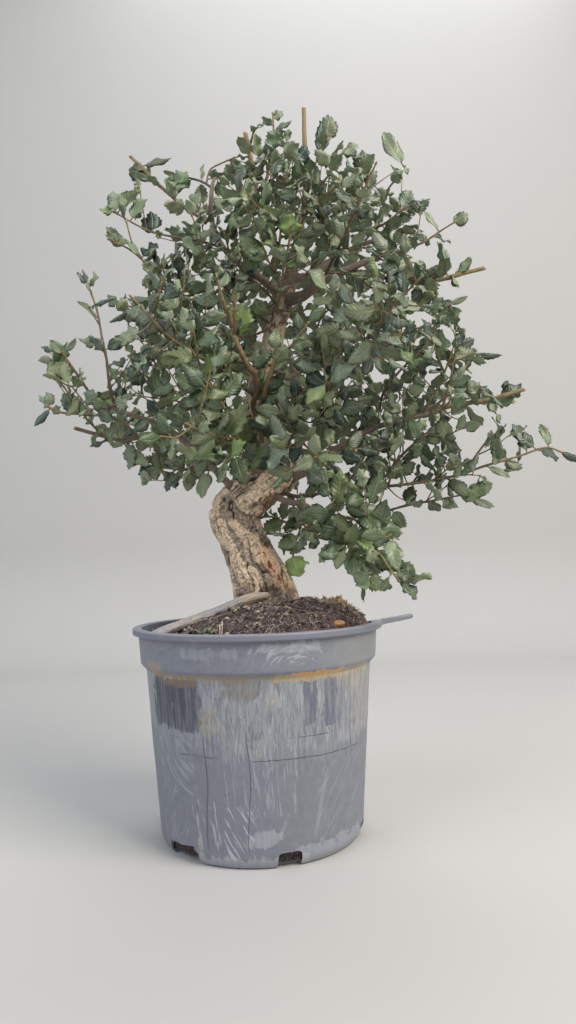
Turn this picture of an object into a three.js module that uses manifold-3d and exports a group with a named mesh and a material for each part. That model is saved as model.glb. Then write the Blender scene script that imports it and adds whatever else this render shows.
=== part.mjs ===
import * as THREE from "three";
import { mergeVertices } from "three/addons/utils/BufferGeometryUtils.js";
import Module from "manifold-3d";

// A young cork oak grown as a bonsai in a plastic nursery pot, in millimetres.
// +Z is up, +X right and +Y away from the front. The origin is the middle of the pot's underside.

// Pot: wall radii are of the outer face.
const POT_HEIGHT = 163;
const WALL = 2.1;
const FLOOR = 3;
const RIM_RADIUS = 100;
const LIP_HEIGHT = 5;
const COLLAR_TOP_RADIUS = 95.5;
const COLLAR_FOOT_RADIUS = 94;
const COLLAR_FOOT = 136;
const SHOULDER_RADIUS = 89.6;
const SHOULDER = 131.5;
const HEEL_RADIUS = 80;
const HEEL = 6;
const BASE_RADIUS = 77;
const POT_SIDES = 36;
const NOTCHES = 6;
const NOTCH_WIDTH = 17.5;
const BROKEN_NOTCH_WIDTH = 31;
const NOTCH_HEIGHT = 11;
const NOTCH_DEPTH = 9;
const FIRST_NOTCH = -134;

// Torn lip: the stretch of rim that has come away, in degrees, and the freed strip of plastic.
const TEAR_START = -4;
const TEAR_END = 34;
const TEAR_STEPS = 10;
const TEAR_DIP = 1.2;
const TEAR_RAG = 1.6;
const STRIP_THICKNESS = 2.4;
const STRIP_ROUTE = [
  [97.2, -14, 159.8],
  [98.2, -4, 159.8],
  [101.5, 6, 160],
  [108.5, 15, 160.4],
  [119, 23, 161.2],
  [128, 28.5, 162.1],
  [131, 30.3, 162.4],
];
const STRIP_HEIGHTS = [5, 5, 5, 4.8, 4.6, 4.2, 2.4];

// Root ball
const GAP = 0.35;
const WALL_CLEARANCE = 0.85;
const HOLE_CLEARANCE = 0.8;
const SOIL_SIDES = 26;
const SOIL_EDGE = 158;
const SOIL_RISE = 21;
const SOIL_LUMPS = 0.8;
const SOIL_RINGS = [1, 0.88, 0.72, 0.54, 0.28];
const MOUND_CENTRE = 14;
const MOUND_STEEPNESS = 3.6;
const MOUND_LEAN = 1.4;
const MOUND_LENGTH = 79;
const MOUND_WIDTH = 84;

// Small things that lie on the soil.
const PEBBLE = { place: [62, -57], size: [5.4, 4.4, 3.4] };
const SEEDLING = {
  foot: [-36, -73, 153],
  height: 9,
  stem: 0.9,
  hole: 1.4,
  leaves: [[-53, -72, 165], [-22, -78, 166]],
};

// Trunk: points of the axis with the radius there. The lower trunk leans left up to the knee,
// the upper trunk crosses back to the right, and the leader winds up into the crown.
const TRUNK_SIDES = 20;
const LEADER_SIDES = 12;
const LIMB_SIDES = 5;
const ROOT_SIDES = 6;
const HOLE_SIDES = 16;
const LOWER_TRUNK = [
  [6, 2, 144, 24],
  [7, 2, 168, 26],
  [7, 2, 178, 27],
  [6, 2, 186, 26.2],
  [3, 3, 197, 24.2],
  [-1, 3, 207, 22.6],
  [-6, 4, 218, 21.4],
  [-10, 5, 228, 20.6],
  [-14, 5, 238, 20.4],
  [-17, 5, 248, 20.6],
  [-18, 5, 256, 20.4],
];
const UPPER_TRUNK = [
  [-15, 5, 256, 19],
  [-7, 3, 263, 19.4],
  [1, 2, 270, 19.2],
  [9, 1, 276, 18.6],
  [17, 0, 282, 17.6],
  [23, -1, 288, 16.4],
];
const LEADER = [
  [24, 0, 282, 14],
  [22, 0, 300, 14],
  [12, 6, 317, 12],
  [4, 10, 339, 11],
  [7, 12, 363, 10.5],
  [15, 10, 388, 9.6],
  [21, 8, 412, 8.4],
  [30, 6, 435, 7.2],
  [36, 6, 458, 5.8],
  [39, 8, 477, 4.6],
];
const BARK_DEPTH = 1.7;
const BARK_RADIUS = 22;
const BARK_STARTS = 177;

// Surface root: points with half its width and half its height.
const ROOT = [
  [9.5, -24.5, 186, 2.6, 2.2],
  [-1, -24.5, 184.6, 3.8, 3.4],
  [-10, -22, 181.6, 5, 4.2],
  [-20, -17.5, 177, 5.6, 4.6],
  [-37, -16, 171.8, 6, 4],
  [-54, -21, 166.4, 7, 3.8],
  [-70, -26, 161.4, 7.6, 3.6],
  [-83, -29, 156.5, 6, 2.8],
];

// Limbs fused to the trunk: each route starts on the axis of what it grows from.
const LIMBS = [
  { name: "left", foot: 3.4, end: 1.6, route: [[-10, 3, 265], [-24, -8, 280], [-39, -16, 296],
    [-54, -22, 310], [-70, -30, 321], [-86, -38, 327], [-99, -44, 331], [-114, -48, 337]] },
  { name: "right", foot: 3.5, end: 1.8, route: [[20, -2, 285], [35, -10, 281], [47, -14, 287],
    [62, -20, 298], [81, -24, 307], [99, -27, 316], [121, -30, 321], [141, -32, 325]] },
  { name: "low_right", foot: 2.9, end: 1.6, route: [[6, 1, 273], [25, -14, 261], [39, -22, 257],
    [48, -28, 250], [58, -34, 246], [68, -38, 245]] },
  { name: "middle", foot: 3.9, end: 2, route: [[7, 12, 364], [27, 2, 350], [51, -4, 356],
    [81, -10, 369], [99, -14, 377]] },
  { name: "inner", foot: 3.1, end: 1.9, route: [[14, 10, 385], [27, 14, 369], [41, 18, 375],
    [59, 22, 385]] },
  { name: "upper_right", foot: 5.3, end: 2.6, route: [[30, 6, 434], [44, -4, 433], [59, -12, 441],
    [80, -18, 448], [100, -22, 455]] },
  { name: "back_right", foot: 3.9, end: 1.9, route: [[35, 6, 455], [47, 14, 456], [68, 22, 472],
    [89, 28, 486], [111, 32, 496]] },
  { name: "crown_left", foot: 3.8, end: 1.6, route: [[31, 6, 437], [14, 5, 449], [1, 6, 460],
    [-14, 8, 472], [-28, 10, 493], [-32, 12, 514], [-31, 14, 540], [-27, 15, 554]] },
  { name: "crown_inner", foot: 2.3, end: 1.4, route: [[-1, 6, 462], [-5, 0, 477], [-6, -4, 495],
    [-7, -8, 521], [-9, -8, 535]] },
  { name: "crown_mid", foot: 3.2, end: 1.5, route: [[37, 7, 466], [29, -2, 472], [19, -8, 484],
    [13, -10, 502], [14, -12, 520], [19, -12, 537]] },
  { name: "apex", foot: 3.6, end: 2, route: [[38, 8, 473], [43, 10, 492], [49, 12, 521], [52, 12, 552],
    [51, 12, 572], [51, 12, 607]] },
];

// Sprays, one piece each: a main shoot, side shoots [share of the main, ...points] and leaves placed
// one by one [shoot, share of it, x, y, z of the tip, width share, roll in degrees]. bare is the share
// of the main shoot without leaves (over 1 for none), leaf their length, twigs the number of small side
// twigs and radii those of the main shoot's foot and end. A cut shoot has no leaf at its end.
const SPRAYS = [
  {
    name: "left_tip", radii: [1.5, 0.8], bare: 0.25, leaf: 20, twigs: 1,
    route: [[-114, -48, 337], [-121, -52, 344], [-130, -58, 359], [-138, -62, 372]],
    sides: [[0.42, [-132, -66, 346], [-139, -74, 350]]],
    leaves: [[0, 1, -155, -62, 379, 0.35, 40], [0, 1, -128, -62, 384, 0.3, 30],
      [0, 0.85, -151, -64, 356, 0.8, 0]],
  },
  {
    name: "left_rise", radii: [1.5, 0.8], bare: 0.15, leaf: 19, twigs: 1,
    route: [[-103, -45, 332], [-106, -52, 350], [-107, -56, 368], [-109, -60, 382], [-112, -62, 403],
      [-116, -64, 417], [-121, -66, 432]],
    leaves: [[0, 0.91, -126, -65, 434, 0.5, 20], [0, 0.48, -127, -60, 385, 0.42, 20],
      [0, 0.43, -92, -56, 384, 0.5, 10]],
  },
  {
    name: "left_far", radii: [1.5, 0.8], bare: 0.3, leaf: 19, twigs: 1,
    route: [[-106, -46, 334], [-114, -56, 326], [-129, -62, 326], [-138, -68, 326], [-145, -72, 329]],
    sides: [[0.55, [-130, -64, 335], [-136, -66, 345]]],
    leaves: [[0, 1, -148, -72, 341, 0.7, 0], [0, 0.98, -157, -72, 316, 0.42, 10]],
  },
  {
    name: "left_stub", radii: [1.7, 1.5], bare: 2, leaf: 20, twigs: 0,
    route: [[-62, -26, 315], [-82, -30, 314], [-100, -34, 310], [-117, -36, 314], [-137, -38, 320]],
    sides: [[0.47, [-96, -30, 301], [-91, -26, 294]], [0.24, [-76, -24, 302], [-74, -20, 288]]],
    leaves: [[1, 0.02, -97, -33, 287, 0.5, 20], [0, 0.62, -128, -33, 307, 0.3, 30]],
  },
  {
    name: "left_under", radii: [1.5, 0.8], bare: 0.2, leaf: 21, twigs: 3,
    route: [[-31, -12, 288], [-49, 4, 290], [-68, 22, 294], [-91, 36, 299], [-111, 46, 307]],
    leaves: [[0, 0.73, -104, 34, 292, 0.6, 10], [0, 0.52, -78, 24, 275, 0.5, 10],
      [1, 0.07, -57, 8, 273, 0.65, 0], [0, 0.07, -43, -7, 265, 0.5, 180]],
  },
  {
    name: "left_inner", radii: [1.5, 0.8], bare: 0.1, leaf: 22, twigs: 4,
    route: [[-68, -29, 320], [-69, -22, 330], [-74, -12, 350], [-78, -4, 372], [-85, 2, 393],
      [-91, 4, 411]],
  },
  {
    name: "left_mid", radii: [1.5, 0.8], bare: 0.3, leaf: 22, twigs: 4,
    route: [[22, 8, 413], [0, -8, 399], [-21, -18, 397], [-36, -24, 401], [-52, -28, 409],
      [-70, -32, 411], [-88, -34, 415], [-101, -36, 420]],
  },
  {
    name: "left_shelf", radii: [1.5, 0.8], bare: 0.25, leaf: 22, twigs: 3,
    route: [[-11, 8, 470], [-37, -4, 441], [-57, -12, 433], [-73, -16, 440], [-81, -20, 451],
      [-87, -22, 463], [-93, -24, 473], [-97, -26, 489]],
    sides: [[0.78, [-97, -28, 468], [-109, -34, 472]]],
    leaves: [[0, 0.87, -116, -24, 483, 0.42, 10], [1, 0.02, -74, -22, 475, 0.8, 0]],
  },
  {
    name: "left_high", radii: [1.5, 0.8], bare: 0.2, leaf: 19, twigs: 2,
    route: [[-17, 8, 476], [-27, 4, 482], [-43, 0, 485], [-61, -4, 487], [-79, -8, 490],
      [-93, -10, 496], [-110, -12, 506]],
    leaves: [[0, 0.99, -112, -12, 525, 0.8, 0], [0, 0.98, -90, -12, 526, 0.45, 0],
      [0, 0.86, -82, -11, 516, 0.55, 180], [0, 0.66, -81, -8, 509, 0.75, 0]],
  },
  {
    name: "left_cut", radii: [1.6, 1.5], bare: 0.2, leaf: 19, twigs: 1, cut: true,
    route: [[-31, 11, 507], [-45, 15, 515], [-57, 18, 525], [-73, 22, 542], [-83, 24, 552],
      [-94, 26, 566], [-105, 28, 578]],
    leaves: [[0, 0.69, -106, 24, 565, 0.75, 0], [0, 0.86, -68, 26, 575, 0.26, 20],
      [0, 0.49, -53, 21, 558, 0.65, 180], [0, 0.22, -39, 2, 529, 0.85, 180]],
  },
  {
    name: "left_pale", radii: [1.5, 0.8], bare: 0.35, leaf: 22, twigs: 2,
    route: [[21, 8, 411], [0, -10, 421], [-20, -24, 435], [-32, -32, 454], [-36, -36, 470],
      [-42, -40, 486]],
  },
  {
    name: "left_top", radii: [1.5, 0.8], bare: 0.15, leaf: 20, twigs: 1,
    route: [[-31, 14, 539], [-40, 20, 548], [-51, 24, 554], [-64, 26, 559]],
    sides: [[0.21, [-33, 22, 560], [-22, 20, 565], [-8, 16, 568]]],
  },
  {
    name: "top_tip", radii: [1.3, 0.8], bare: 0.05, leaf: 15, twigs: 2,
    route: [[18, -12, 535], [21, -14, 551], [24, -15, 568], [24, -16, 584]],
    leaves: [[0, 0.92, 32, -16, 588, 0.7, 0], [0, 0.9, 14, -16, 583, 0.4, 20],
      [0, 0.73, 40, -15, 580, 0.3, 20], [0, 0.4, 26, -20, 569, 0.9, 180]],
  },
  {
    name: "top_stub", radii: [2, 1.9], bare: 0.3, leaf: 20, twigs: 2, cut: true,
    route: [[13, -10, 502], [9, -20, 517], [5, -22, 542], [1, -22, 565]],
    leaves: [[0, 0.59, -8, -24, 524, 0.6, 0], [0, 0.34, 2, -27, 535, 0.6, 0]],
  },
  {
    name: "top_fan", radii: [1.5, 0.8], bare: 0.2, leaf: 21, twigs: 2,
    route: [[48, 12, 516], [58, -6, 522], [70, -12, 534], [80, -14, 549], [86, -14, 556]],
    sides: [[0.35, [57, -10, 537], [63, -12, 554], [70, -14, 565]]],
    leaves: [[1, 0.58, 71, -11, 588, 0.4, 10], [1, 0.95, 73, -14, 584, 0.8, 0],
      [0, 0.86, 94, -14, 559, 0.9, 0]],
  },
  {
    name: "top_dark", radii: [1.5, 0.8], bare: 0.25, leaf: 21, twigs: 2,
    route: [[84, 27, 483], [86, 24, 507], [93, 18, 530], [98, 14, 544], [100, 12, 554]],
    leaves: [[0, 0.95, 101, 13, 570, 0.85, 0], [0, 0.84, 114, 14, 551, 0.7, 0]],
  },
  {
    name: "top_olive", radii: [1.5, 0.8], bare: 0.25, leaf: 22, twigs: 2, cut: true,
    route: [[45, 11, 501], [49, -12, 499], [55, -22, 501], [66, -30, 507], [82, -36, 517]],
  },
  {
    name: "high_pointed", radii: [1.5, 0.8], bare: 0.2, leaf: 22, twigs: 1,
    route: [[111, 32, 496], [117, 26, 516], [123, 22, 536], [132, 22, 547], [139, 22, 557]],
    leaves: [[0, 1, 122, 22, 592, 0.42, 0], [0, 0.85, 127, 22, 561, 0.3, 20]],
  },
  {
    name: "front_shoot", radii: [1.7, 1.1], bare: 0.45, leaf: 26, twigs: 1,
    route: [[26, 7, 424], [23, -18, 418], [27, -40, 426], [29, -50, 438], [33, -56, 451], [35, -58, 461]],
    sides: [[0.51, [22, -44, 441], [26, -48, 457], [28, -50, 470]]],
    leaves: [[0, 0.97, 36, -62, 475, 1.1, 180], [1, 1, 15, -52, 489, 0.7, 0],
      [1, 0.73, 8, -50, 479, 0.5, 0], [0, 0.87, 56, -58, 459, 0.45, 10]],
  },
  {
    name: "right_thin", radii: [1.5, 0.8], bare: 0.3, leaf: 22, twigs: 2,
    route: [[48, 14, 457], [57, -2, 463], [69, -8, 476], [78, -12, 486], [87, -14, 498]],
  },
  {
    name: "right_arrow", radii: [1.5, 0.8], bare: 0.2, leaf: 20, twigs: 3,
    route: [[100, -22, 455], [114, -26, 457], [128, -28, 460], [143, -30, 465], [155, -32, 472],
      [166, -34, 478]],
    sides: [[0.09, [110, -38, 446], [118, -44, 440], [128, -46, 441]]],
    leaves: [[0, 0.99, 178, -34, 486, 0.85, 0], [0, 0.82, 144, -32, 490, 0.28, 20],
      [0, 0.64, 135, -30, 471, 0.6, 0]],
  },
  {
    name: "right_cut", radii: [1.9, 1.8], bare: 0.15, leaf: 21, twigs: 3, cut: true,
    route: [[109, 32, 495], [128, 26, 467], [144, 20, 454], [161, 16, 451], [185, 14, 456],
      [203, 14, 460]],
    leaves: [[0, 0.72, 165, 17, 488, 0.24, 20], [3, 0.01, 193, 17, 467, 0.3, 20]],
  },
  {
    name: "right_crest", radii: [1.5, 0.8], bare: 0.15, leaf: 21, twigs: 3,
    route: [[100, 30, 491], [109, 16, 498], [121, 10, 502], [132, 6, 510], [144, 4, 515]],
    leaves: [[0, 0.78, 141, 6, 528, 0.65, 0], [0, 0.83, 157, 5, 520, 0.5, 0]],
  },
  {
    name: "right_fan", radii: [1.5, 0.8], bare: 0.2, leaf: 22, twigs: 4,
    route: [[85, -19, 450], [98, -4, 442], [119, 6, 434], [141, 12, 430], [160, 16, 427], [178, 18, 432]],
    leaves: [[0, 0.88, 174, 17, 434, 0.9, 0], [0, 0.93, 189, 17, 437, 0.28, 20]],
  },
  {
    name: "middle_tip", radii: [1.5, 0.8], bare: 0.1, leaf: 22, twigs: 3,
    route: [[99, -14, 377], [115, -20, 387], [129, -24, 394], [145, -26, 398]],
  },
  {
    name: "middle_rise", radii: [1.5, 0.8], bare: 0.25, leaf: 22, twigs: 2,
    route: [[101, -27, 317], [106, -18, 343], [120, -20, 362], [135, -24, 375], [143, -26, 384]],
  },
  {
    name: "olive_rise", radii: [1.5, 0.8], bare: 0.3, leaf: 23, twigs: 1,
    route: [[136, -31, 324], [140, -40, 334], [145, -44, 341], [153, -50, 360], [157, -52, 371]],
    sides: [[0.78, [163, -54, 362], [171, -56, 366]]],
    leaves: [[0, 0.87, 175, -53, 368, 0.6, 0], [1, 0.87, 193, -57, 363, 0.2, 20],
      [0, 0.93, 132, -53, 386, 0.26, 20]],
  },
  {
    name: "right_rise", radii: [1.5, 0.8], bare: 0.25, leaf: 21, twigs: 2,
    route: [[132, -31, 323], [150, -22, 335], [165, -20, 347], [175, -16, 366], [184, -14, 378]],
  },
  {
    name: "right_end", radii: [1.9, 1.6], bare: 0.25, leaf: 22, twigs: 2, cut: true,
    route: [[141, -32, 325], [156, -36, 329], [171, -38, 331], [184, -40, 332], [197, -42, 335],
      [212, -44, 339]],
    leaves: [[0, 0.74, 211, -42, 345, 0.65, 0], [0, 0.51, 170, -39, 354, 0.5, 10],
      [0, 0.6, 191, -40, 323, 0.8, 0]],
  },
  {
    name: "long_shoot", radii: [2, 0.9], bare: 0.2, leaf: 21, twigs: 5,
    route: [[9, 0, 275], [35, -12, 264], [60, -16, 267], [86, -20, 269], [108, -24, 269],
      [141, -28, 272], [163, -31, 276], [183, -34, 282], [207, -36, 288], [228, -38, 294],
      [240, -39, 290]],
    sides: [[0.43, [115, -20, 289], [134, -16, 307], [152, -14, 320]], [0.68, [175, -34, 290],
      [185, -36, 302], [195, -38, 308]]],
    leaves: [[0, 0.92, 204, -37, 314, 0.45, 0], [0, 0.96, 225, -38, 313, 0.42, 10],
      [0, 0.99, 258, -39, 283, 0.26, 20], [0, 0.81, 211, -35, 279, 0.55, 0],
      [0, 0.75, 201, -34, 272, 0.28, 20], [0, 0.79, 188, -35, 310, 0.42, 10],
      [0, 0.62, 170, -30, 259, 0.55, 0], [0, 0.67, 155, -31, 294, 0.45, 10]],
  },
  {
    name: "low_shoot", radii: [1.5, 0.8], bare: 0.3, leaf: 20, twigs: 2,
    route: [[50, -29, 249], [73, -14, 245], [92, -10, 248], [106, -12, 250], [123, -14, 254],
      [149, -16, 258], [173, -18, 262]],
    leaves: [[2, 0, 150, -15, 249, 0.7, 0], [0, 0.83, 161, -16, 251, 0.85, 0],
      [0, 0.61, 128, -14, 270, 0.6, 0], [0, 0.98, 193, -18, 251, 0.3, 10],
      [0, 0.96, 192, -18, 270, 0.5, 0]],
  },
  {
    name: "hanging", radii: [1.5, 0.8], bare: 0.15, leaf: 26, twigs: 2,
    route: [[68, -38, 245], [78, -52, 241], [86, -64, 227], [95, -70, 211], [105, -70, 196]],
    sides: [[0.36, [93, -70, 231], [104, -76, 226]], [0.17, [72, -40, 231], [76, -44, 218],
      [82, -46, 207], [85, -46, 198]]],
    leaves: [[1, 0.58, 80, -76, 253, 0.72, 0], [0, 0.62, 103, -73, 206, 0.85, 10],
      [0, 0.93, 116, -70, 199, 0.8, 0], [0, 1, 114, -70, 184, 0.22, 30],
      [0, 0.37, 58, -63, 228, 0.6, 0], [3, 0.67, 108, -73, 233, 0.6, 10],
      [2, 0.99, 98, -48, 190, 0.85, 0], [2, 1, 82, -46, 179, 0.2, 20],
      [2, 0.56, 75, -48, 199, 0.85, 180], [2, 0.25, 51, -40, 240, 0.8, 10],
      [2, 0.35, 52, -40, 215, 0.5, 0]],
  },
  {
    name: "under_trunk", radii: [1.5, 0.8], bare: 0.15, leaf: 22, twigs: 1,
    route: [[36, -20, 258], [37, -8, 248], [36, -2, 236], [31, -2, 224], [30, -2, 216]],
    sides: [[0.52, [24, 4, 245], [14, 6, 249]], [0.38, [49, -2, 232], [61, 4, 229]]],
    leaves: [[0, 0.63, 18, -6, 224, 0.7, 0], [0, 0.95, 35, -4, 199, 1, 180],
      [1, 0.55, 6, 4, 238, 0.7, 10], [2, 0.69, 43, -1, 222, 0.7, 10]],
  },
  {
    name: "heart_left", radii: [1.5, 0.8], bare: 0.25, leaf: 22, twigs: 5,
    route: [[26, 7, 426], [14, -16, 433], [-2, -28, 444], [-13, -33, 459], [-17, -37, 474]],
  },
  {
    name: "heart_top", radii: [1.5, 0.8], bare: 0.15, leaf: 21, twigs: 4,
    route: [[19, -8, 484], [29, -24, 488], [35, -32, 502], [34, -34, 521]],
    sides: [[0.29, [18, -50, 480], [10, -76, 475], [5, -92, 476]]],
  },
  {
    name: "heart_low", radii: [1.5, 0.8], bare: 0.25, leaf: 22, twigs: 5,
    route: [[5, 9, 333], [-13, -14, 335], [-30, -30, 339], [-46, -42, 336], [-59, -50, 337]],
  },
  {
    name: "collar_left", radii: [1.5, 0.8], bare: 0.25, leaf: 22, twigs: 4,
    route: [[15, -1, 280], [-2, 12, 292], [-22, 22, 302], [-43, 34, 312], [-64, 46, 316]],
  },
  {
    name: "collar_right", radii: [1.5, 0.8], bare: 0.2, leaf: 21, twigs: 4,
    route: [[21, -1, 292], [42, 6, 303], [63, 12, 314], [84, 18, 321], [100, 22, 321]],
  },
  {
    name: "front_stub", radii: [2.4, 2.1], bare: 0.4, leaf: 22, twigs: 3, cut: true,
    route: [[9, 7, 325], [5, -22, 325], [2, -34, 335], [6, -40, 345], [5, -44, 355], [-1, -48, 364],
      [-8, -52, 378], [-11, -54, 388], [-14, -56, 406]],
    sides: [[0.25, [9, -40, 334], [13, -52, 345], [19, -60, 358], [22, -64, 368]],
      [0.23, [8, -34, 309], [7, -40, 297]]],
    leaves: [[0, 0.81, -2, -57, 409, 0.75, 0], [0, 0.61, 18, -51, 374, 0.6, 0],
      [3, 0.05, 33, -50, 338, 0.5, 0], [0, 0.05, -3, -8, 294, 0.7, 0], [1, 0.43, 28, -50, 356, 0.5, 0]],
  },
  {
    name: "front_olive", radii: [1.9, 1], bare: 0.3, leaf: 26, twigs: 2,
    route: [[20, -2, 285], [4, -20, 285], [-4, -32, 289], [-8, -44, 301], [-14, -54, 320],
      [-23, -62, 336], [-31, -68, 349], [-36, -74, 361], [-41, -78, 369]],
    sides: [[0.45, [-21, -66, 305], [-34, -82, 307], [-42, -90, 310]]],
    leaves: [[0, 0.61, -47, -71, 312, 0.35, 0], [0, 0.53, -44, -64, 302, 0.5, 10],
      [0, 0.75, -47, -74, 327, 0.55, 0], [0, 0.95, -49, -79, 365, 0.5, 10],
      [0, 0.98, -23, -81, 373, 0.4, 20]],
  },
  {
    name: "front_right", radii: [1.9, 1], bare: 0.3, leaf: 23, twigs: 4,
    route: [[22, -1, 296], [32, -26, 311], [44, -36, 323], [53, -44, 331], [62, -50, 340],
      [68, -54, 351]],
    sides: [[0.4, [41, -50, 300], [48, -60, 292], [55, -64, 283]]],
    leaves: [[1, 0.75, 46, -59, 285, 0.6, 0], [1, 1, 61, -64, 265, 0.6, 0]],
  },
  {
    name: "inner_tip", radii: [1.5, 0.8], bare: 0.2, leaf: 21, twigs: 4,
    route: [[59, 22, 385], [83, 40, 408], [107, 55, 429], [129, 64, 441]],
    sides: [[0.15, [59, 18, 399], [56, 10, 408], [62, 6, 420], [74, 4, 429], [87, 4, 438],
      [102, 4, 445]]],
  },
  {
    name: "back_low_left", radii: [2.2, 0.9], bare: 0.35, leaf: 21, twigs: 5,
    route: [[7, 12, 364], [-10, 50, 345], [-50, 92, 335], [-95, 118, 340], [-135, 125, 352]],
  },
  {
    name: "back_left", radii: [2.2, 0.9], bare: 0.35, leaf: 21, twigs: 5,
    route: [[14, 10, 385], [-6, 50, 400], [-40, 90, 420], [-80, 112, 440], [-112, 112, 462]],
    sides: [[0.36, [-36, 110, 416], [-58, 148, 430]]],
  },
  {
    name: "back_high_left", radii: [2, 0.9], bare: 0.3, leaf: 21, twigs: 5,
    route: [[30, 6, 434], [10, 50, 462], [-14, 92, 492], [-42, 110, 522]],
  },
  {
    name: "back_top", radii: [1.7, 0.9], bare: 0.2, leaf: 21, twigs: 4,
    route: [[47, 11, 510], [50, 50, 530], [44, 88, 548], [40, 104, 566]],
  },
  {
    name: "back_crown", radii: [2.2, 0.9], bare: 0.3, leaf: 21, twigs: 5,
    route: [[35, 6, 455], [50, 55, 475], [66, 100, 498], [84, 128, 515]],
    sides: [[0.61, [96, 100, 502], [130, 98, 514], [156, 92, 528]]],
  },
  {
    name: "back_right_shoot", radii: [2, 0.9], bare: 0.25, leaf: 21, twigs: 5,
    route: [[52, 20, 381], [88, 60, 392], [128, 92, 412], [165, 108, 432]],
  },
  {
    name: "back_low_right", radii: [2.3, 0.9], bare: 0.35, leaf: 21, twigs: 5,
    route: [[12, 6, 318], [40, 45, 322], [85, 80, 330], [132, 98, 342], [176, 100, 352]],
  },
  {
    name: "back_middle", radii: [2.2, 0.9], bare: 0.3, leaf: 21, twigs: 5,
    route: [[15, 10, 388], [22, 55, 398], [32, 104, 408], [44, 148, 420]],
    sides: [[0.37, [22, 96, 372], [26, 126, 350], [28, 142, 332]]],
  },
  {
    name: "fore_left", radii: [1.9, 0.9], bare: 0.4, leaf: 22, twigs: 4,
    route: [[5, 11, 350], [-22, -48, 360], [-52, -90, 372], [-74, -118, 392]],
  },
  {
    name: "fore_right", radii: [1.8, 0.9], bare: 0.25, leaf: 22, twigs: 4,
    route: [[60, -6, 360], [84, -56, 372], [104, -92, 388], [122, -112, 402]],
  },
  {
    name: "fore_high", radii: [1.7, 0.9], bare: 0.25, leaf: 22, twigs: 4,
    route: [[60, -12, 441], [74, -50, 456], [86, -84, 474], [96, -100, 490]],
  },
];

// Leaves: the outline as shares of the length and of the full width, and how far the edge waves.
const BLADE_THICKNESS = 0.7;
const BLADE_RIGHT = [
  [0.34, 0.46, 0.08],
  [0.74, 0.4, -0.1],
];
const BLADE_LEFT = [
  [0.28, 0.42, -0.06],
  [0.66, 0.47, 0.09],
];
const BLADE_TRIANGLES = [
  [0, 1, 5],
  [1, 4, 5],
  [1, 2, 4],
  [2, 3, 4],
];
const TIP_SINK = 1.2;
const TWIG_SIDES = 3;
const LONGEST_BLADE = 34;
const CROWN_CENTRE = new THREE.Vector3(40, 0, 390);
const LEAF_TURN = 2.4;
const LEAF_SPACING = 9;
const TWIG_LENGTH = 32;
const LEAVES_A_SPRAY = 4;

const wasm = await Module();
wasm.setup();

const vec = (p) => new THREE.Vector3(p[0], p[1], p[2]);
const smoothstep = THREE.MathUtils.smoothstep;

// A closed solid from points and triangles.
function solidOfTriangles(points, triangles) {
  const vertProperties = new Float32Array(points.flatMap((p) => [p.x, p.y, p.z]));
  const triVerts = new Uint32Array(triangles.flat());
  return new wasm.Manifold(new wasm.Mesh({ numProp: 3, vertProperties, triVerts }));
}

// A closed solid from one of three.js's geometries.
function solidOfGeometry(geometry) {
  const bare = geometry.clone();
  bare.deleteAttribute("normal");
  bare.deleteAttribute("uv");
  const merged = mergeVertices(bare, 1e-4);
  const vertProperties = merged.attributes.position.array;
  const triVerts = new Uint32Array(merged.index.array);
  return new wasm.Manifold(new wasm.Mesh({ numProp: 3, vertProperties, triVerts }));
}

function geometryOfSolid(solid) {
  const { vertProperties, triVerts } = solid.getMesh();
  const geometry = new THREE.BufferGeometry();
  geometry.setAttribute("position", new THREE.BufferAttribute(vertProperties, 3));
  geometry.setIndex(new THREE.BufferAttribute(triVerts, 1));
  const faceted = geometry.toNonIndexed();
  faceted.computeVertexNormals();
  return faceted;
}

// A closed skin over rings of equal counts of points, each ring turning left about the way they go.
function skin(rings) {
  const sides = rings[0].length;
  const last = (rings.length - 1) * sides;
  const triangles = [];
  for (let i = 0; i < rings.length - 1; i++) {
    for (let k = 0; k < sides; k++) {
      const a = i * sides + k;
      const b = i * sides + ((k + 1) % sides);
      triangles.push([a, b, b + sides], [a, b + sides, a + sides]);
    }
  }
  for (let k = 1; k < sides - 1; k++) {
    triangles.push([0, k + 1, k], [last, last + k, last + k + 1]);
  }
  return solidOfTriangles(rings.flat(), triangles);
}

// Ways along a line of points, each the mean of the steps before and after it.
function waysAlong(points) {
  return points.map((_, i) => {
    const before = points[Math.max(i - 1, 0)];
    const after = points[Math.min(i + 1, points.length - 1)];
    return after.clone().sub(before).normalize();
  });
}

// Rings square to a line of points. radiusAt(ring, angle, point) may raise ridges.
function ringsAlong(points, sides, radiusAt) {
  const ways = waysAlong(points);
  let across = new THREE.Vector3(0, -1, 0);
  return points.map((point, i) => {
    across = across.clone().addScaledVector(ways[i], -across.dot(ways[i])).normalize();
    const other = ways[i].clone().cross(across);
    return Array.from({ length: sides }, (_, k) => {
      const angle = (k / sides) * 2 * Math.PI;
      const radius = radiusAt(i, angle, point);
      return point
        .clone()
        .addScaledVector(across, Math.cos(angle) * radius)
        .addScaledVector(other, Math.sin(angle) * radius);
    });
  });
}

function taperedTube(points, foot, end, sides) {
  const last = points.length - 1;
  return skin(ringsAlong(points, sides, (i) => foot + ((end - foot) * i) / last));
}

// A draw that gives the same numbers each time.
function seeded(seed) {
  let state = seed * 7919 + 17;
  const draw = () => {
    state = (state * 48271) % 2147483647;
    return state / 2147483647;
  };
  draw();
  draw();
  return draw;
}

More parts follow.
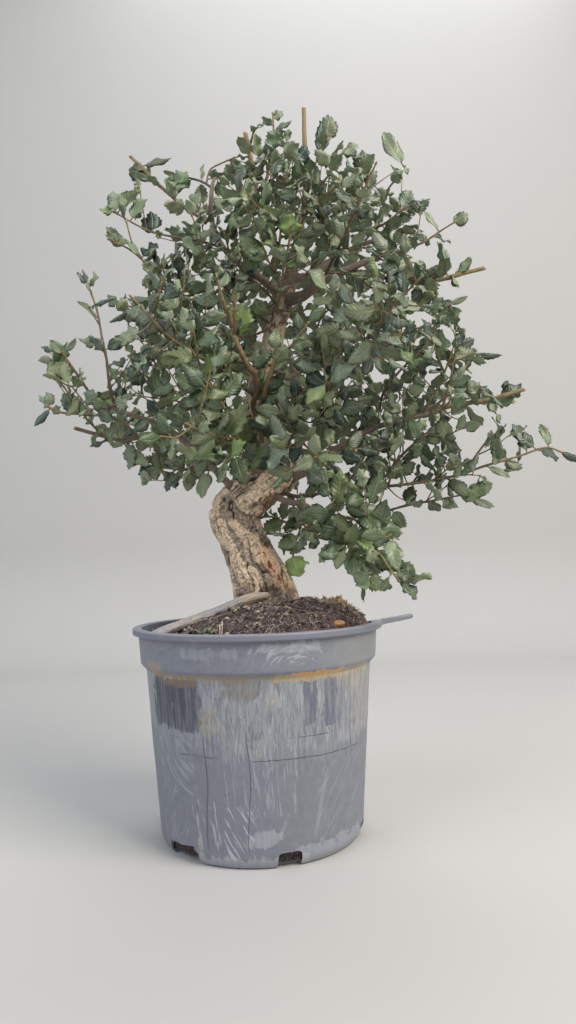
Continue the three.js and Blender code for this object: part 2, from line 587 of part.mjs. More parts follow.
// A line through points, read by the share of its length.
class Route {
  constructor(points) {
    this.points = points.map(vec);
    this.reach = [0];
    for (let i = 1; i < points.length; i++) {
      this.reach.push(this.reach[i - 1] + this.points[i].distanceTo(this.points[i - 1]));
    }
    this.length = this.reach.at(-1);
  }
  at(share) {
    const goal = Math.min(Math.max(share, 0), 1) * this.length;
    let i = 0;
    while (i < this.points.length - 2 && this.reach[i + 1] <= goal) i++;
    const part = (goal - this.reach[i]) / (this.reach[i + 1] - this.reach[i]);
    const way = this.points[i + 1].clone().sub(this.points[i]).normalize();
    return { point: this.points[i].clone().lerp(this.points[i + 1], part), way };
  }
}

// Pot

function potBody() {
  const lipFoot = POT_HEIGHT - LIP_HEIGHT;
  const outline = [
    [0, 0],
    [BASE_RADIUS, 0],
    [HEEL_RADIUS, HEEL],
    [SHOULDER_RADIUS, SHOULDER],
    [COLLAR_FOOT_RADIUS, COLLAR_FOOT],
    [COLLAR_TOP_RADIUS, lipFoot],
    [RIM_RADIUS, lipFoot],
    [RIM_RADIUS, POT_HEIGHT - 1],
    [RIM_RADIUS - 1, POT_HEIGHT],
    [COLLAR_TOP_RADIUS - WALL, POT_HEIGHT],
    [COLLAR_FOOT_RADIUS - WALL, COLLAR_FOOT + WALL / 2],
    [SHOULDER_RADIUS - WALL, SHOULDER + WALL / 2],
    [HEEL_RADIUS - WALL, FLOOR],
    [0, FLOOR],
  ];
  const profile = outline.map(([r, z]) => new THREE.Vector2(r, z));
  const lathe = new THREE.LatheGeometry(profile, POT_SIDES);
  lathe.rotateX(Math.PI / 2);
  return solidOfGeometry(lathe);
}

function notchCutter(index) {
  const width = index === 0 ? BROKEN_NOTCH_WIDTH : NOTCH_WIDTH;
  const box = new THREE.BoxGeometry(NOTCH_DEPTH, width, NOTCH_HEIGHT + 2);
  box.translate(HEEL_RADIUS + 1 - NOTCH_DEPTH / 2, 0, NOTCH_HEIGHT / 2 - 1);
  box.rotateZ(THREE.MathUtils.degToRad(FIRST_NOTCH + (index * 360) / NOTCHES));
  return solidOfGeometry(box);
}

// What is missing where the lip has torn away: the lip itself and a ragged top of the wall.
function tearCutter() {
  const lipFoot = POT_HEIGHT - LIP_HEIGHT;
  const rings = [];
  for (let i = 0; i <= TEAR_STEPS; i++) {
    const share = i / TEAR_STEPS;
    const angle = THREE.MathUtils.degToRad(TEAR_START + (TEAR_END - TEAR_START) * share);
    const teeth = 0.5 + Math.abs(Math.sin(i * 2.1));
    const rag = POT_HEIGHT - TEAR_DIP * Math.sin(Math.PI * share) - TEAR_RAG * teeth;
    const section = [
      [RIM_RADIUS + 3, POT_HEIGHT + 3],
      [RIM_RADIUS + 3, lipFoot - 1],
      [COLLAR_TOP_RADIUS - 0.1, lipFoot - 1],
      [COLLAR_TOP_RADIUS - 0.1, rag],
      [COLLAR_TOP_RADIUS - WALL - 2, rag],
      [COLLAR_TOP_RADIUS - WALL - 2, POT_HEIGHT + 3],
    ];
    rings.push(section.map(([r, z]) => vec([r * Math.cos(angle), r * Math.sin(angle), z])));
  }
  return skin(rings);
}

// The freed strip: a flat ribbon on edge that springs out and up from the end of the lip.
function tornStrip() {
  const points = STRIP_ROUTE.map(vec);
  const ways = waysAlong(points);
  const rings = points.map((point, i) => {
    const out = vec([ways[i].y, -ways[i].x, 0]).normalize().multiplyScalar(STRIP_THICKNESS / 2);
    const up = vec([0, 0, STRIP_HEIGHTS[i] / 2]);
    return [
      point.clone().sub(out).sub(up),
      point.clone().sub(out).add(up),
      point.clone().add(out).add(up),
      point.clone().add(out).sub(up),
    ];
  });
  return skin(rings);
}

function makePot() {
  let pot = potBody();
  for (let i = 0; i < NOTCHES; i++) pot = pot.subtract(notchCutter(i));
  return pot.subtract(tearCutter()).add(tornStrip());
}

// Trunk, its limbs and the root that runs over the soil: all one piece of wood

// Cork: lengthwise ridges that wind a little, broken by cracks across, from the soil up.
function barkAt(angle, point) {
  const rise = smoothstep(point.z, BARK_STARTS, BARK_STARTS + 14);
  const ridges = Math.sin(6 * angle + 1.4 * Math.sin(point.z / 15) + 0.02 * point.x);
  const plates = Math.sin(11 * angle - point.z / 8);
  const cracks = Math.sin(point.z / 3.1 + 2.5 * Math.sin(2 * angle));
  return BARK_DEPTH * rise * (0.5 * ridges + 0.25 * plates + 0.25 * cracks);
}

// A length of trunk with domed ends. extra swells it, to give what it clears.
function trunkLength(table, sides, depth, domes, extra = 0) {
  const points = table.map(vec);
  const radii = table.map((p) => p[3] + extra);
  const ways = waysAlong(points);
  const [startDome, endDome] = domes;
  const [first, last] = [points[0], points.at(-1)];
  const [firstRadius, lastRadius] = [radii[0], radii.at(-1)];
  for (const lean of [0.5, 0.85]) {
    const narrowing = Math.sqrt(1 - lean * lean);
    if (startDome) {
      points.unshift(first.clone().addScaledVector(ways[0], -firstRadius * lean));
      radii.unshift(firstRadius * narrowing);
    }
    if (endDome) {
      points.push(last.clone().addScaledVector(ways.at(-1), lastRadius * lean));
      radii.push(lastRadius * narrowing);
    }
  }
  return skin(ringsAlong(points, sides, (i, angle, point) => {
    return radii[i] + depth * (radii[i] / BARK_RADIUS) * barkAt(angle, point);
  }));
}

function trunkWood(extra = 0) {
  return trunkLength(LOWER_TRUNK, TRUNK_SIDES, 1, [false, true], extra)
    .add(trunkLength(UPPER_TRUNK, TRUNK_SIDES, 1, [true, true], extra))
    .add(trunkLength(LEADER, LEADER_SIDES, 1.4, [false, false], extra));
}

// A line of points made longer at its end.
function lengthened(points, extra) {
  const way = waysAlong(points).at(-1);
  return [...points.slice(0, -1), points.at(-1).clone().addScaledVector(way, extra)];
}

function limbWood(limb, extra = 0) {
  return taperedTube(lengthened(limb.route.map(vec), extra), limb.foot + extra, limb.end + extra, LIMB_SIDES);
}

function surfaceRoot(extra = 0) {
  const points = lengthened(ROOT.map(vec), extra);
  const ways = waysAlong(points);
  const rings = points.map((point, i) => {
    const side = new THREE.Vector3(-ways[i].y, ways[i].x, 0).normalize();
    const rise = ways[i].clone().cross(side);
    return Array.from({ length: ROOT_SIDES }, (_, k) => {
      const angle = (k / ROOT_SIDES) * 2 * Math.PI;
      return point
        .clone()
        .addScaledVector(side, Math.cos(angle) * (ROOT[i][3] + extra))
        .addScaledVector(rise, Math.sin(angle) * (ROOT[i][4] + extra));
    });
  });
  return skin(rings);
}

function makeTrunk(extra = 0) {
  const stem = trunkWood(extra).add(surfaceRoot(extra));
  return LIMBS.reduce((wood, limb) => wood.add(limbWood(limb, extra)), stem);
}

// Soil

// Height of the root ball's top: a mound, steep to the right and easy to the left.
function soilHeight(x, y) {
  const reach = Math.hypot((x - MOUND_CENTRE) / MOUND_LENGTH, y / MOUND_WIDTH);
  const steepness = MOUND_STEEPNESS + MOUND_LEAN * Math.tanh((x - MOUND_CENTRE) / 25);
  const lumps = Math.sin(x / 7 + 1) * Math.sin(y / 8) + 0.6 * Math.sin(x / 3.7 + y / 5);
  return SOIL_EDGE + SOIL_RISE * Math.max(0, 1 - reach ** steepness) + SOIL_LUMPS * lumps;
}

function soilBody() {
  const inset = WALL + WALL_CLEARANCE;
  const walls = [
    [HEEL_RADIUS - inset, FLOOR + GAP],
    [SHOULDER_RADIUS - inset, SHOULDER + WALL / 2],
    [COLLAR_FOOT_RADIUS - inset, COLLAR_FOOT + WALL],
  ];
  const edge = COLLAR_TOP_RADIUS - inset - GAP;
  const ring = (radius, heightAt) =>
    Array.from({ length: SOIL_SIDES }, (_, k) => {
      const angle = ((k + 0.5) / SOIL_SIDES) * 2 * Math.PI;
      const x = radius * Math.cos(angle);
      const y = radius * Math.sin(angle);
      return vec([x, y, heightAt(x, y)]);
    });
  const rings = walls.map(([radius, z]) => ring(radius, () => z));
  for (const share of SOIL_RINGS) rings.push(ring(edge * share, soilHeight));
  return skin(rings);
}

function makePebble(extra = 0) {
  const stone = new THREE.DodecahedronGeometry(1);
  const [x, y] = PEBBLE.place;
  stone.scale(...PEBBLE.size.map((half) => half + extra));
  stone.translate(x, y, soilHeight(x, y) + PEBBLE.size[2] * 0.4);
  return solidOfGeometry(stone);
}

// The hole that the trunk stands in: plain, a little wider than the wood and without its ridges.
function trunkHole() {
  const [[x, y, z, radius], ...above] = LOWER_TRUNK.slice(0, 5);
  const table = [[x, y, z - GAP, radius], ...above];
  return trunkLength(table, HOLE_SIDES, 0, [false, false], HOLE_CLEARANCE);
}

function seedlingHole() {
  const foot = vec(SEEDLING.foot);
  const points = [foot.clone().setZ(foot.z - GAP), foot.clone().setZ(POT_HEIGHT + SEEDLING.height)];
  return taperedTube(points, SEEDLING.hole, SEEDLING.hole, 6);
}

function makeSoil() {
  return soilBody()
    .subtract(trunkHole())
    .subtract(surfaceRoot(GAP))
    .subtract(makePebble(GAP + 0.1))
    .subtract(seedlingHole());
}

// Leaves and shoots

// Two ways square to a line.
function crossAxes(way) {
  const up = Math.abs(way.z) > 0.95 ? new THREE.Vector3(0, 1, 0) : new THREE.Vector3(0, 0, 1);
  const a = way.clone().cross(up).normalize();
  return [a, way.clone().cross(a)];
}

// A thin waved blade that folds up along its midrib, from its foot in the twig to its tip.
function blade(leaf, extra) {
  const { foot, way, face, length, width, bend, sink } = leaf;
  const side = way.clone().cross(face);
  const place = (along, across, lift) =>
    foot
      .clone()
      .addScaledVector(way, along * length)
      .addScaledVector(side, across * width)
      .addScaledVector(face, (lift * width) - bend * along * along * length);
  const grown = 1 + (2 * extra) / width;
  const right = BLADE_RIGHT.map(([along, across, wave]) => place(along, across * grown, wave - 0.1));
  const left = BLADE_LEFT.map(([along, across, wave]) => place(along, -across * grown, wave - 0.1));
  const rim = [place(-sink / length, 0, 0), ...right, place(1 + extra / length, 0, 0), ...left.reverse()];
  const count = rim.length;
  const thickness = BLADE_THICKNESS / 2 + extra;
  const top = rim.map((p) => p.clone().addScaledVector(face, thickness));
  const under = rim.map((p) => p.clone().addScaledVector(face, -thickness));
  const triangles = [];
  for (const [a, b, c] of BLADE_TRIANGLES) {
    triangles.push([a, b, c], [count + a, count + c, count + b]);
  }
  for (let i = 0; i < count; i++) {
    const next = (i + 1) % count;
    triangles.push([i, count + i, count + next], [i, count + next, next]);
  }
  return solidOfTriangles([...top, ...under], triangles);
}

// A leaf of the rule: turn is its place round the twig, open its angle from it.
function leafAt(foot, along, turn, open, leafLength, random) {
  const [a, b] = crossAxes(along);
  const way = along.clone().multiplyScalar(Math.cos(open));
  way.addScaledVector(a, Math.cos(turn) * Math.sin(open));
  way.addScaledVector(b, Math.sin(turn) * Math.sin(open));
  way.z += 0.35 * random() - 0.1;
  way.normalize();
  const outward = foot.clone().sub(CROWN_CENTRE);
  outward.z *= 0.6;
  const face = outward.normalize();
  face.z += 0.5;
  face.x += (random() - 0.5) * 1.3;
  face.y += (random() - 0.5) * 1.3;
  face.z += (random() - 0.5) * 1.3;
  face.addScaledVector(way, -face.dot(way)).normalize();
  const length = leafLength * (0.72 + 0.5 * random());
  const width = length * (0.5 + 0.14 * random());
  const bend = 0.1 + 0.25 * random();
  random();
  return { foot, way, face, length, width, bend, sink: 0 };
}

// Leaves by turns up a shoot, the first at its tip.
function leavesAlong(route, bare, spacing, leafLength, top, random) {
  const count = Math.max(2, Math.round((route.length * (1 - bare)) / spacing));
  const phase = random() * 2 * Math.PI;
  const leaves = [];
  for (let i = 0; i < count; i++) {
    const { point, way } = route.at(top - ((top - bare) * i) / count);
    const open = i === 0 ? 0.25 + 0.3 * random() : 0.75 + 0.5 * random();
    const turn = phase + i * LEAF_TURN + (random() - 0.5) * 0.7;
    const size = [0.72, 0.88][i] ?? 1;
    const leaf = leafAt(point, way, turn, open, leafLength * size, random);
    if (i === 0) leaf.sink = TIP_SINK;
    leaves.push(leaf);
  }
  return leaves;
}

// A side twig of the rule and its leaves.
function sideTwig(main, spray, index, phase, random) {
  const bare = Math.min(spray.bare, 0.6);
  const share = bare + ((0.9 - bare) * (index + 0.3 + 0.4 * random())) / spray.twigs;
  const { point, way } = main.at(share);
  const [a, b] = crossAxes(way);
  const turn = phase + index * LEAF_TURN;
  const open = 0.75 + 0.35 * random();
  const out = way.clone().multiplyScalar(Math.cos(open));
  out.addScaledVector(a, Math.cos(turn) * Math.sin(open));
  out.addScaledVector(b, Math.sin(turn) * Math.sin(open));
  out.normalize();
  const length = TWIG_LENGTH * (0.75 + 0.5 * random());
  const middle = point.clone().addScaledVector(out, length * 0.5);
  const end = point.clone().addScaledVector(out, length);
  end.z += length * (0.3 * random() - 0.05);
  const route = new Route([point, middle, end].map((p) => p.toArray()));
  return { route, leaves: leavesAlong(route, 0.2, LEAF_SPACING * 0.85, spray.leaf * 0.95, 1, random) };
}

// A leaf placed by hand: which shoot of the spray, the share along it, its tip, width and roll.
function handLeaf(routes, [shoot, share, x, y, z, breadth, roll]) {
  const foot = routes[shoot].at(share).point;
  const way = vec([x, y, z]).sub(foot);
  const length = way.length();
  way.normalize();
  const face = new THREE.Vector3(0, -1, 0.25);
  face.addScaledVector(way, -face.dot(way)).normalize();
  face.applyAxisAngle(way, THREE.MathUtils.degToRad(roll));
  const width = Math.min(length, LONGEST_BLADE) * breadth;
  return { shoot, foot, way, face, length, width, bend: 0.06, sink: share > 0.95 ? TIP_SINK : 0 };
}

// Everything a spray could carry, before what would touch its neighbours is left off.
function growSpray(spray, seed) {
  const random = seeded(seed);
  const main = new Route(spray.route);
  const sides = (spray.sides ?? []).map(([share, ...points]) => {
    return new Route([main.at(share).point.toArray(), ...points]);
  });
  const shoots = [main, ...sides];
  const leaves = shoots.map((route, i) => {
    const bare = i === 0 ? spray.bare : 0.15;
    const top = spray.cut && i === 0 ? 0.8 : 1;
    return bare < 1 ? leavesAlong(route, bare, LEAF_SPACING, spray.leaf, top, random) : [];
  });
  const phase = random() * 2 * Math.PI;
  const twigs = [];
  for (let i = 0; i < spray.twigs; i++) twigs.push(sideTwig(main, spray, i, phase, random));
  const routes = [...shoots, ...twigs.map((twig) => twig.route)];
  const byHand = (spray.leaves ?? []).map((row) => handLeaf(routes, row));
  return { shoots, leaves, twigs, byHand };
}

// The seedling that has come up by the rim: a thin stem with three leaves.
function makeSeedling() {
  const foot = vec(SEEDLING.foot);
  const top = foot.clone().add(vec([0, 0, SEEDLING.height]));
  const stem = taperedTube([foot, top], SEEDLING.stem, SEEDLING.stem, 4);
  return SEEDLING.leaves.reduce((plant, tip) => {
    const way = vec(tip).sub(top);
    const length = way.length();
    way.normalize();
    const face = new THREE.Vector3(0, 0, 1).addScaledVector(way, -way.z).normalize();
    const leaf = { foot: top, way, face, length, width: length * 0.6, bend: 0.1, sink: TIP_SINK };
    return plant.add(blade(leaf, 0));
  }, stem);
}

// What already stands somewhere, whose it is and the box round it.
function occupant(owner, solid) {
  return { owner, solid, box: solid.boundingBox() };
}

function boxesMeet(a, b) {
  return [0, 1, 2].every((i) => a.min[i] <= b.max[i] && b.min[i] <= a.max[i]);
}

function isClear(owner, solid, occupants) {
  const box = solid.boundingBox();
  return !occupants.some((other) => {
    return other.owner !== owner && boxesMeet(box, other.box) && !solid.intersect(other.solid).isEmpty();
  });
}

// The tips first, then the rest spread evenly.
function inOrderOfNeed(lists) {
  const tips = lists.map((leaves) => leaves[0]);
  const rest = lists.flatMap((leaves) => leaves.slice(1));
  const spread = rest.map((leaf, i) => ({ leaf, rank: (i * 0.618) % 1 })).sort((a, b) => a.rank - b.rank);
  return [...tips, ...spread.map((entry) => entry.leaf)];
}

// All sprays, grown together: first their wood, then leaves placed by hand, then leaves of the rule.
// What would touch another piece is left off.
function makeSprays(neighbours) {
  const occupants = neighbours.map(([name, solid]) => occupant(name, solid));
  const sprays = SPRAYS.map((spray, i) => ({ spray, parts: [], outers: [], ...growSpray(spray, i + 1) }));
  const place = (grown, solid) => {
    grown.parts.push(solid);
    occupants.push(occupant(grown.spray.name, solid));
  };
  const placeLeaf = (grown, leaf) => {
    const outer = blade({ ...leaf, sink: -0.25 * leaf.length }, 0);
    if (!isClear("", outer, grown.outers)) return 0;
    if (!isClear(grown.spray.name, blade(leaf, GAP), occupants)) return 0;
    grown.outers.push(occupant("own", outer));
    place(grown, blade(leaf, 0));
    return 1;
  };
  for (const grown of sprays) {
    const [foot, end] = grown.spray.radii;
    grown.shoots.forEach((route, i) => {
      place(grown, taperedTube(route.points, i === 0 ? foot : end * 1.3, end, TWIG_SIDES));
    });
  }
  for (const grown of sprays) {
    const end = grown.spray.radii[1];
    const carries = (index) => grown.byHand.some((leaf) => leaf.shoot === grown.shoots.length + index);
    grown.twigs = grown.twigs.filter(({ route }, index) => {
      const spare = index === 0 && grown.shoots.length === 1 && grown.byHand.length < 3;
      if (!spare && !carries(index)) return false;
      const swollen = taperedTube(route.points, end + GAP, end + GAP, TWIG_SIDES);
      const clear = isClear(grown.spray.name, swollen, occupants);
      if (clear) place(grown, taperedTube(route.points, end * 1.1, end * 0.9, TWIG_SIDES));
      return clear;
    });
  }
  for (const grown of sprays) {
    grown.byHand.slice(0, LEAVES_A_SPRAY).forEach((leaf) => placeLeaf(grown, leaf));
  }
  for (const grown of sprays) {
    const lists = [...grown.leaves, ...grown.twigs.map((twig) => twig.leaves)].filter((list) => list.length);
    const wanted = LEAVES_A_SPRAY - grown.byHand.length;
    let count = 0;
    for (const leaf of inOrderOfNeed(lists)) {
      if (count < wanted) count += placeLeaf(grown, leaf);
    }
  }
  return sprays.map(({ spray, parts }) => [spray.name, wasm.Manifold.union(parts)]);
}

// The largest of the closed bodies that a solid falls into.
function mainPiece(solid) {
  return solid.decompose().reduce((best, piece) => (piece.volume() > best.volume() ? piece : best));
}

function addNode(group, name, solid, colour, roughness) {
  const material = new THREE.MeshStandardMaterial({ color: colour, roughness, metalness: 0 });
  const mesh = new THREE.Mesh(geometryOfSolid(mainPiece(solid).simplify(0.01)), material);
  mesh.name = name;
  group.add(mesh);
}

function makeBonsai() {
  const group = new THREE.Group();
  const crown = new THREE.Group();
  group.add(crown);
  const pot = makePot();
  const soil = makeSoil();
  const trunk = makeTrunk();
  const pebble = makePebble();
  const seedling = makeSeedling();
  addNode(group, "pot", pot, "#7b848c", 0.6);
  addNode(group, "soil", soil, "#382c27", 1);
  addNode(group, "trunk", trunk, "#a38a68", 0.9);
  addNode(group, "pebble", pebble, "#b07a4a", 0.8);
  addNode(group, "seedling", seedling, "#6f9440", 0.6);
  const standing = Object.entries({ pot, soil, trunk, pebble, seedling });
  const clearedTrunk = makeTrunk(GAP);
  for (const [name, spray] of makeSprays(standing)) {
    addNode(crown, name, spray.subtract(clearedTrunk), "#4b6145", 0.55);
  }
  return group;
}

export default makeBonsai();
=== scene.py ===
"""Looks of a young cork oak bonsai in its nursery pot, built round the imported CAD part.

Sizes in the tables are millimetres in the part's own frame; meshes are made in metres.
"""

import math

import bmesh
import bpy
import numpy as np
from mathutils import Matrix, Vector


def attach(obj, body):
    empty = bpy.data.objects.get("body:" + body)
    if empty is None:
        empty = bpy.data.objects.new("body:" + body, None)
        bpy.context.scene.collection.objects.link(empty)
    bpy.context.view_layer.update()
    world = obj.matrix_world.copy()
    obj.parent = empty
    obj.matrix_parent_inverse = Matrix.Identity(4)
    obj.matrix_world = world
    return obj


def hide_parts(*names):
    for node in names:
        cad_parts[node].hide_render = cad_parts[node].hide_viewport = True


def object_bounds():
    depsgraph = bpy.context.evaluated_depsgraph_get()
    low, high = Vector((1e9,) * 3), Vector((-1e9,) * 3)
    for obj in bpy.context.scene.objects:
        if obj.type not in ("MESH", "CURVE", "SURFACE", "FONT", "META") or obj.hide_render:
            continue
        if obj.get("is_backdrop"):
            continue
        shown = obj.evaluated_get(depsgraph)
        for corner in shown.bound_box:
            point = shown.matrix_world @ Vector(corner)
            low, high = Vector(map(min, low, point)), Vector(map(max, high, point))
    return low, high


bl_info = {
    "name": "Cork Oak Bonsai",
    "version": (1, 0, 0),
    "blender": (4, 5, 0),
    "location": "3D View > Sidebar > Bonsai",
    "description": "Builds the finished looks of a cork oak bonsai in a nursery pot",
    "category": "Add Mesh",
}

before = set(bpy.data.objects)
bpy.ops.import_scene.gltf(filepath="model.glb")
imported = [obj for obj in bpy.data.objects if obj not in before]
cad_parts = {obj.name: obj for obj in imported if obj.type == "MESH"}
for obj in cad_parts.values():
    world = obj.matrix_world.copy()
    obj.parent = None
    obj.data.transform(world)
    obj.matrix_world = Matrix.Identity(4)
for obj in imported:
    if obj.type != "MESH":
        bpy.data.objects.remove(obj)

MM = 0.001
TAU = 2 * math.pi

# Leaves whose tips pass the CAD box by more than this are left out: a share of each side and a few
# millimetres.
BOX_LOW, BOX_HIGH = (np.array(corner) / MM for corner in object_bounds())
BOX_MARGIN = 0.02 * (BOX_HIGH - BOX_LOW) + 5

# Pot: radii are of the outer face.
POT_HEIGHT = 163
WALL = 2.1
FLOOR = 3
RIM_RADIUS = 100
LIP_HEIGHT = 5
COLLAR_TOP_RADIUS = 95.5
COLLAR_FOOT_RADIUS = 94
COLLAR_FOOT = 136
SHOULDER_RADIUS = 89.6
SHOULDER = 131.5
HEEL_RADIUS = 80
HEEL = 6
BASE_RADIUS = 77
NOTCHES = 6
NOTCH_WIDTH = 17.5
BROKEN_NOTCH_WIDTH = 31
NOTCH_HEIGHT = 11
NOTCH_DEPTH = 9
FIRST_NOTCH = -134
TEAR_START = -4
TEAR_END = 34
TEAR_STEPS = 10
TEAR_DIP = 1.2
TEAR_RAG = 1.6
STRIP_THICKNESS = 2.4
STRIP_ROUTE = [
    (97.2, -14, 159.8), (98.2, -4, 159.8), (101.5, 6, 160), (108.5, 15, 160.4), (119, 23, 161.2),
    (128, 28.5, 162.1), (131, 30.3, 162.4),
]
STRIP_HEIGHTS = [4.9, 4.9, 4.9, 4.7, 4.5, 4.2, 3.0]

# The radius at which the wall is unrolled to place the marks.
POT_UNROLLED = 92.0
# Marks on the pot, seen from the front: edges left, right, low and high in millimetres round the wall and
# up it. Stains add the softness of the edges, how streaked they are, how strong, and the colour.
POT_STAINS = [
    ((-97, -42, 94, 131), 8, 0.4, 0.95, "stain"),
    ((-90, -56, 99, 128), 9, 0.7, 0.5, (62, 65, 76)),
    ((-84, -44, 125, 131), 12, 0.9, 0.5, (150, 122, 88)),
    ((-100, -76, 132, 142), 9, 0.3, 0.6, (160, 144, 108)),
    ((-22, 7, 118, 131), 10, 0.8, 0.5, (112, 98, 76)),
    ((-44, -26, 92, 111), 10, 0.5, 0.4, (160, 154, 120)),
    ((37, 47, 97, 131), 3, 0.7, 0.85, (92, 97, 112)),
    ((54, 66, 95, 131), 3, 0.5, 0.9, (94, 99, 116)),
    ((68, 72, 98, 126), 2, 0.8, 0.7, (102, 106, 120)),
    ((-112, 27, 130.4, 134), 3, 0.4, 0.6, (158, 138, 100)),
    ((18, 112, 128.5, 134.6), 9, 0.5, 0.7, (180, 160, 116)),
    ((64, 104, 120, 133), 12, 0.8, 0.45, (176, 162, 126)),
    ((25, 68, 131.6, 135), 9, 0.3, 0.95, "rust"),
    ((-8, 18, 15, 27), 10, 0.3, 0.45, (180, 182, 187)),
    ((-64, 44, -4, 8), 6, 0.2, 0.5, (176, 178, 184)),
    ((30, 112, -4, 14), 8, 0.2, 0.45, (172, 175, 182)),
    ((-52, -8, 146, 153), 5, 0.6, 0.4, (164, 167, 175)),
    ((4, 48, 149, 156), 5, 0.3, 0.5, (170, 173, 180)),
    ((84, 124, 84, 130), 16, 0.3, 0.35, (166, 162, 152)),
    ((-130, -96, 20, 92), 10, 0.2, 0.35, (114, 118, 124)),
]
# Strokes add their lean across for each millimetre up, their spacing, how strong and the colour.
POT_STROKES = [
    ((-46, 116, 90, 132), 0.2, 1.5, 0.55, (98, 102, 113)),
    ((-46, 116, 88, 132), -0.22, 1.6, 0.55, (98, 102, 113)),
    ((-50, 112, 80, 132), 0.04, 1.7, 0.4, (174, 176, 179)),
    ((28, 112, 62, 130), -0.05, 2.2, 0.5, (108, 112, 123)),
    ((-26, 32, 36, 88), -0.07, 2.0, 0.45, (168, 171, 177)),
    ((-27, -2, 7, 44), -0.62, 2.6, 0.9, (178, 181, 188)),
    ((-56, -30, 12, 48), -0.16, 2.8, 0.7, (172, 175, 182)),
    ((50, 108, 14, 70), 0.9, 3.0, 0.3, (162, 165, 173)),
    ((-122, -60, 12, 56), 0.7, 3.2, 0.3, (158, 161, 168)),
    ((6, 60, 16, 72), 0.25, 4.2, 0.3, (164, 167, 174)),
    ((-64, -28, 72, 90), -1.6, 2.0, 0.6, (96, 100, 112)),
    ((-120, 120, 138, 156), 2.6, 2.6, 0.2, (160, 163, 171)),
]
# Cracks that run down: their place round the wall, where they start and end, and half their width.
CRACKS_DOWN = [(-40.5, 15, 92, 0.55), (-6.0, 12, 92, 0.4), (84.0, 62, 112, 0.4)]
# Cracks that run round: their height, left and right ends, and half their width.
CRACKS_ROUND = [(75.0, -4, 96, 0.45), (89.5, 26, 62, 0.35), (77.0, -62, -32, 0.5)]

# Root ball and what lies on it.
SOIL_EDGE = 158
SOIL_UNDERSIDE = 4
# The root ball inside the pot: radius and height of its side, from the top down.
SOIL_SIDE = [(COLLAR_FOOT_RADIUS - 2.6, 139), (SHOULDER_RADIUS - 2.6, 131), (77, SOIL_UNDERSIDE)]
SOIL_RINGS = 92
SOIL_SIDES = 310
CLEAR_OF_TRUNK = 23
TRUNK_FOOT = (7, 2)
SOIL_RISE = 21
SOIL_LUMPS = 0.8
MOUND_CENTRE = 14
MOUND_STEEPNESS = 3.6
MOUND_LEAN = 1.4
MOUND_LENGTH = 79
MOUND_WIDTH = 84
MOSS_PLACE = (68, 30)
PEBBLE_PLACE = (62, -57)
PEBBLE_RADII = (4.59, 3.74, 2.89)
PEBBLE_SUNK = 0.6
HAIR_POINTS = 10
HAIR_CURL = 2.6
# Where the two thick roots start that hang over the rim.
HANGING_ROOTS = [(-23.5, -62), (-25, -64)]
SEEDLING_FOOT = (-36, -73, 153)
SEEDLING_HEIGHT = 9
SEEDLING_LEAVES = [
    (-50, -72, 165, 0.72), (-25, -77, 165, 0.7), (-41, -81, 167, 0.6), (-31, -67, 167, 0.55),
]

# Trunk: points of the axis with the radius there.
LOWER_TRUNK = [
    (6, 2, 144, 24), (7, 2, 168, 26), (7, 2, 178, 27), (6, 2, 186, 26.2), (3, 3, 197, 24.2),
    (-1, 3, 207, 22.6), (-6, 4, 218, 21.4), (-10, 5, 228, 20.6), (-14, 5, 238, 20.4),
    (-17, 5, 248, 20.6), (-18, 5, 256, 20.4),
]
UPPER_TRUNK = [
    (-15, 5, 256, 19), (-7, 3, 263, 19.4), (1, 2, 270, 19.2), (9, 1, 276, 18.6), (17, 0, 282, 17.6),
    (23, -1, 288, 16.4),
]
LEADER = [
    (24, 0, 282, 14), (22, 0, 300, 14), (12, 6, 317, 12), (4, 10, 339, 11), (7, 12, 363, 10.5),
    (15, 10, 388, 9.6), (21, 8, 412, 8.4), (30, 6, 435, 7.2), (36, 6, 458, 5.8), (39, 8, 477, 4.6),
]
# Wood that rounds off the knee between the two: points of its axis, and the balls set on each of them.
KNEE = [(-18, 5, 250, 20.2), (-16, 5, 256, 20.2), (-11, 4, 261, 19.8)]
KNEE_LEVELS = (-14, -9, 0, 9, 14)
KNEE_RADII = (9, 16, 19.8, 16, 9)
# Sizes of the faces of the fused wood, each with a coarser size beside it.
TRUNK_GRAIN, TRUNK_GRAIN_QUICK = 0.78, 1.0
LIMB_GRAIN, LIMB_GRAIN_QUICK = 0.9, 1.1
TRUNK_RELIEF = 4.0
LIMB_RELIEF = 1.9
TWIG_RELIEF = 0.16
# The root over the soil: points with half its width and half its height.
ROOT = [
    (9.5, -24.5, 186, 2.6, 2.2), (-1, -24.5, 184.6, 3.8, 3.4), (-10, -22, 181.6, 5, 4.2),
    (-20, -17.5, 177, 5.6, 4.6), (-37, -16, 171.8, 6, 4), (-54, -21, 166.4, 7, 3.8),
    (-70, -26, 161.4, 7.6, 3.6), (-83, -29, 156.5, 6, 2.8),
]
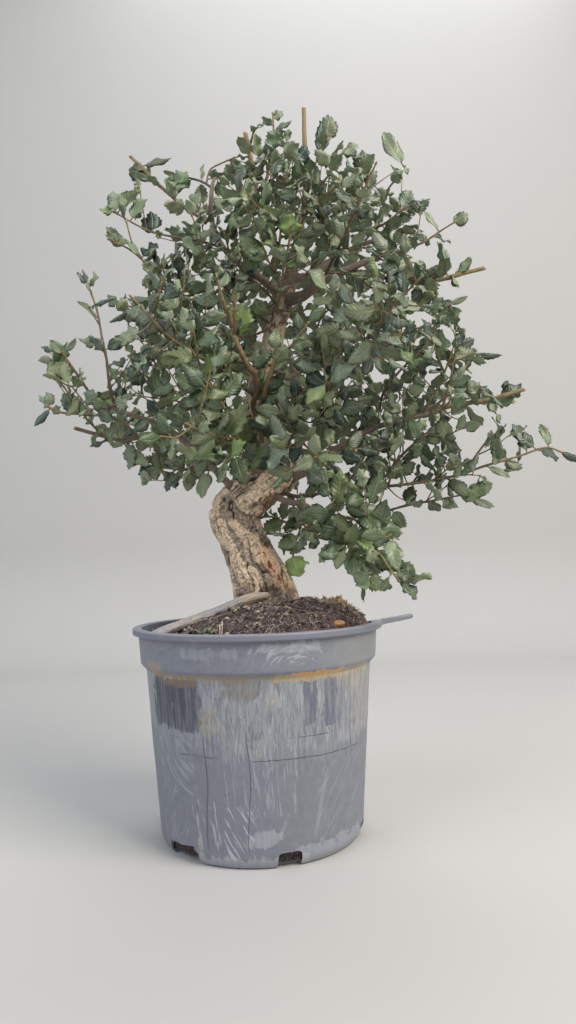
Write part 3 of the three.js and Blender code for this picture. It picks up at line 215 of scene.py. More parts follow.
# Marks on the bark: places and reach.
INNER_STREAK = [(5.5, -20, 221), (9, -20, 215), (12.3, -21, 208), (17, -22, 201), (22, -22, 194)]
FLAT_PLATE = [(12, -19, 224), (19, -17, 216), (25, -17, 207), (29, -15, 198)]
HOLLOW = [(7, -24, 189), (16, -24, 188)]
CROTCH = [(11, -14, 261), (17, -12, 264), (9, -16, 257)]
PALE_RIDGES = [
    [(-33, -6, 252), (-32, -9, 263), (-24, -12, 272), (-14, -11, 280), (-6, -9, 284)],
    [(-4, -18, 262), (6, -19, 266), (14, -18, 271), (20, -16, 280), (22, -12, 292)],
    [(-17, -15, 243), (-9, -18, 234), (-2, -20, 226), (4, -21, 219)],
    [(-28, -10, 244), (-24, -12, 232), (-18, -14, 220), (-13, -16, 208), (-10, -18, 198)],
    [(-3, -22, 205), (0, -23, 197), (2, -24, 188)],
]

LIMBS = [
    {
        "name": "left", "foot": 3.4, "end": 1.6,
        "route": [
            (-10, 3, 265), (-24, -8, 280), (-39, -16, 296), (-54, -22, 310), (-70, -30, 321),
            (-86, -38, 327), (-99, -44, 331), (-114, -48, 337),
        ],
    },
    {
        "name": "right", "foot": 3.5, "end": 1.8,
        "route": [
            (20, -2, 285), (35, -10, 281), (47, -14, 287), (62, -20, 298), (81, -24, 307),
            (99, -27, 316), (121, -30, 321), (141, -32, 325),
        ],
    },
    {
        "name": "low_right", "foot": 2.9, "end": 1.6,
        "route": [
            (6, 1, 273), (25, -14, 261), (39, -22, 257), (48, -28, 250), (58, -34, 246), (68, -38, 245),
        ],
    },
    {
        "name": "middle", "foot": 3.9, "end": 2,
        "route": [
            (7, 12, 364), (27, 2, 350), (51, -4, 356), (81, -10, 369), (99, -14, 377),
        ],
    },
    {
        "name": "inner", "foot": 3.1, "end": 1.9,
        "route": [
            (14, 10, 385), (27, 14, 369), (41, 18, 375), (59, 22, 385),
        ],
    },
    {
        "name": "upper_right", "foot": 5.3, "end": 2.6,
        "route": [
            (30, 6, 434), (44, -4, 433), (59, -12, 441), (80, -18, 448), (100, -22, 455),
        ],
    },
    {
        "name": "back_right", "foot": 3.9, "end": 1.9,
        "route": [
            (35, 6, 455), (47, 14, 456), (68, 22, 472), (89, 28, 486), (111, 32, 496),
        ],
    },
    {
        "name": "crown_left", "foot": 3.8, "end": 1.6,
        "route": [
            (31, 6, 437), (14, 5, 449), (1, 6, 460), (-14, 8, 472), (-28, 10, 493), (-32, 12, 514),
            (-31, 14, 540), (-27, 15, 554),
        ],
    },
    {
        "name": "crown_inner", "foot": 2.3, "end": 1.4,
        "route": [
            (-1, 6, 462), (-5, 0, 477), (-6, -4, 495), (-7, -8, 521), (-9, -8, 535),
        ],
    },
    {
        "name": "crown_mid", "foot": 3.2, "end": 1.5,
        "route": [
            (37, 7, 466), (29, -2, 472), (19, -8, 484), (13, -10, 502), (14, -12, 520), (19, -12, 537),
        ],
    },
    {
        "name": "apex", "foot": 3.6, "end": 2,
        "route": [
            (38, 8, 473), (43, 10, 492), (49, 12, 521), (52, 12, 552), (51, 12, 572), (51, 12, 607),
        ],
    },
]

# Each spray: its shoot's route and radii, the share of it that is bare, the usual length of a leaf and the
# number of twigs. A cut shoot has no leaf at its end. A row of sides gives the share of the main shoot
# where it starts, and its points. A row of leaves gives the shoot, the share along it, the leaf's tip, its
# width as a share of its length and its roll in degrees. Fill holds seeds of extra twigs, and drop the
# numbers of grown leaves that are left out. A spray that gives no radii has the usual ones.
SHOOT_RADII = (1.5, 0.8)
SPRAYS = [
    {
        "name": "left_tip", "bare": 0.25, "leaf": 20, "twigs": 1,
        "route": [(-114, -48, 337), (-121, -52, 344), (-130, -58, 359), (-138, -62, 372)],
        "sides": [(0.42, (-132, -66, 346), (-139, -74, 350))],
        "leaves": [
            (0, 1, -155, -62, 379, 0.35, 40), (0, 1, -128, -62, 384, 0.3, 30),
            (0, 0.85, -151, -64, 356, 0.8, 0),
        ],
        "fill": (35, 220),
        "drop": (1, 6),
    },
    {
        "name": "left_rise", "bare": 0.15, "leaf": 19, "twigs": 1,
        "route": [
            (-103, -45, 332), (-106, -52, 350), (-107, -56, 368), (-109, -60, 382), (-112, -62, 403),
            (-116, -64, 417), (-121, -66, 432),
        ],
        "leaves": [
            (0, 0.91, -126, -65, 434, 0.5, 20), (0, 0.48, -127, -60, 385, 0.42, 20),
            (0, 0.43, -92, -56, 384, 0.5, 10),
        ],
        "fill": (27, 151),
        "drop": (0, 5, 6, 9, 10, 11, 12),
    },
    {
        "name": "left_far", "bare": 0.3, "leaf": 19, "twigs": 1,
        "route": [
            (-106, -46, 334), (-114, -56, 326), (-129, -62, 326), (-138, -68, 326), (-145, -72, 329),
        ],
        "sides": [(0.55, (-130, -64, 335), (-136, -66, 345))],
        "leaves": [(0, 1, -148, -72, 341, 0.7, 0), (0, 0.98, -157, -72, 316, 0.42, 10)],
        "fill": (48, 230, 239),
        "drop": (2, 7),
    },
    {
        "name": "left_stub", "radii": (1.7, 1.5), "bare": 2, "leaf": 20, "twigs": 0,
        "route": [(-62, -26, 315), (-82, -30, 314), (-100, -34, 310), (-117, -36, 314), (-137, -38, 320)],
        "sides": [(0.47, (-96, -30, 301), (-91, -26, 294)), (0.24, (-76, -24, 302), (-74, -20, 288))],
        "leaves": [(1, 0.02, -97, -33, 287, 0.5, 20), (0, 0.62, -128, -33, 307, 0.3, 30)],
        "fill": (77, 211),
        "drop": (0, 2, 3),
    },
    {
        "name": "left_under", "bare": 0.2, "leaf": 21, "twigs": 3,
        "route": [(-31, -12, 288), (-49, 4, 290), (-68, 22, 294), (-91, 36, 299), (-111, 46, 307)],
        "leaves": [
            (0, 0.73, -104, 34, 292, 0.6, 10), (0, 0.52, -78, 24, 275, 0.5, 10),
            (1, 0.07, -57, 8, 273, 0.65, 0), (0, 0.07, -43, -7, 265, 0.5, 180),
        ],
        "fill": (48, 49, 94, 220),
        "drop": (1, 10, 17, 18, 19),
    },
    {
        "name": "left_inner", "bare": 0.1, "leaf": 22, "twigs": 4,
        "route": [
            (-68, -29, 320), (-69, -22, 330), (-74, -12, 350), (-78, -4, 372), (-85, 2, 393),
            (-91, 4, 411),
        ],
        "fill": (30, 49, 79, 81, 84, 102, 226),
        "drop": (1,),
    },
    {
        "name": "left_mid", "bare": 0.3, "leaf": 22, "twigs": 4,
        "route": [
            (22, 8, 413), (0, -8, 399), (-21, -18, 397), (-36, -24, 401), (-52, -28, 409),
            (-70, -32, 411), (-88, -34, 415), (-101, -36, 420),
        ],
        "fill": (177,),
        "drop": (2, 17, 21),
    },
    {
        "name": "left_shelf", "bare": 0.25, "leaf": 22, "twigs": 3,
        "route": [
            (-11, 8, 470), (-37, -4, 441), (-57, -12, 433), (-73, -16, 440), (-81, -20, 451),
            (-87, -22, 463), (-93, -24, 473), (-97, -26, 489),
        ],
        "sides": [(0.78, (-97, -28, 468), (-109, -34, 472))],
        "leaves": [(0, 0.87, -116, -24, 483, 0.42, 10), (1, 0.02, -74, -22, 475, 0.8, 0)],
        "fill": (66, 68, 132, 247),
        "drop": (1, 2, 11, 13, 17, 18, 19, 21, 22, 23, 24),
    },
    {
        "name": "left_high", "bare": 0.2, "leaf": 19, "twigs": 2,
        "route": [
            (-17, 8, 476), (-27, 4, 482), (-43, 0, 485), (-61, -4, 487), (-79, -8, 490),
            (-93, -10, 496), (-110, -12, 506),
        ],
        "leaves": [
            (0, 0.99, -112, -12, 525, 0.8, 0), (0, 0.98, -90, -12, 526, 0.45, 0),
            (0, 0.86, -82, -11, 516, 0.55, 180), (0, 0.66, -81, -8, 509, 0.75, 0),
        ],
        "fill": (48, 105, 196),
        "drop": (2, 3, 5, 6, 10, 14),
    },
    {
        "name": "left_cut", "radii": (1.6, 1.5), "bare": 0.2, "leaf": 19, "twigs": 1, "cut": True,
        "route": [
            (-31, 11, 507), (-45, 15, 515), (-57, 18, 525), (-73, 22, 542), (-83, 24, 552),
            (-94, 26, 566), (-105, 28, 578),
        ],
        "leaves": [
            (0, 0.69, -106, 24, 565, 0.75, 0), (0, 0.86, -68, 26, 575, 0.26, 20),
            (0, 0.49, -53, 21, 558, 0.65, 180), (0, 0.22, -39, 2, 529, 0.85, 180),
        ],
        "fill": (145,),
        "drop": (1, 2, 5, 9, 10, 11),
    },
    {
        "name": "left_pale", "bare": 0.35, "leaf": 22, "twigs": 2,
        "route": [
            (21, 8, 411), (0, -10, 421), (-20, -24, 435), (-32, -32, 454), (-36, -36, 470),
            (-42, -40, 486),
        ],
        "fill": (147, 192),
    },
    {
        "name": "left_top", "bare": 0.15, "leaf": 20, "twigs": 1,
        "route": [(-31, 14, 539), (-40, 20, 548), (-51, 24, 554), (-64, 26, 559)],
        "sides": [(0.21, (-33, 22, 560), (-22, 20, 565), (-8, 16, 568))],
        "fill": (18,),
        "drop": (6, 8, 9, 10, 11),
    },
    {
        "name": "top_tip", "radii": (1.3, 0.8), "bare": 0.05, "leaf": 15, "twigs": 2,
        "route": [(18, -12, 535), (21, -14, 551), (24, -15, 568), (24, -16, 584)],
        "leaves": [
            (0, 0.92, 32, -16, 588, 0.7, 0), (0, 0.9, 14, -16, 583, 0.4, 20),
            (0, 0.73, 40, -15, 580, 0.3, 20), (0, 0.4, 26, -20, 569, 0.9, 180),
        ],
        "fill": (144,),
        "drop": (8, 9, 10),
    },
    {
        "name": "top_stub", "radii": (2, 1.9), "bare": 0.3, "leaf": 20, "twigs": 2, "cut": True,
        "route": [(13, -10, 502), (9, -20, 517), (5, -22, 542), (1, -22, 565)],
        "leaves": [(0, 0.59, -8, -24, 524, 0.6, 0), (0, 0.34, 2, -27, 535, 0.6, 0)],
        "fill": (54, 65),
        "drop": (8, 9, 10),
    },
    {
        "name": "top_fan", "bare": 0.2, "leaf": 21, "twigs": 2,
        "route": [(48, 12, 516), (58, -6, 522), (70, -12, 534), (80, -14, 549), (86, -14, 556)],
        "sides": [(0.35, (57, -10, 537), (63, -12, 554), (70, -14, 565))],
        "leaves": [
            (1, 0.58, 71, -11, 588, 0.4, 10), (1, 0.95, 73, -14, 584, 0.8, 0),
            (0, 0.86, 94, -14, 559, 0.9, 0),
        ],
        "drop": (0, 11, 13, 14, 15, 16),
    },
    {
        "name": "top_dark", "bare": 0.25, "leaf": 21, "twigs": 2,
        "route": [(84, 27, 483), (86, 24, 507), (93, 18, 530), (98, 14, 544), (100, 12, 554)],
        "leaves": [(0, 0.95, 101, 13, 570, 0.85, 0), (0, 0.84, 114, 14, 551, 0.7, 0)],
        "fill": (136,),
        "drop": (9,),
    },
    {
        "name": "top_olive", "bare": 0.25, "leaf": 22, "twigs": 2, "cut": True,
        "route": [(45, 11, 501), (49, -12, 499), (55, -22, 501), (66, -30, 507), (82, -36, 517)],
        "fill": (211, 228),
    },
    {
        "name": "high_pointed", "bare": 0.2, "leaf": 22, "twigs": 1,
        "route": [(111, 32, 496), (117, 26, 516), (123, 22, 536), (132, 22, 547), (139, 22, 557)],
        "leaves": [(0, 1, 122, 22, 592, 0.42, 0), (0, 0.85, 127, 22, 561, 0.3, 20)],
        "fill": (136,),
        "drop": (0, 3, 6, 7, 8),
    },
    {
        "name": "front_shoot", "radii": (1.7, 1.1), "bare": 0.45, "leaf": 26, "twigs": 1,
        "route": [
            (26, 7, 424), (23, -18, 418), (27, -40, 426), (29, -50, 438), (33, -56, 451),
            (35, -58, 461),
        ],
        "sides": [(0.51, (22, -44, 441), (26, -48, 457), (28, -50, 470))],
        "leaves": [
            (0, 0.97, 36, -62, 475, 1.1, 180), (1, 1, 15, -52, 489, 0.7, 0),
            (1, 0.73, 8, -50, 479, 0.5, 0), (0, 0.87, 56, -58, 459, 0.45, 10),
        ],
        "fill": (42, 72, 125, 139),
    },
    {
        "name": "right_thin", "bare": 0.3, "leaf": 22, "twigs": 2,
        "route": [(48, 14, 457), (57, -2, 463), (69, -8, 476), (78, -12, 486), (87, -14, 498)],
        "fill": (14, 201),
    },
    {
        "name": "right_arrow", "bare": 0.2, "leaf": 20, "twigs": 3,
        "route": [
            (100, -22, 455), (114, -26, 457), (128, -28, 460), (143, -30, 465), (155, -32, 472),
            (166, -34, 478),
        ],
        "sides": [(0.09, (110, -38, 446), (118, -44, 440), (128, -46, 441))],
        "leaves": [
            (0, 0.99, 178, -34, 486, 0.85, 0), (0, 0.82, 144, -32, 490, 0.28, 20),
            (0, 0.64, 135, -30, 471, 0.6, 0),
        ],
        "drop": (1, 10, 11, 13, 14, 17, 18, 19, 20),
    },
    {
        "name": "right_cut", "radii": (1.9, 1.8), "bare": 0.15, "leaf": 21, "twigs": 3, "cut": True,
        "route": [
            (109, 32, 495), (128, 26, 467), (144, 20, 454), (161, 16, 451), (185, 14, 456),
            (203, 14, 460),
        ],
        "leaves": [(0, 0.72, 165, 17, 488, 0.24, 20), (3, 0.01, 193, 17, 467, 0.3, 20)],
        "fill": (11, 192),
        "drop": (2, 8, 15, 18, 19, 20, 21),
    },
    {
        "name": "right_crest", "bare": 0.15, "leaf": 21, "twigs": 3,
        "route": [(100, 30, 491), (109, 16, 498), (121, 10, 502), (132, 6, 510), (144, 4, 515)],
        "leaves": [(0, 0.78, 141, 6, 528, 0.65, 0), (0, 0.83, 157, 5, 520, 0.5, 0)],
        "fill": (31, 48, 123),
        "drop": (0, 11, 14, 15),
    },
    {
        "name": "right_fan", "bare": 0.2, "leaf": 22, "twigs": 4,
        "route": [
            (85, -19, 450), (98, -4, 442), (119, 6, 434), (141, 12, 430), (160, 16, 427),
            (178, 18, 432),
        ],
        "leaves": [(0, 0.88, 174, 17, 434, 0.9, 0), (0, 0.93, 189, 17, 437, 0.28, 20)],
        "fill": (52, 92),
        "drop": (0, 4, 19),
    },
    {
        "name": "middle_tip", "bare": 0.1, "leaf": 22, "twigs": 3,
        "route": [(99, -14, 377), (115, -20, 387), (129, -24, 394), (145, -26, 398)],
        "drop": (12,),
    },
    {
        "name": "middle_rise", "bare": 0.25, "leaf": 22, "twigs": 2,
        "route": [(101, -27, 317), (106, -18, 343), (120, -20, 362), (135, -24, 375), (143, -26, 384)],
        "fill": (35, 72, 112, 226, 236, 239),
        "drop": (10, 11),
    },
    {
        "name": "olive_rise", "bare": 0.3, "leaf": 23, "twigs": 1,
        "route": [(136, -31, 324), (140, -40, 334), (145, -44, 341), (153, -50, 360), (157, -52, 371)],
        "sides": [(0.78, (163, -54, 362), (171, -56, 366))],
        "leaves": [
            (0, 0.87, 175, -53, 368, 0.6, 0), (1, 0.87, 193, -57, 363, 0.2, 20),
            (0, 0.93, 132, -53, 386, 0.26, 20),
        ],
        "fill": (211,),
        "drop": (4,),
    },
    {
        "name": "right_rise", "bare": 0.25, "leaf": 21, "twigs": 2,
        "route": [(132, -31, 323), (150, -22, 335), (165, -20, 347), (175, -16, 366), (184, -14, 378)],
        "fill": (72, 81, 201),
        "drop": (0, 2, 12, 13, 14, 15),
    },
    {
        "name": "right_end", "radii": (1.9, 1.6), "bare": 0.25, "leaf": 22, "twigs": 2, "cut": True,
        "route": [
            (141, -32, 325), (156, -36, 329), (171, -38, 331), (184, -40, 332), (197, -42, 335),
            (212, -44, 339),
        ],
        "leaves": [
            (0, 0.74, 211, -42, 345, 0.65, 0), (0, 0.51, 170, -39, 354, 0.5, 10),
            (0, 0.6, 191, -40, 323, 0.8, 0),
        ],
        "fill": (21, 124, 135),
        "drop": (1, 6, 7, 8, 10, 11, 12),
    },
    {
        "name": "long_shoot", "radii": (2, 0.9), "bare": 0.2, "leaf": 21, "twigs": 5,
        "route": [
            (9, 0, 275), (35, -12, 264), (60, -16, 267), (86, -20, 269), (108, -24, 269),
            (141, -28, 272), (163, -31, 276), (183, -34, 282), (207, -36, 288), (228, -38, 294),
            (240, -39, 290),
        ],
        "sides": [
            (0.43, (115, -20, 289), (134, -16, 307), (152, -14, 320)),
            (0.68, (175, -34, 290), (185, -36, 302), (195, -38, 308)),
        ],
        "leaves": [
            (0, 0.92, 204, -37, 314, 0.45, 0), (0, 0.96, 225, -38, 313, 0.42, 10),
            (0, 0.99, 258, -39, 283, 0.26, 20), (0, 0.81, 211, -35, 279, 0.55, 0),
            (0, 0.75, 201, -34, 272, 0.28, 20), (0, 0.79, 188, -35, 310, 0.42, 10),
            (0, 0.62, 170, -30, 259, 0.55, 0), (0, 0.67, 155, -31, 294, 0.45, 10),
        ],
        "fill": (6, 8, 111, 121, 124, 125, 174, 178, 187, 208, 247),
        "drop": (0, 1, 4, 7, 15, 28, 31, 39, 44, 47, 50),
    },
    {
        "name": "low_shoot", "bare": 0.3, "leaf": 20, "twigs": 2,
        "route": [
            (50, -29, 249), (73, -14, 245), (92, -10, 248), (106, -12, 250), (123, -14, 254),
            (149, -16, 258), (173, -18, 262),
        ],
        "leaves": [
            (2, 0, 150, -15, 249, 0.7, 0), (0, 0.83, 161, -16, 251, 0.85, 0),
            (0, 0.61, 128, -14, 270, 0.6, 0), (0, 0.98, 193, -18, 251, 0.3, 10),
            (0, 0.96, 192, -18, 270, 0.5, 0),
        ],
        "fill": (4, 8),
        "drop": (4, 8, 10, 11, 13),
    },
    {
        "name": "hanging", "bare": 0.15, "leaf": 26, "twigs": 2,
        "route": [(68, -38, 245), (78, -52, 241), (86, -64, 227), (95, -70, 211), (105, -70, 196)],
        "sides": [
            (0.36, (93, -70, 231), (104, -76, 226)),
            (0.17, (72, -40, 231), (76, -44, 218), (82, -46, 207), (85, -46, 198)),
        ],
        "leaves": [
            (1, 0.58, 80, -76, 253, 0.72, 0), (0, 0.62, 103, -73, 206, 0.85, 10),
            (0, 0.93, 116, -70, 199, 0.8, 0), (0, 1, 114, -70, 184, 0.22, 30),
            (0, 0.37, 58, -63, 228, 0.6, 0), (3, 0.67, 108, -73, 233, 0.6, 10),
            (2, 0.99, 98, -48, 190, 0.85, 0), (2, 1, 82, -46, 179, 0.2, 20),
            (2, 0.56, 75, -48, 199, 0.85, 180), (2, 0.25, 51, -40, 240, 0.8, 10),
            (2, 0.35, 52, -40, 215, 0.5, 0),
        ],
        "fill": (66, 112, 121, 178, 226, 249),
        "drop": (7,),
    },
    {
        "name": "under_trunk", "bare": 0.15, "leaf": 22, "twigs": 1,
        "route": [(36, -20, 258), (37, -8, 248), (36, -2, 236), (31, -2, 224), (30, -2, 216)],
        "sides": [(0.52, (24, 4, 245), (14, 6, 249)), (0.38, (49, -2, 232), (61, 4, 229))],
        "leaves": [
            (0, 0.63, 18, -6, 224, 0.7, 0), (0, 0.95, 35, -4, 199, 1, 180),
            (1, 0.55, 6, 4, 238, 0.7, 10), (2, 0.69, 43, -1, 222, 0.7, 10),
        ],
        "fill": (2, 84, 100, 124, 187, 236),
        "drop": (1, 10),
    },
    {
        "name": "heart_left", "bare": 0.25, "leaf": 22, "twigs": 5,
        "route": [(26, 7, 426), (14, -16, 433), (-2, -28, 444), (-13, -33, 459), (-17, -37, 474)],
        "fill": (82, 131, 158, 208),
    },
    {
        "name": "heart_top", "bare": 0.15, "leaf": 21, "twigs": 4,
        "route": [(19, -8, 484), (29, -24, 488), (35, -32, 502), (34, -34, 521)],
        "sides": [(0.29, (18, -50, 480), (10, -76, 475), (5, -92, 476))],
        "fill": (58, 145, 169, 219, 232, 258),
    },
    {
        "name": "heart_low", "bare": 0.25, "leaf": 22, "twigs": 5,
        "route": [(5, 9, 333), (-13, -14, 335), (-30, -30, 339), (-46, -42, 336), (-59, -50, 337)],
        "fill": (22, 188),
    },
    {
        "name": "collar_left", "bare": 0.25, "leaf": 22, "twigs": 4,
        "route": [(15, -1, 280), (-2, 12, 292), (-22, 22, 302), (-43, 34, 312), (-64, 46, 316)],
        "fill": (106, 169),
    },
    {
        "name": "collar_right", "bare": 0.2, "leaf": 21, "twigs": 4,
        "route": [(21, -1, 292), (42, 6, 303), (63, 12, 314), (84, 18, 321), (100, 22, 321)],
        "fill": (154, 158, 219),
    },
    {
        "name": "front_stub", "radii": (2.4, 2.1), "bare": 0.4, "leaf": 22, "twigs": 3, "cut": True,
        "route": [
            (9, 7, 325), (5, -22, 325), (2, -34, 335), (6, -40, 345), (5, -44, 355), (-1, -48, 364),
            (-8, -52, 378), (-11, -54, 388), (-14, -56, 406),
        ],
        "sides": [
            (0.25, (9, -40, 334), (13, -52, 345), (19, -60, 358), (22, -64, 368)),
            (0.23, (8, -34, 309), (7, -40, 297)),
        ],
        "leaves": [
            (0, 0.81, -2, -57, 409, 0.75, 0), (0, 0.61, 18, -51, 374, 0.6, 0),
            (3, 0.05, 33, -50, 338, 0.5, 0), (0, 0.05, -3, -8, 294, 0.7, 0),
            (1, 0.43, 28, -50, 356, 0.5, 0),
        ],
        "fill": (140, 167, 188),
        "drop": (5, 11, 25),
    },
    {
        "name": "front_olive", "radii": (1.9, 1), "bare": 0.3, "leaf": 26, "twigs": 2,
        "route": [
            (20, -2, 285), (4, -20, 285), (-4, -32, 289), (-8, -44, 301), (-14, -54, 320),
            (-23, -62, 336), (-31, -68, 349), (-36, -74, 361), (-41, -78, 369),
        ],
        "sides": [(0.45, (-21, -66, 305), (-34, -82, 307), (-42, -90, 310))],
        "leaves": [
            (0, 0.61, -47, -71, 312, 0.35, 0), (0, 0.53, -44, -64, 302, 0.5, 10),
            (0, 0.75, -47, -74, 327, 0.55, 0), (0, 0.95, -49, -79, 365, 0.5, 10),
            (0, 0.98, -23, -81, 373, 0.4, 20),
        ],
        "fill": (61, 66, 105, 176, 188, 233, 237),
        "drop": (20,),
    },
    {
        "name": "front_right", "radii": (1.9, 1), "bare": 0.3, "leaf": 23, "twigs": 4,
        "route": [
            (22, -1, 296), (32, -26, 311), (44, -36, 323), (53, -44, 331), (62, -50, 340),
            (68, -54, 351),
        ],
        "sides": [(0.4, (41, -50, 300), (48, -60, 292), (55, -64, 283))],
        "leaves": [(1, 0.75, 46, -59, 285, 0.6, 0), (1, 1, 61, -64, 265, 0.6, 0)],
        "fill": (8, 125, 137, 145, 149, 158, 168, 189, 192, 220, 253),
        "drop": (20,),
    },
    {
        "name": "inner_tip", "bare": 0.2, "leaf": 21, "twigs": 4,
        "route": [(59, 22, 385), (83, 40, 408), (107, 55, 429), (129, 64, 441)],
        "sides": [
            (0.15, (59, 18, 399), (56, 10, 408), (62, 6, 420), (74, 4, 429), (87, 4, 438), (102, 4, 445)),
        ],
        "fill": (60, 145),
    },
    {
        "name": "back_low_left", "radii": (2.2, 0.9), "bare": 0.35, "leaf": 21, "twigs": 5,
        "route": [(7, 12, 364), (-10, 50, 345), (-50, 92, 335), (-95, 118, 340), (-135, 125, 352)],
        "fill": (155, 197),
    },
    {
        "name": "back_left", "radii": (2.2, 0.9), "bare": 0.35, "leaf": 21, "twigs": 5,
        "route": [(14, 10, 385), (-6, 50, 400), (-40, 90, 420), (-80, 112, 440), (-112, 112, 462)],
        "sides": [(0.36, (-36, 110, 416), (-58, 148, 430))],
        "drop": (4,),
        "fill": (3, 8, 233),
    },
    {
        "name": "back_high_left", "radii": (2, 0.9), "bare": 0.3, "leaf": 21, "twigs": 5,
        "route": [(30, 6, 434), (10, 50, 462), (-14, 92, 492), (-42, 110, 522)],
        "fill": (18, 187, 209, 233),
    },
    {
        "name": "back_top", "radii": (1.7, 0.9), "bare": 0.2, "leaf": 21, "twigs": 4,
        "route": [(47, 11, 510), (50, 50, 530), (44, 88, 548), (40, 104, 566)],
        "fill": (145, 161),
        "drop": (16,),
    },
    {
        "name": "back_crown", "radii": (2.2, 0.9), "bare": 0.3, "leaf": 21, "twigs": 5,
        "route": [(35, 6, 455), (50, 55, 475), (66, 100, 498), (84, 128, 515)],
        "sides": [(0.61, (96, 100, 502), (130, 98, 514), (156, 92, 528))],
        "fill": (59, 250),
    },
    {
        "name": "back_right_shoot", "radii": (2, 0.9), "bare": 0.25, "leaf": 21, "twigs": 5,
        "route": [(52, 20, 381), (88, 60, 392), (128, 92, 412), (165, 108, 432)],
        "fill": (105,),
        "drop": (20, 21, 22),
    },
    {
        "name": "back_low_right", "radii": (2.3, 0.9), "bare": 0.35, "leaf": 21, "twigs": 5,
        "route": [(12, 6, 318), (40, 45, 322), (85, 80, 330), (132, 98, 342), (176, 100, 352)],
        "fill": (58,),
        "drop": (26,),
    },
    {
        "name": "back_middle", "radii": (2.2, 0.9), "bare": 0.3, "leaf": 21, "twigs": 5,
        "route": [(15, 10, 388), (22, 55, 398), (32, 104, 408), (44, 148, 420)],
        "sides": [(0.37, (22, 96, 372), (26, 126, 350), (28, 142, 332))],
        "fill": (6, 81),
    },
    {
        "name": "fore_left", "radii": (1.9, 0.9), "bare": 0.4, "leaf": 22, "twigs": 4,
        "route": [(5, 11, 350), (-22, -48, 360), (-52, -90, 372), (-74, -118, 392)],
        "fill": (7, 13, 55, 145, 177),
        "drop": (0,),
    },
    {
        "name": "fore_right", "radii": (1.8, 0.9), "bare": 0.25, "leaf": 22, "twigs": 4,
        "route": [(60, -6, 360), (84, -56, 372), (104, -92, 388), (122, -112, 402)],
        "fill": (8, 14, 38, 59, 107, 112, 125, 157, 203, 240, 253),
        "drop": (21,),
    },
    {
        "name": "fore_high", "radii": (1.7, 0.9), "bare": 0.25, "leaf": 22, "twigs": 4,
        "route": [(60, -12, 441), (74, -50, 456), (86, -84, 474), (96, -100, 490)],
        "fill": (6, 8, 45, 65, 66),
        "drop": (0, 1, 21, 22),
    },
]

# Growth: the middle that leaves face away from, the turn from leaf to leaf and the usual distances.
CROWN_CENTRE = np.array([40.0, 0.0, 390.0])
LEAF_TURN = 2.4
LEAF_SPACING = 9
TWIG_LENGTH = 32
LONGEST_BLADE = 34
TWIG_BARE = 0.2
TWIG_SPACING = 0.85 * LEAF_SPACING
TWIG_LEAF = 0.95
# Shares of a spray's radii that its shoots and twigs have where they start and end.
MAIN_FOOT = 0.85
SHOOT_END = 0.75
TWIG_FOOT = 0.7
TWIG_END = 0.42
# The share of a leaf that is stalk.
STALK = 0.13
# Leaves of a lighter, younger green: the spray, and its row among its listed leaves.
YOUNG_LEAVES = {("under_trunk", 1), ("front_stub", 0), ("front_olive", 3), ("front_shoot", 1)}
BRIGHT_SPRAYS = {"front_shoot", "front_stub", "front_olive", "hanging", "under_trunk"}
OLIVE_WOOD = {"front_olive", "olive_rise", "right_end", "top_olive", "right_cut", "hanging"}
TAN_WOOD = {"front_stub", "top_stub", "front_shoot", "left_cut"}
DARK_WOOD = {"left_stub", "low_shoot", "back_middle", "back_low_right"}

# Floor and wall, in millimetres: how far they reach, the sweep between them and the gap under the pot.
FLOOR_FRONT = -1400
FLOOR_BACK = 900
FLOOR_SIDE = 3600
FLOOR_GAP = 0.4
SWEEP = 260
WALL_TOP = 3200
# Lights: name, place in metres, size, share of the main light's power and colour.
LIGHTS = [
    ("key", (1.2, -0.9, 1.4), 1.1, 1.0, (255, 249, 240)),
    ("fill", (-1.3, -0.9, 1.1), 1.4, 0.38, (238, 244, 255)),
    ("rim", (0.2, 1.0, 1.9), 1.2, 0.45, (246, 249, 255)),
]
LIGHTS_AIM = (0.02, 0.0, 0.26)
# Camera: millimetres for the lens, metres for places, radians for the tilt and the roll.
SENSOR_WIDTH = 36
LENS = 24.96
NEAREST_SEEN = 0.02
CAMERA_TILT = 0.071
CAMERA_ROLL = -0.029
CAMERA_PLACE = (0.02702, -0.58413, 0.21095)


# Numbers and noise


def srgb(red, green, blue):
    """A colour given as 0 to 255 the way screens show it, as the linear colour that shaders use."""
    values = [channel / 255 for channel in (red, green, blue)]
    linear = [v / 12.92 if v <= 0.04045 else ((v + 0.055) / 1.055) ** 2.4 for v in values]
    return tuple(linear)


def seeded(seed):
    """A draw that gives the same numbers each time, as the part's own source does."""
    state = [seed * 7919 + 17]

    def draw():
        state[0] = (state[0] * 48271) % 2147483647
        return state[0] / 2147483647

    draw()
    draw()
    return draw


def ramp(values, low, high):
    """0 below low, 1 above high and a smooth rise between them."""
    share = np.clip((values - low) / (high - low), 0, 1)
    return share * share * (3 - 2 * share)


def hashed(lattice, seed):
    """A number from 0 to 1 for each whole-number place."""
    x, y, z = (lattice[..., axis].astype(np.int64) for axis in range(3))
    mixed = (x * 73856093) ^ (y * 19349663) ^ (z * 83492791) ^ (seed * 26544357)
    mixed = (mixed ^ (mixed >> 13)) * 1274126177
    mixed = (mixed ^ (mixed >> 16)) & 0xFFFFFF
    return mixed / 0xFFFFFF


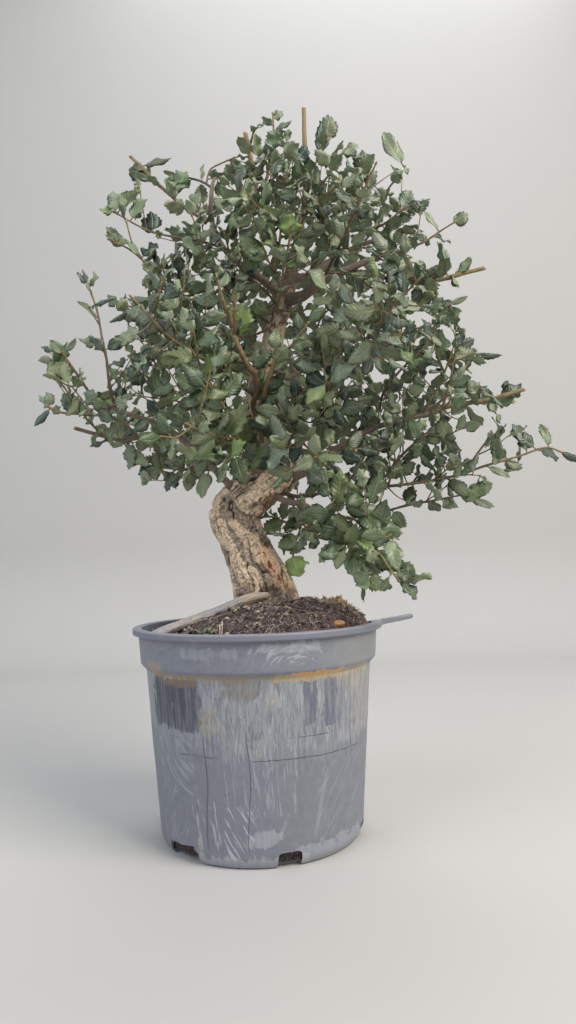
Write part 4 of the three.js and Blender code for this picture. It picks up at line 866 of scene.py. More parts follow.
def cloud(places, size, seed=0, octaves=3):
    """Smooth noise from about -1 to 1 with lumps of that size and finer ones on them."""
    total = np.zeros(len(places))
    weight = 1.0
    for octave in range(octaves):
        scaled = places / size * 2**octave + 17.3 * octave
        base = np.floor(scaled)
        part = scaled - base
        part = part * part * (3 - 2 * part)
        value = np.zeros(len(places))
        for corner in np.ndindex(2, 2, 2):
            share = np.prod(np.where(corner, part, 1 - part), axis=1)
            value += share * hashed(base + corner, seed + octave)
        total += weight * (2 * value - 1)
        weight *= 0.5
    return total


def cells(places, seed):
    """Distances to the nearest and the next nearest of scattered points, and the nearest one's number."""
    base = np.floor(places)
    nearest = np.full(len(places), 9.0)
    second = np.full(len(places), 9.0)
    number = np.zeros(len(places))
    for step in np.ndindex(3, 3, 3):
        lattice = base + np.array(step) - 1
        offset = np.stack([hashed(lattice, seed + axis) for axis in range(3)], axis=1)
        distance = np.linalg.norm(lattice + offset - places, axis=1)
        closer = distance < nearest
        second = np.where(closer, nearest, np.minimum(second, distance))
        number = np.where(closer, hashed(lattice, seed + 5), number)
        nearest = np.where(closer, distance, nearest)
    return nearest, second, number


def unit(vector):
    """The vector made one long."""
    return vector / np.linalg.norm(vector)


def near_line(places, line):
    """How far each place lies from a line through points, with depth counted little, as in a front view."""
    seen = [1, 0.15, 1]
    line = np.array(line, float) * seen
    places = places * seen
    best = np.full(len(places), 1e9)
    for start, end in zip(line[:-1], line[1:]):
        along = end - start
        share = np.clip((places - start) @ along / (along @ along), 0, 1)
        distance = np.linalg.norm(places - start - share[:, None] * along, axis=1)
        best = np.minimum(best, distance)
    return best


# Lines and tubes


def smooth_line(points, step):
    """A curve through rows of numbers, the first three a place, with a row each step or so."""
    points = np.array(points, float)
    padded = np.vstack([2 * points[0] - points[1], points, 2 * points[-1] - points[-2]])
    rows = []
    for i in range(len(points) - 1):
        before, start, end, after = padded[i : i + 4]
        count = max(1, round(np.linalg.norm(end[:3] - start[:3]) / step))
        for t in np.arange(count) / count:
            rows.append(
                0.5
                * (
                    2 * start
                    + (end - before) * t
                    + (2 * before - 5 * start + 4 * end - after) * t * t
                    + (3 * start - before - 3 * end + after) * t**3
                )
            )
    rows.append(points[-1])
    return np.array(rows)


def frames_along(line):
    """The way of a line at each point and two ways square to it, carried along without a twist."""
    ways = np.gradient(line, axis=0)
    ways /= np.linalg.norm(ways, axis=1)[:, None]
    start = np.array([0.0, -1.0, 0.0]) if abs(ways[0][1]) < 0.9 else np.array([1.0, 0.0, 0.0])
    sides = []
    side = start
    for way in ways:
        side = unit(side - way * (side @ way))
        sides.append(side)
    sides = np.array(sides)
    return ways, sides, np.cross(ways, sides)


def reach_along(line):
    """The length of a line up to each of its points."""
    return np.concatenate([[0], np.cumsum(np.linalg.norm(np.diff(line, axis=0), axis=1))])


class Shape:
    """Points, faces and values at the points, gathered for one mesh."""

    def __init__(self, **widths):
        self.points = []
        self.faces = []
        self.slots = []
        self.values = {name: [] for name in widths}
        self.widths = widths
        self.count = 0

    def add(self, points, faces, slot=0, **values):
        """Adds points in mm, faces that number them from 0, and values or rows of values for the points."""
        points = np.asarray(points, float)
        self.points.append(points)
        self.faces.extend([tuple(int(i) + self.count for i in face) for face in faces])
        slots = [slot] * len(faces) if np.isscalar(slot) else list(slot)
        self.slots.extend(slots)
        for name, width in self.widths.items():
            value = np.asarray(values.get(name, 0.0), float)
            shape = (len(points), width) if width > 1 else len(points)
            self.values[name].append(np.broadcast_to(value, shape))
        self.count += len(points)

    def mesh(self, name):
        """The mesh, in metres, with its values as point attributes."""
        made = bpy.data.meshes.new(name)
        made.from_pydata(np.concatenate(self.points) * MM, [], self.faces)
        made.polygons.foreach_set("material_index", np.array(self.slots, np.int32))
        for key, width in self.widths.items():
            values = np.concatenate(self.values[key]).astype(np.float32)
            store_values(made, key, values)
        return made


def store_values(mesh, name, values):
    """Keeps a number or a row of three for each point of a mesh."""
    kind, key = ("FLOAT", "value") if values.ndim == 1 else ("FLOAT_VECTOR", "vector")
    attribute = mesh.attributes.new(name, kind, "POINT")
    attribute.data.foreach_set(key, values.astype(np.float32).ravel())


def ring_faces(rings, sides, start=0):
    """Quads between rings of points that lie one after another."""
    faces = []
    for i in range(rings - 1):
        for k in range(sides):
            after = (k + 1) % sides
            a = start + i * sides
            faces.append((a + k, a + after, a + sides + after, a + sides + k))
    return faces


def end_faces(count, sides):
    """Triangles from the last two of count points to the first and the last ring of sides points."""
    first, last = count - 2, count - 1
    faces = []
    for k in range(sides):
        after = (k + 1) % sides
        faces.append((first, after, k))
        faces.append((last, first - sides + k, first - sides + after))
    return faces


def straightened(across, up, reach):
    """Places in a run of wood as if it were straight: across, up and along, with its two ends last."""
    along = np.broadcast_to(reach[:, None], across.shape)
    places = np.stack([across, up, along], axis=2).reshape(-1, 3)
    return np.vstack([places, [0, 0, reach[0]], [0, 0, reach[-1]]])


def tube(line, radii, sides):
    """Points, faces and straightened places of a closed tube."""
    line = np.asarray(line, float)
    ways, side, other = frames_along(line)
    reach = reach_along(line)
    angles = np.arange(sides) / sides * TAU
    radii = np.broadcast_to(np.asarray(radii, float), len(line))
    across = radii[:, None] * np.cos(angles)
    up = radii[:, None] * np.sin(angles)
    rings = line[:, None, :] + across[..., None] * side[:, None, :]
    rings = rings + up[..., None] * other[:, None, :]
    ends = [line[0] - ways[0] * radii[0] * 0.25, line[-1] + ways[-1] * radii[-1] * 0.25]
    points = np.vstack([rings.reshape(-1, 3), ends])
    faces = ring_faces(len(line), sides) + end_faces(len(points), sides)
    return points, faces, straightened(across, up, reach)


def join_scene(mesh, name, materials, node=None, sharp=None):
    """Puts a mesh into the scene as a piece of the part."""
    for material in materials:
        mesh.materials.append(material)
    mesh.polygons.foreach_set("use_smooth", np.ones(len(mesh.polygons), bool))
    if sharp is not None:
        mesh.set_sharp_from_angle(angle=math.radians(sharp))
    mesh.validate()
    mesh.update()
    piece = bpy.data.objects.new(name, mesh)
    bpy.context.scene.collection.objects.link(piece)
    if node is not None:
        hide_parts(node)
    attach(piece, "root")


def settled(mesh, *modifiers):
    """A mesh after modifiers, given as a kind and its settings."""
    carrier = bpy.data.objects.new("carrier", mesh)
    bpy.context.scene.collection.objects.link(carrier)
    for kind, settings in modifiers:
        modifier = carrier.modifiers.new(kind.lower(), kind)
        for name, value in settings.items():
            setattr(modifier, name, value)
    graph = bpy.context.evaluated_depsgraph_get()
    made = bpy.data.meshes.new_from_object(carrier.evaluated_get(graph))
    bpy.data.objects.remove(carrier)
    return made


def places_of(mesh):
    """The mesh's points in millimetres."""
    flat = np.empty(len(mesh.vertices) * 3, np.float32)
    mesh.vertices.foreach_get("co", flat)
    return flat.reshape(-1, 3).astype(float) / MM


def normals_of(mesh):
    """The ways that the mesh's points face."""
    flat = np.empty(len(mesh.vertices) * 3, np.float32)
    mesh.vertex_normals.foreach_get("vector", flat)
    return flat.reshape(-1, 3).astype(float)


def move_points(mesh, places):
    """Sets the mesh's points, given in millimetres."""
    mesh.vertices.foreach_set("co", (places * MM).astype(np.float32).ravel())
    mesh.update()


# Shader nodes


class Signal:
    """An output socket that can be added, multiplied and so on like a number."""

    def __init__(self, graph, socket):
        self.graph = graph
        self.socket = socket

    def __add__(self, other):
        return self.graph.math("ADD", self, other)

    def __sub__(self, other):
        return self.graph.math("SUBTRACT", self, other)

    def __rsub__(self, other):
        return self.graph.math("SUBTRACT", other, self)

    def __mul__(self, other):
        return self.graph.math("MULTIPLY", self, other)

    def __truediv__(self, other):
        return self.graph.math("DIVIDE", self, other)

    def __invert__(self):
        """The rest of a mask."""
        return self.graph.math("SUBTRACT", 1.0, self)

    __radd__ = __add__
    __rmul__ = __mul__


class Graph:
    """Adds nodes to one tree."""

    def __init__(self, tree):
        self.tree = tree

    def node(self, kind, **settings):
        """A new node with these settings."""
        made = self.tree.nodes.new(kind)
        for name, value in settings.items():
            setattr(made, name, value)
        return made

    def put(self, socket, value):
        """Links a signal to a socket, or sets a constant on it."""
        if isinstance(value, Signal):
            self.tree.links.new(value.socket, socket)
        elif isinstance(value, tuple) and len(value) == 3 and socket.type == "RGBA":
            socket.default_value = (*value, 1)
        else:
            socket.default_value = value

    def math(self, operation, *inputs):
        """A sum of one to three signals or numbers."""
        made = self.node("ShaderNodeMath", operation=operation)
        for socket, value in zip(made.inputs, inputs):
            self.put(socket, value)
        return Signal(self, made.outputs[0])

    def ramp(self, value, low, high):
        """A smooth rise from 0 to 1 between low and high."""
        made = self.node("ShaderNodeMapRange", interpolation_type="SMOOTHSTEP")
        for socket, entry in zip(made.inputs, (value, low, high, 0.0, 1.0)):
            self.put(socket, entry)
        return Signal(self, made.outputs[0])

    def span(self, value, low, high, soft):
        """1 between low and high with soft ends."""
        return self.ramp(value, low - soft, low + soft) * ~self.ramp(value, high - soft, high + soft)

    def mix(self, share, base, over):
        """One colour laid over another by a mask."""
        made = self.node("ShaderNodeMix", data_type="RGBA")
        self.put(made.inputs[0], share)
        self.put(made.inputs[6], base)
        self.put(made.inputs[7], over)
        return Signal(self, made.outputs[2])

    def value(self, name, vector=False):
        """A value stored at the mesh's points."""
        made = self.node("ShaderNodeAttribute", attribute_name=name)
        return Signal(self, made.outputs["Vector" if vector else "Fac"])

    def place(self):
        """The place in the part's own frame, in metres."""
        return Signal(self, self.node("ShaderNodeTexCoord").outputs["Object"])

    def parts(self, vector):
        """The three numbers of a vector."""
        made = self.node("ShaderNodeSeparateXYZ")
        self.put(made.inputs[0], vector)
        return [Signal(self, socket) for socket in made.outputs]

    def joined(self, x, y, z):
        """A vector of three signals or numbers."""
        made = self.node("ShaderNodeCombineXYZ")
        for socket, value in zip(made.inputs, (x, y, z)):
            self.put(socket, value)
        return Signal(self, made.outputs[0])

    def scaled(self, vector, factors):
        """A vector stretched by three factors."""
        made = self.node("ShaderNodeVectorMath", operation="MULTIPLY")
        self.put(made.inputs[0], vector)
        self.put(made.inputs[1], factors)
        return Signal(self, made.outputs[0])

    def noise(self, vector, scale, detail=3.0, roughness=0.55, distortion=0.0):
        """Cloudy noise from 0 to 1."""
        made = self.node("ShaderNodeTexNoise")
        self.put(made.inputs["Vector"], vector)
        for name, entry in (("Scale", scale), ("Detail", detail), ("Roughness", roughness)):
            made.inputs[name].default_value = entry
        made.inputs["Distortion"].default_value = distortion
        return Signal(self, made.outputs[0])

    def cracks(self, vector):
        """Distance to the nearest border between scattered cells, about one apart."""
        made = self.node("ShaderNodeTexVoronoi", feature="DISTANCE_TO_EDGE")
        self.put(made.inputs["Vector"], vector)
        made.inputs["Scale"].default_value = 1.0
        return Signal(self, made.outputs["Distance"])

    def group(self, name, **inputs):
        """A shared node group with its inputs set; its outputs by name."""
        made = self.node("ShaderNodeGroup", node_tree=shared_group(name))
        for key, value in inputs.items():
            self.put(made.inputs[key.replace("_", " ").capitalize()], value)
        return {socket.name: Signal(self, socket) for socket in made.outputs}

    def bump(self, height, distance, strength):
        """A normal from a height that stands for this distance in metres."""
        made = self.node("ShaderNodeBump")
        made.inputs["Strength"].default_value = strength
        made.inputs["Distance"].default_value = distance
        self.put(made.inputs["Height"], height)
        return Signal(self, made.outputs[0])

    def finish(self, **inputs):
        """The Principled shader with these inputs, linked to the output."""
        shader = self.node("ShaderNodeBsdfPrincipled")
        for key, value in inputs.items():
            self.put(shader.inputs[key.replace("_", " ").title()], value)
        output = self.node("ShaderNodeOutputMaterial")
        self.tree.links.new(shader.outputs[0], output.inputs[0])


def group_tree(name, inputs, outputs):
    """An empty node group with sockets: (name, kind) pairs. Gives the tree, its graph and its ends."""
    tree = bpy.data.node_groups.new(name, "ShaderNodeTree")
    for socket, kind in inputs:
        tree.interface.new_socket(socket, in_out="INPUT", socket_type="NodeSocket" + kind)
    for socket, kind in outputs:
        tree.interface.new_socket(socket, in_out="OUTPUT", socket_type="NodeSocket" + kind)
    graph = Graph(tree)
    entry = tree.nodes.new("NodeGroupInput")
    leave = tree.nodes.new("NodeGroupOutput")
    ins = {socket.name: Signal(graph, socket) for socket in entry.outputs if socket.name}
    return tree, graph, ins, leave


def mottle_group():
    """Soft patches, fine grains and scattered dark specks at one place."""
    outputs = [("Patches", "Float"), ("Grains", "Float"), ("Specks", "Float")]
    tree, graph, ins, leave = group_tree("Mottle", [("Place", "Vector"), ("Scale", "Float")], outputs)
    made = graph.node("ShaderNodeVectorMath", operation="SCALE")
    graph.put(made.inputs[0], ins["Place"])
    graph.put(made.inputs["Scale"], ins["Scale"])
    place = Signal(graph, made.outputs[0])
    graph.put(leave.inputs["Patches"], graph.ramp(graph.noise(place, 1.0, 4), 0.35, 0.65))
    graph.put(leave.inputs["Grains"], graph.noise(place, 9.0, 3))
    graph.put(leave.inputs["Specks"], graph.ramp(graph.noise(place, 14.0, 2), 0.62, 0.72))
    return tree


def streaks_group():
    """Lines that run one way: long strokes and thin scratches, from a place with z along them."""
    outputs = [("Strokes", "Float"), ("Scratches", "Float")]
    tree, graph, ins, leave = group_tree("Streaks", [("Place", "Vector"), ("Stretch", "Float")], outputs)
    x, y, z = graph.parts(ins["Place"])
    long = graph.joined(x, y, z / ins["Stretch"])
    graph.put(leave.inputs["Strokes"], graph.ramp(graph.noise(long, 1.0, 4, 0.6, 0.4), 0.38, 0.68))
    graph.put(leave.inputs["Scratches"], graph.ramp(graph.noise(long, 3.3, 3, 0.6, 0.6), 0.56, 0.66))
    return tree


def veins_group():
    """Midrib and side veins of a leaf blade, from its own place: along, across and a number of its own."""
    outputs = [("Midrib", "Float"), ("Veins", "Float"), ("Puff", "Float")]
    tree, graph, ins, leave = group_tree("Leaf veins", [("Blade", "Vector")], outputs)
    along, across, own = graph.parts(ins["Blade"])
    out = graph.math("ABSOLUTE", across)
    midrib = ~graph.ramp(out, 0.02, 0.09)
    bent = along * 7.5 - out * 1.5 + own * 3.0
    wave = graph.math("ABSOLUTE", graph.math("SINE", bent * math.pi))
    veins = ~graph.ramp(wave, 0.05, 0.3)
    graph.put(leave.inputs["Midrib"], midrib)
    graph.put(leave.inputs["Veins"], veins * ~graph.ramp(out, 0.75, 1.0))
    graph.put(leave.inputs["Puff"], wave * graph.ramp(out, 0.02, 0.25))
    return tree


SHARED = {"Mottle": mottle_group, "Streaks": streaks_group, "Leaf veins": veins_group}


def shared_group(name):
    """The node group of that name, built the first time it is asked for."""
    return bpy.data.node_groups.get(name) or SHARED[name]()


def new_material(name):
    """An empty material and its graph."""
    material = bpy.data.materials.new(name)
    material.use_nodes = True
    material.node_tree.nodes.clear()
    return material, Graph(material.node_tree)


# Materials


def pot_marks(graph):
    """Where a spot of the wall lies as seen from the front, in millimetres, and the noise that wears it."""
    place = graph.place()
    x, y, z = graph.parts(place)
    across = graph.math("ARCTAN2", x, 0.0 - y) * POT_UNROLLED
    height = z * 1000.0
    flat = graph.joined(across, 0.0, height)
    grain = graph.noise(flat, 0.11, 8, 0.66)
    drip = graph.ramp(graph.noise(graph.scaled(flat, (0.36, 1, 0.03)), 1.0, 5, 0.6), 0.4, 0.58)
    return {"place": place, "across": across, "height": height, "flat": flat, "grain": grain, "drip": drip}


def pot_patch(graph, marks, edges, soft, streaked):
    """A worn patch of the wall: its edges left, right, low and high, how soft they are and how streaked."""
    left, right, low, high = edges
    shape = graph.span(marks["across"], left, right, soft)
    shape = shape * graph.span(marks["height"], low, high, min(soft, (high - low) / 2))
    ragged = (marks["grain"] - 0.5) * 2.4 + (marks["drip"] - 0.5) * streaked * 0.5
    worn = graph.ramp(shape + ragged, 0.4, 0.62)
    return worn * (1.0 - streaked + marks["drip"] * streaked)


def pot_strokes(graph, marks, edges, lean, spacing, seed):
    """Thin brushed lines in a patch of the wall, leaning by millimetres across for each one up."""
    left, right, low, high = edges
    across = (marks["across"] - marks["height"] * lean) / spacing
    place = graph.joined(across, seed * 7.7, marks["height"] / (spacing * 9.0))
    lines = graph.ramp(graph.noise(place, 1.0, 4, 0.55, 0.3), 0.56, 0.6)
    shape = graph.span(marks["across"], left, right, 7.0) * graph.span(marks["height"], low, high, 5.0)
    return lines * graph.ramp(shape + (marks["grain"] - 0.5) * 1.2, 0.4, 0.7)


def pot_arcs(graph, marks, edges, centre, spacing):
    """Wiping marks that run in arcs about a point of the wall."""
    left, right, low, high = edges
    x = marks["across"] - centre[0]
    y = marks["height"] - centre[1]
    reach = graph.math("SQRT", x * x + y * y) / spacing
    turn = graph.math("ARCTAN2", y, x)
    lines = graph.ramp(graph.noise(graph.joined(reach, turn * 1.6, 4.0), 1.0, 3, 0.5, 0.2), 0.5, 0.6)
    shape = graph.span(marks["across"], left, right, 7.0) * graph.span(marks["height"], low, high, 6.0)
    return lines * graph.ramp(shape + (marks["grain"] - 0.5) * 1.0, 0.4, 0.7)


def pot_cracks(graph, marks):
    """Mask of the cracks that run down the wall and round it."""
    across, height, grain = marks["across"], marks["height"], marks["grain"]
    shake = (grain - 0.5) * 7.0
    bow = graph.math("SINE", height / 13.0) * 1.5
    cracks = 0.0
    for place, low, high, wide in CRACKS_DOWN:
        line = graph.math("ABSOLUTE", across - place + bow + shake * 0.4)
        line = ~graph.ramp(line, wide * 0.4, wide * 1.4) * graph.span(height, low, high, 7.0)
        cracks = graph.math("MAXIMUM", cracks, line)
    for level, left, right, wide in CRACKS_ROUND:
        line = graph.math("ABSOLUTE", height - level + shake * 0.5)
        line = ~graph.ramp(line, wide * 0.4, wide * 1.4) * graph.span(across, left, right, 5.0)
        cracks = graph.math("MAXIMUM", cracks, line * graph.ramp(grain, 0.4, 0.5))
    return cracks


def pot_material(looks):
    """Weathered grey-blue plastic: limescale drips, brushed strokes, stains and fine cracks."""
    material, graph = new_material("weathered pot plastic")
    marks = pot_marks(graph)
    height, grain, drip = marks["height"], marks["grain"], marks["drip"]
    mottle = graph.group("Mottle", place=marks["place"], scale=28.0)
    colour = graph.mix(graph.ramp(grain, 0.38, 0.6), tuple(looks.plastic), srgb(124, 127, 136))
    colour = graph.mix(graph.ramp(mottle["Grains"], 0.5, 0.7) * 0.3, colour, srgb(106, 110, 119))
    body = ~graph.ramp(height, 131, 134)
    level = height + (grain - 0.5) * 40.0 + drip * 16.0
    chalk = graph.ramp(level, 76, 112) * body * (0.55 + drip * 0.45)
    colour = graph.mix(chalk, colour, tuple(looks.chalk))
    colours = {"rust": tuple(looks.rust), "stain": tuple(looks.stain)}
    for edges, lean, spacing, share, tone in POT_STROKES:
        mask = pot_strokes(graph, marks, edges, lean, spacing, spacing + edges[0])
        colour = graph.mix(mask * share, colour, srgb(*tone))
    arcs = pot_arcs(graph, marks, (-92, -50, 48, 88), (-36, 100), 3.2)
    colour = graph.mix(arcs * 0.4, colour, srgb(166, 169, 177))
    swirls = pot_arcs(graph, marks, (-4, 50, 141, 156), (30, 132), 2.6)
    colour = graph.mix(swirls * 0.6, colour, srgb(172, 175, 183))
    collar = graph.ramp(height, 136.5, 138)
    colour = graph.mix(collar * graph.ramp(marks["across"], 40, 90) * 0.35, colour, srgb(150, 152, 140))
    lip = graph.ramp(height, POT_HEIGHT - LIP_HEIGHT - 0.4, POT_HEIGHT - LIP_HEIGHT + 0.6)
    colour = graph.mix(lip * 0.65, colour, srgb(112, 116, 128))
    # Painted highlight: a lighter band along the top edge of the lip.
    colour = graph.mix(graph.ramp(height, 161.6, 162.8) * 0.45, colour, srgb(152, 156, 166))
    for edges, soft, streaked, share, tone in POT_STAINS:
        mask = pot_patch(graph, marks, edges, soft, streaked)
        tone = colours[tone] if isinstance(tone, str) else srgb(*tone)
        colour = graph.mix(mask * share, colour, tone)
    cracks = pot_cracks(graph, marks)
    colour = graph.mix(cracks * 0.7, colour, srgb(70, 73, 84))
    chips = graph.ramp(graph.noise(marks["flat"], 0.42, 5, 0.7), 0.63, 0.68)
    colour = graph.mix(chips * 0.25, colour, srgb(172, 174, 179))
    colour = graph.mix(mottle["Specks"] * 0.18, colour, srgb(84, 86, 90))
    # Painted shade: the pot's floor, inside and underneath, is darkened where it lies less than 70 mm from
    # the middle.
    reach = graph.math("SQRT", graph.math("ADD", *squares(graph, marks["place"]))) * 1000.0
    colour = graph.mix(~graph.ramp(reach, 70, 75) * 0.6, colour, srgb(52, 54, 60))
    rough = 0.5 + mottle["Patches"] * 0.1 + chalk * 0.14
    relief = grain * 0.5 + mottle["Grains"] * 0.2 + drip * chalk * 0.3 - cracks * 1.2
    normal = graph.bump(relief, 0.0006, 0.55)
    graph.finish(base_color=colour, roughness=rough, normal=normal)
    return material


def squares(graph, place):
    """The squares of a place's first two numbers."""
    x, y, _ = graph.parts(place)
    return x * x, y * y


def soil_material(looks):
    """Dark peat with brown fibre and paler grit."""
    material, graph = new_material("peat root ball")
    place = graph.place()
    x, _, _ = graph.parts(place)
    mottle = graph.group("Mottle", place=place, scale=90.0)
    colour = graph.mix(graph.ramp(mottle["Grains"], 0.4, 0.66), tuple(looks.dark), tuple(looks.brown))
    reddish = graph.ramp(x, 0.015, 0.06) * mottle["Patches"]
    colour = graph.mix(reddish * 0.5, colour, srgb(136, 106, 96))
    colour = graph.mix(mottle["Specks"] * 0.5, colour, srgb(166, 146, 122))
    # Painted shade: the low spots between the crumbs, and the ball's side and underside, are darkened.
    hollow = ~graph.value("crest")
    colour = graph.mix(hollow * 0.65, colour, srgb(26, 20, 18))
    height = graph.noise(place, 900.0, 4, 0.7)
    graph.finish(base_color=colour, roughness=0.95, normal=graph.bump(height, 0.0012, 0.9))
    return material


def litter_material(name, light, dark, scale=700.0):
    """Small loose stuff whose pieces differ in tone by a value of their own."""
    material, graph = new_material(name)
    place = graph.place()
    mottle = graph.group("Mottle", place=place, scale=scale)
    colour = graph.mix(graph.value("own"), dark, light)
    colour = graph.mix(mottle["Patches"] * 0.45, colour, dark)
    graph.finish(base_color=colour, roughness=0.9, normal=graph.bump(mottle["Grains"], 0.0003, 0.6))
    return material


def cork_material(looks):
    """Cork: cream crests, grey crust, dark fissures and the rusty inner bark where it has opened."""
    material, graph = new_material("cork bark")
    straight = graph.value("straight", vector=True)
    crest, groove = graph.value("crest"), graph.value("groove")
    own, pale = graph.value("own"), graph.value("pale")
    coarse = graph.group("Mottle", place=straight, scale=0.06)
    fine = graph.group("Mottle", place=straight, scale=0.17)
    grain = graph.group("Streaks", place=graph.scaled(straight, (0.55, 0.55, 0.55)), stretch=4.0)
    grey = graph.mix(graph.ramp(coarse["Grains"], 0.35, 0.65), tuple(looks.crust), srgb(140, 124, 112))
    grey = graph.mix(grain["Strokes"] * 0.4, grey, srgb(186, 170, 146))
    cream = graph.mix(graph.ramp(coarse["Grains"], 0.4, 0.65), tuple(looks.cork), srgb(232, 196, 156))
    cream = graph.mix(graph.ramp(fine["Grains"], 0.5, 0.7) * 0.5, cream, srgb(250, 234, 208))
    share = pale * 0.8 + own * 0.4 + crest * 0.75 + coarse["Patches"] * 0.2
    colour = graph.mix(graph.ramp(share, 0.45, 1.0), grey, cream)
    lichen = graph.ramp(graph.noise(straight, 0.09, 4), 0.53, 0.62) * (1.0 - pale * 0.6)
    colour = graph.mix(lichen * 0.3, colour, srgb(178, 168, 136))
    splits = ~graph.ramp(graph.cracks(graph.scaled(straight, (0.2, 0.2, 0.42))), 0.005, 0.06)
    splits = splits * graph.ramp(coarse["Grains"], 0.4, 0.55)
    colour = graph.mix(splits * 0.4, colour, srgb(104, 84, 66))
    colour = graph.mix(graph.ramp(fine["Grains"], 0.62, 0.74) * 0.18, colour, srgb(124, 106, 88))
    across = graph.cracks(graph.scaled(straight, (0.16, 0.16, 0.62)))
    rungs = ~graph.ramp(across, 0.01, 0.08) * graph.ramp(coarse["Grains"], 0.42, 0.52)
    colour = graph.mix(rungs * 0.4, colour, srgb(104, 84, 66))
    colour = graph.mix(graph.value("peach") * 0.5, colour, srgb(246, 200, 154))
    colour = graph.mix(~groove * 0.95, colour, tuple(looks.fissure))
    rust = graph.mix(graph.ramp(fine["Grains"], 0.4, 0.6), tuple(looks.inner), srgb(148, 88, 56))
    colour = graph.mix(inner_bark(graph, fine), colour, rust)
    # Painted shade in the hollow at the foot, in the crotch and just above the soil line.
    colour = graph.mix(graph.value("shade") * 0.6, colour, srgb(66, 52, 48))
    height = fine["Grains"] * 0.5 + grain["Scratches"] * 0.5 - splits * 0.9 - rungs * 0.7 - ~groove * 0.6
    graph.finish(base_color=colour, roughness=0.9, normal=graph.bump(height, 0.001, 0.8))
    return material


def inner_bark(graph, fine):
    """Mask of the opened inner bark, broken up by the grain."""
    return graph.ramp(graph.value("inner") + (fine["Grains"] - 0.5) * 0.5, 0.3, 0.75)


def limb_material(looks):
    """Bark of the limbs: brown with a purple cast, flaking to tan cork on the thicker wood."""
    material, graph = new_material("limb bark")
    straight = graph.value("straight", vector=True)
    mottle = graph.group("Mottle", place=straight, scale=0.16)
    grain = graph.group("Streaks", place=graph.scaled(straight, (1.1, 1.1, 1.1)), stretch=5.0)
    colour = graph.mix(graph.ramp(mottle["Grains"], 0.4, 0.62), tuple(looks.limb), srgb(98, 82, 74))
    colour = graph.mix(grain["Strokes"] * 0.5, colour, srgb(160, 142, 128))
    _, _, z = graph.parts(graph.place())
    colour = graph.mix(graph.ramp(z, 0.51, 0.57) * 0.8, colour, srgb(150, 132, 92))
    stout = graph.value("stout")
    flakes = graph.ramp(graph.value("crest") * 0.6 + mottle["Patches"] * 0.5 + stout * 0.4, 0.55, 0.9)
    cork = graph.mix(graph.ramp(mottle["Grains"], 0.4, 0.62), tuple(looks.cork), srgb(176, 152, 122))
    colour = graph.mix(flakes * stout * 0.9, colour, cork)
    colour = graph.mix(~graph.value("groove") * 0.7, colour, tuple(looks.fissure))
    colour = graph.mix(mottle["Specks"] * 0.4, colour, srgb(186, 170, 150))
    height = grain["Strokes"] * 0.6 + mottle["Grains"] * 0.6
    graph.finish(base_color=colour, roughness=0.82, normal=graph.bump(height, 0.0006, 0.7))
    return material


def root_material():
    """The grey root over the soil, with lengthwise grain and cork left on it near the trunk."""
    material, graph = new_material("root bark")
    straight = graph.value("straight", vector=True)
    _, _, reach = graph.parts(straight)
    mottle = graph.group("Mottle", place=straight, scale=0.13)
    grain = graph.group("Streaks", place=graph.scaled(straight, (0.8, 0.8, 0.8)), stretch=7.0)
    colour = graph.mix(graph.ramp(mottle["Grains"], 0.4, 0.62), srgb(192, 189, 190), srgb(156, 150, 148))
    colour = graph.mix(grain["Strokes"] * 0.5, colour, srgb(222, 219, 218))
    cork = graph.ramp(graph.noise(straight, 0.2, 4, 0.6) + ~graph.ramp(reach, 12, 44) * 0.16, 0.56, 0.62)
    colour = graph.mix(cork * 0.8, colour, srgb(222, 200, 168))
    colour = graph.mix(grain["Scratches"] * 0.4, colour, srgb(104, 94, 88))
    colour = graph.mix(graph.value("dirt") * 0.8, colour, srgb(66, 54, 46))
    height = grain["Strokes"] * 0.8 + mottle["Grains"] * 0.5 + cork * 0.5
    graph.finish(base_color=colour, roughness=0.85, normal=graph.bump(height, 0.0012, 0.8))
    return material


def twig_material(looks):
    """Young wood: from purplish brown where it is old to olive tan at the tips, with pale pores."""
    material, graph = new_material("twig bark")
    straight = graph.value("blade", vector=True)
    mottle = graph.group("Mottle", place=graph.place(), scale=260.0)
    old = graph.mix(mottle["Patches"], srgb(104, 88, 78), srgb(76, 62, 56))
    young = graph.mix(mottle["Patches"], tuple(looks.twig), srgb(118, 100, 68))
    colour = graph.mix(graph.value("tint"), old, young)
    _, _, own = graph.parts(straight)
    colour = graph.mix(own * 0.3, colour, srgb(120, 124, 76))
    colour = graph.mix(mottle["Specks"] * 0.35, colour, srgb(196, 178, 146))
    graph.finish(base_color=colour, roughness=0.68, normal=graph.bump(mottle["Grains"], 0.0002, 0.6))
    return material


def cut_material():
    """Fresh pruned ends: pale wood with growth rings and a dark rim."""
    material, graph = new_material("cut wood")
    mottle = graph.group("Mottle", place=graph.place(), scale=900.0)
    colour = graph.mix(mottle["Patches"], srgb(216, 196, 168), srgb(184, 154, 120))
    colour = graph.mix(mottle["Specks"] * 0.5, colour, srgb(128, 98, 70))
    graph.finish(base_color=colour, roughness=0.8, normal=graph.bump(mottle["Grains"], 0.0002, 0.6))
    return material


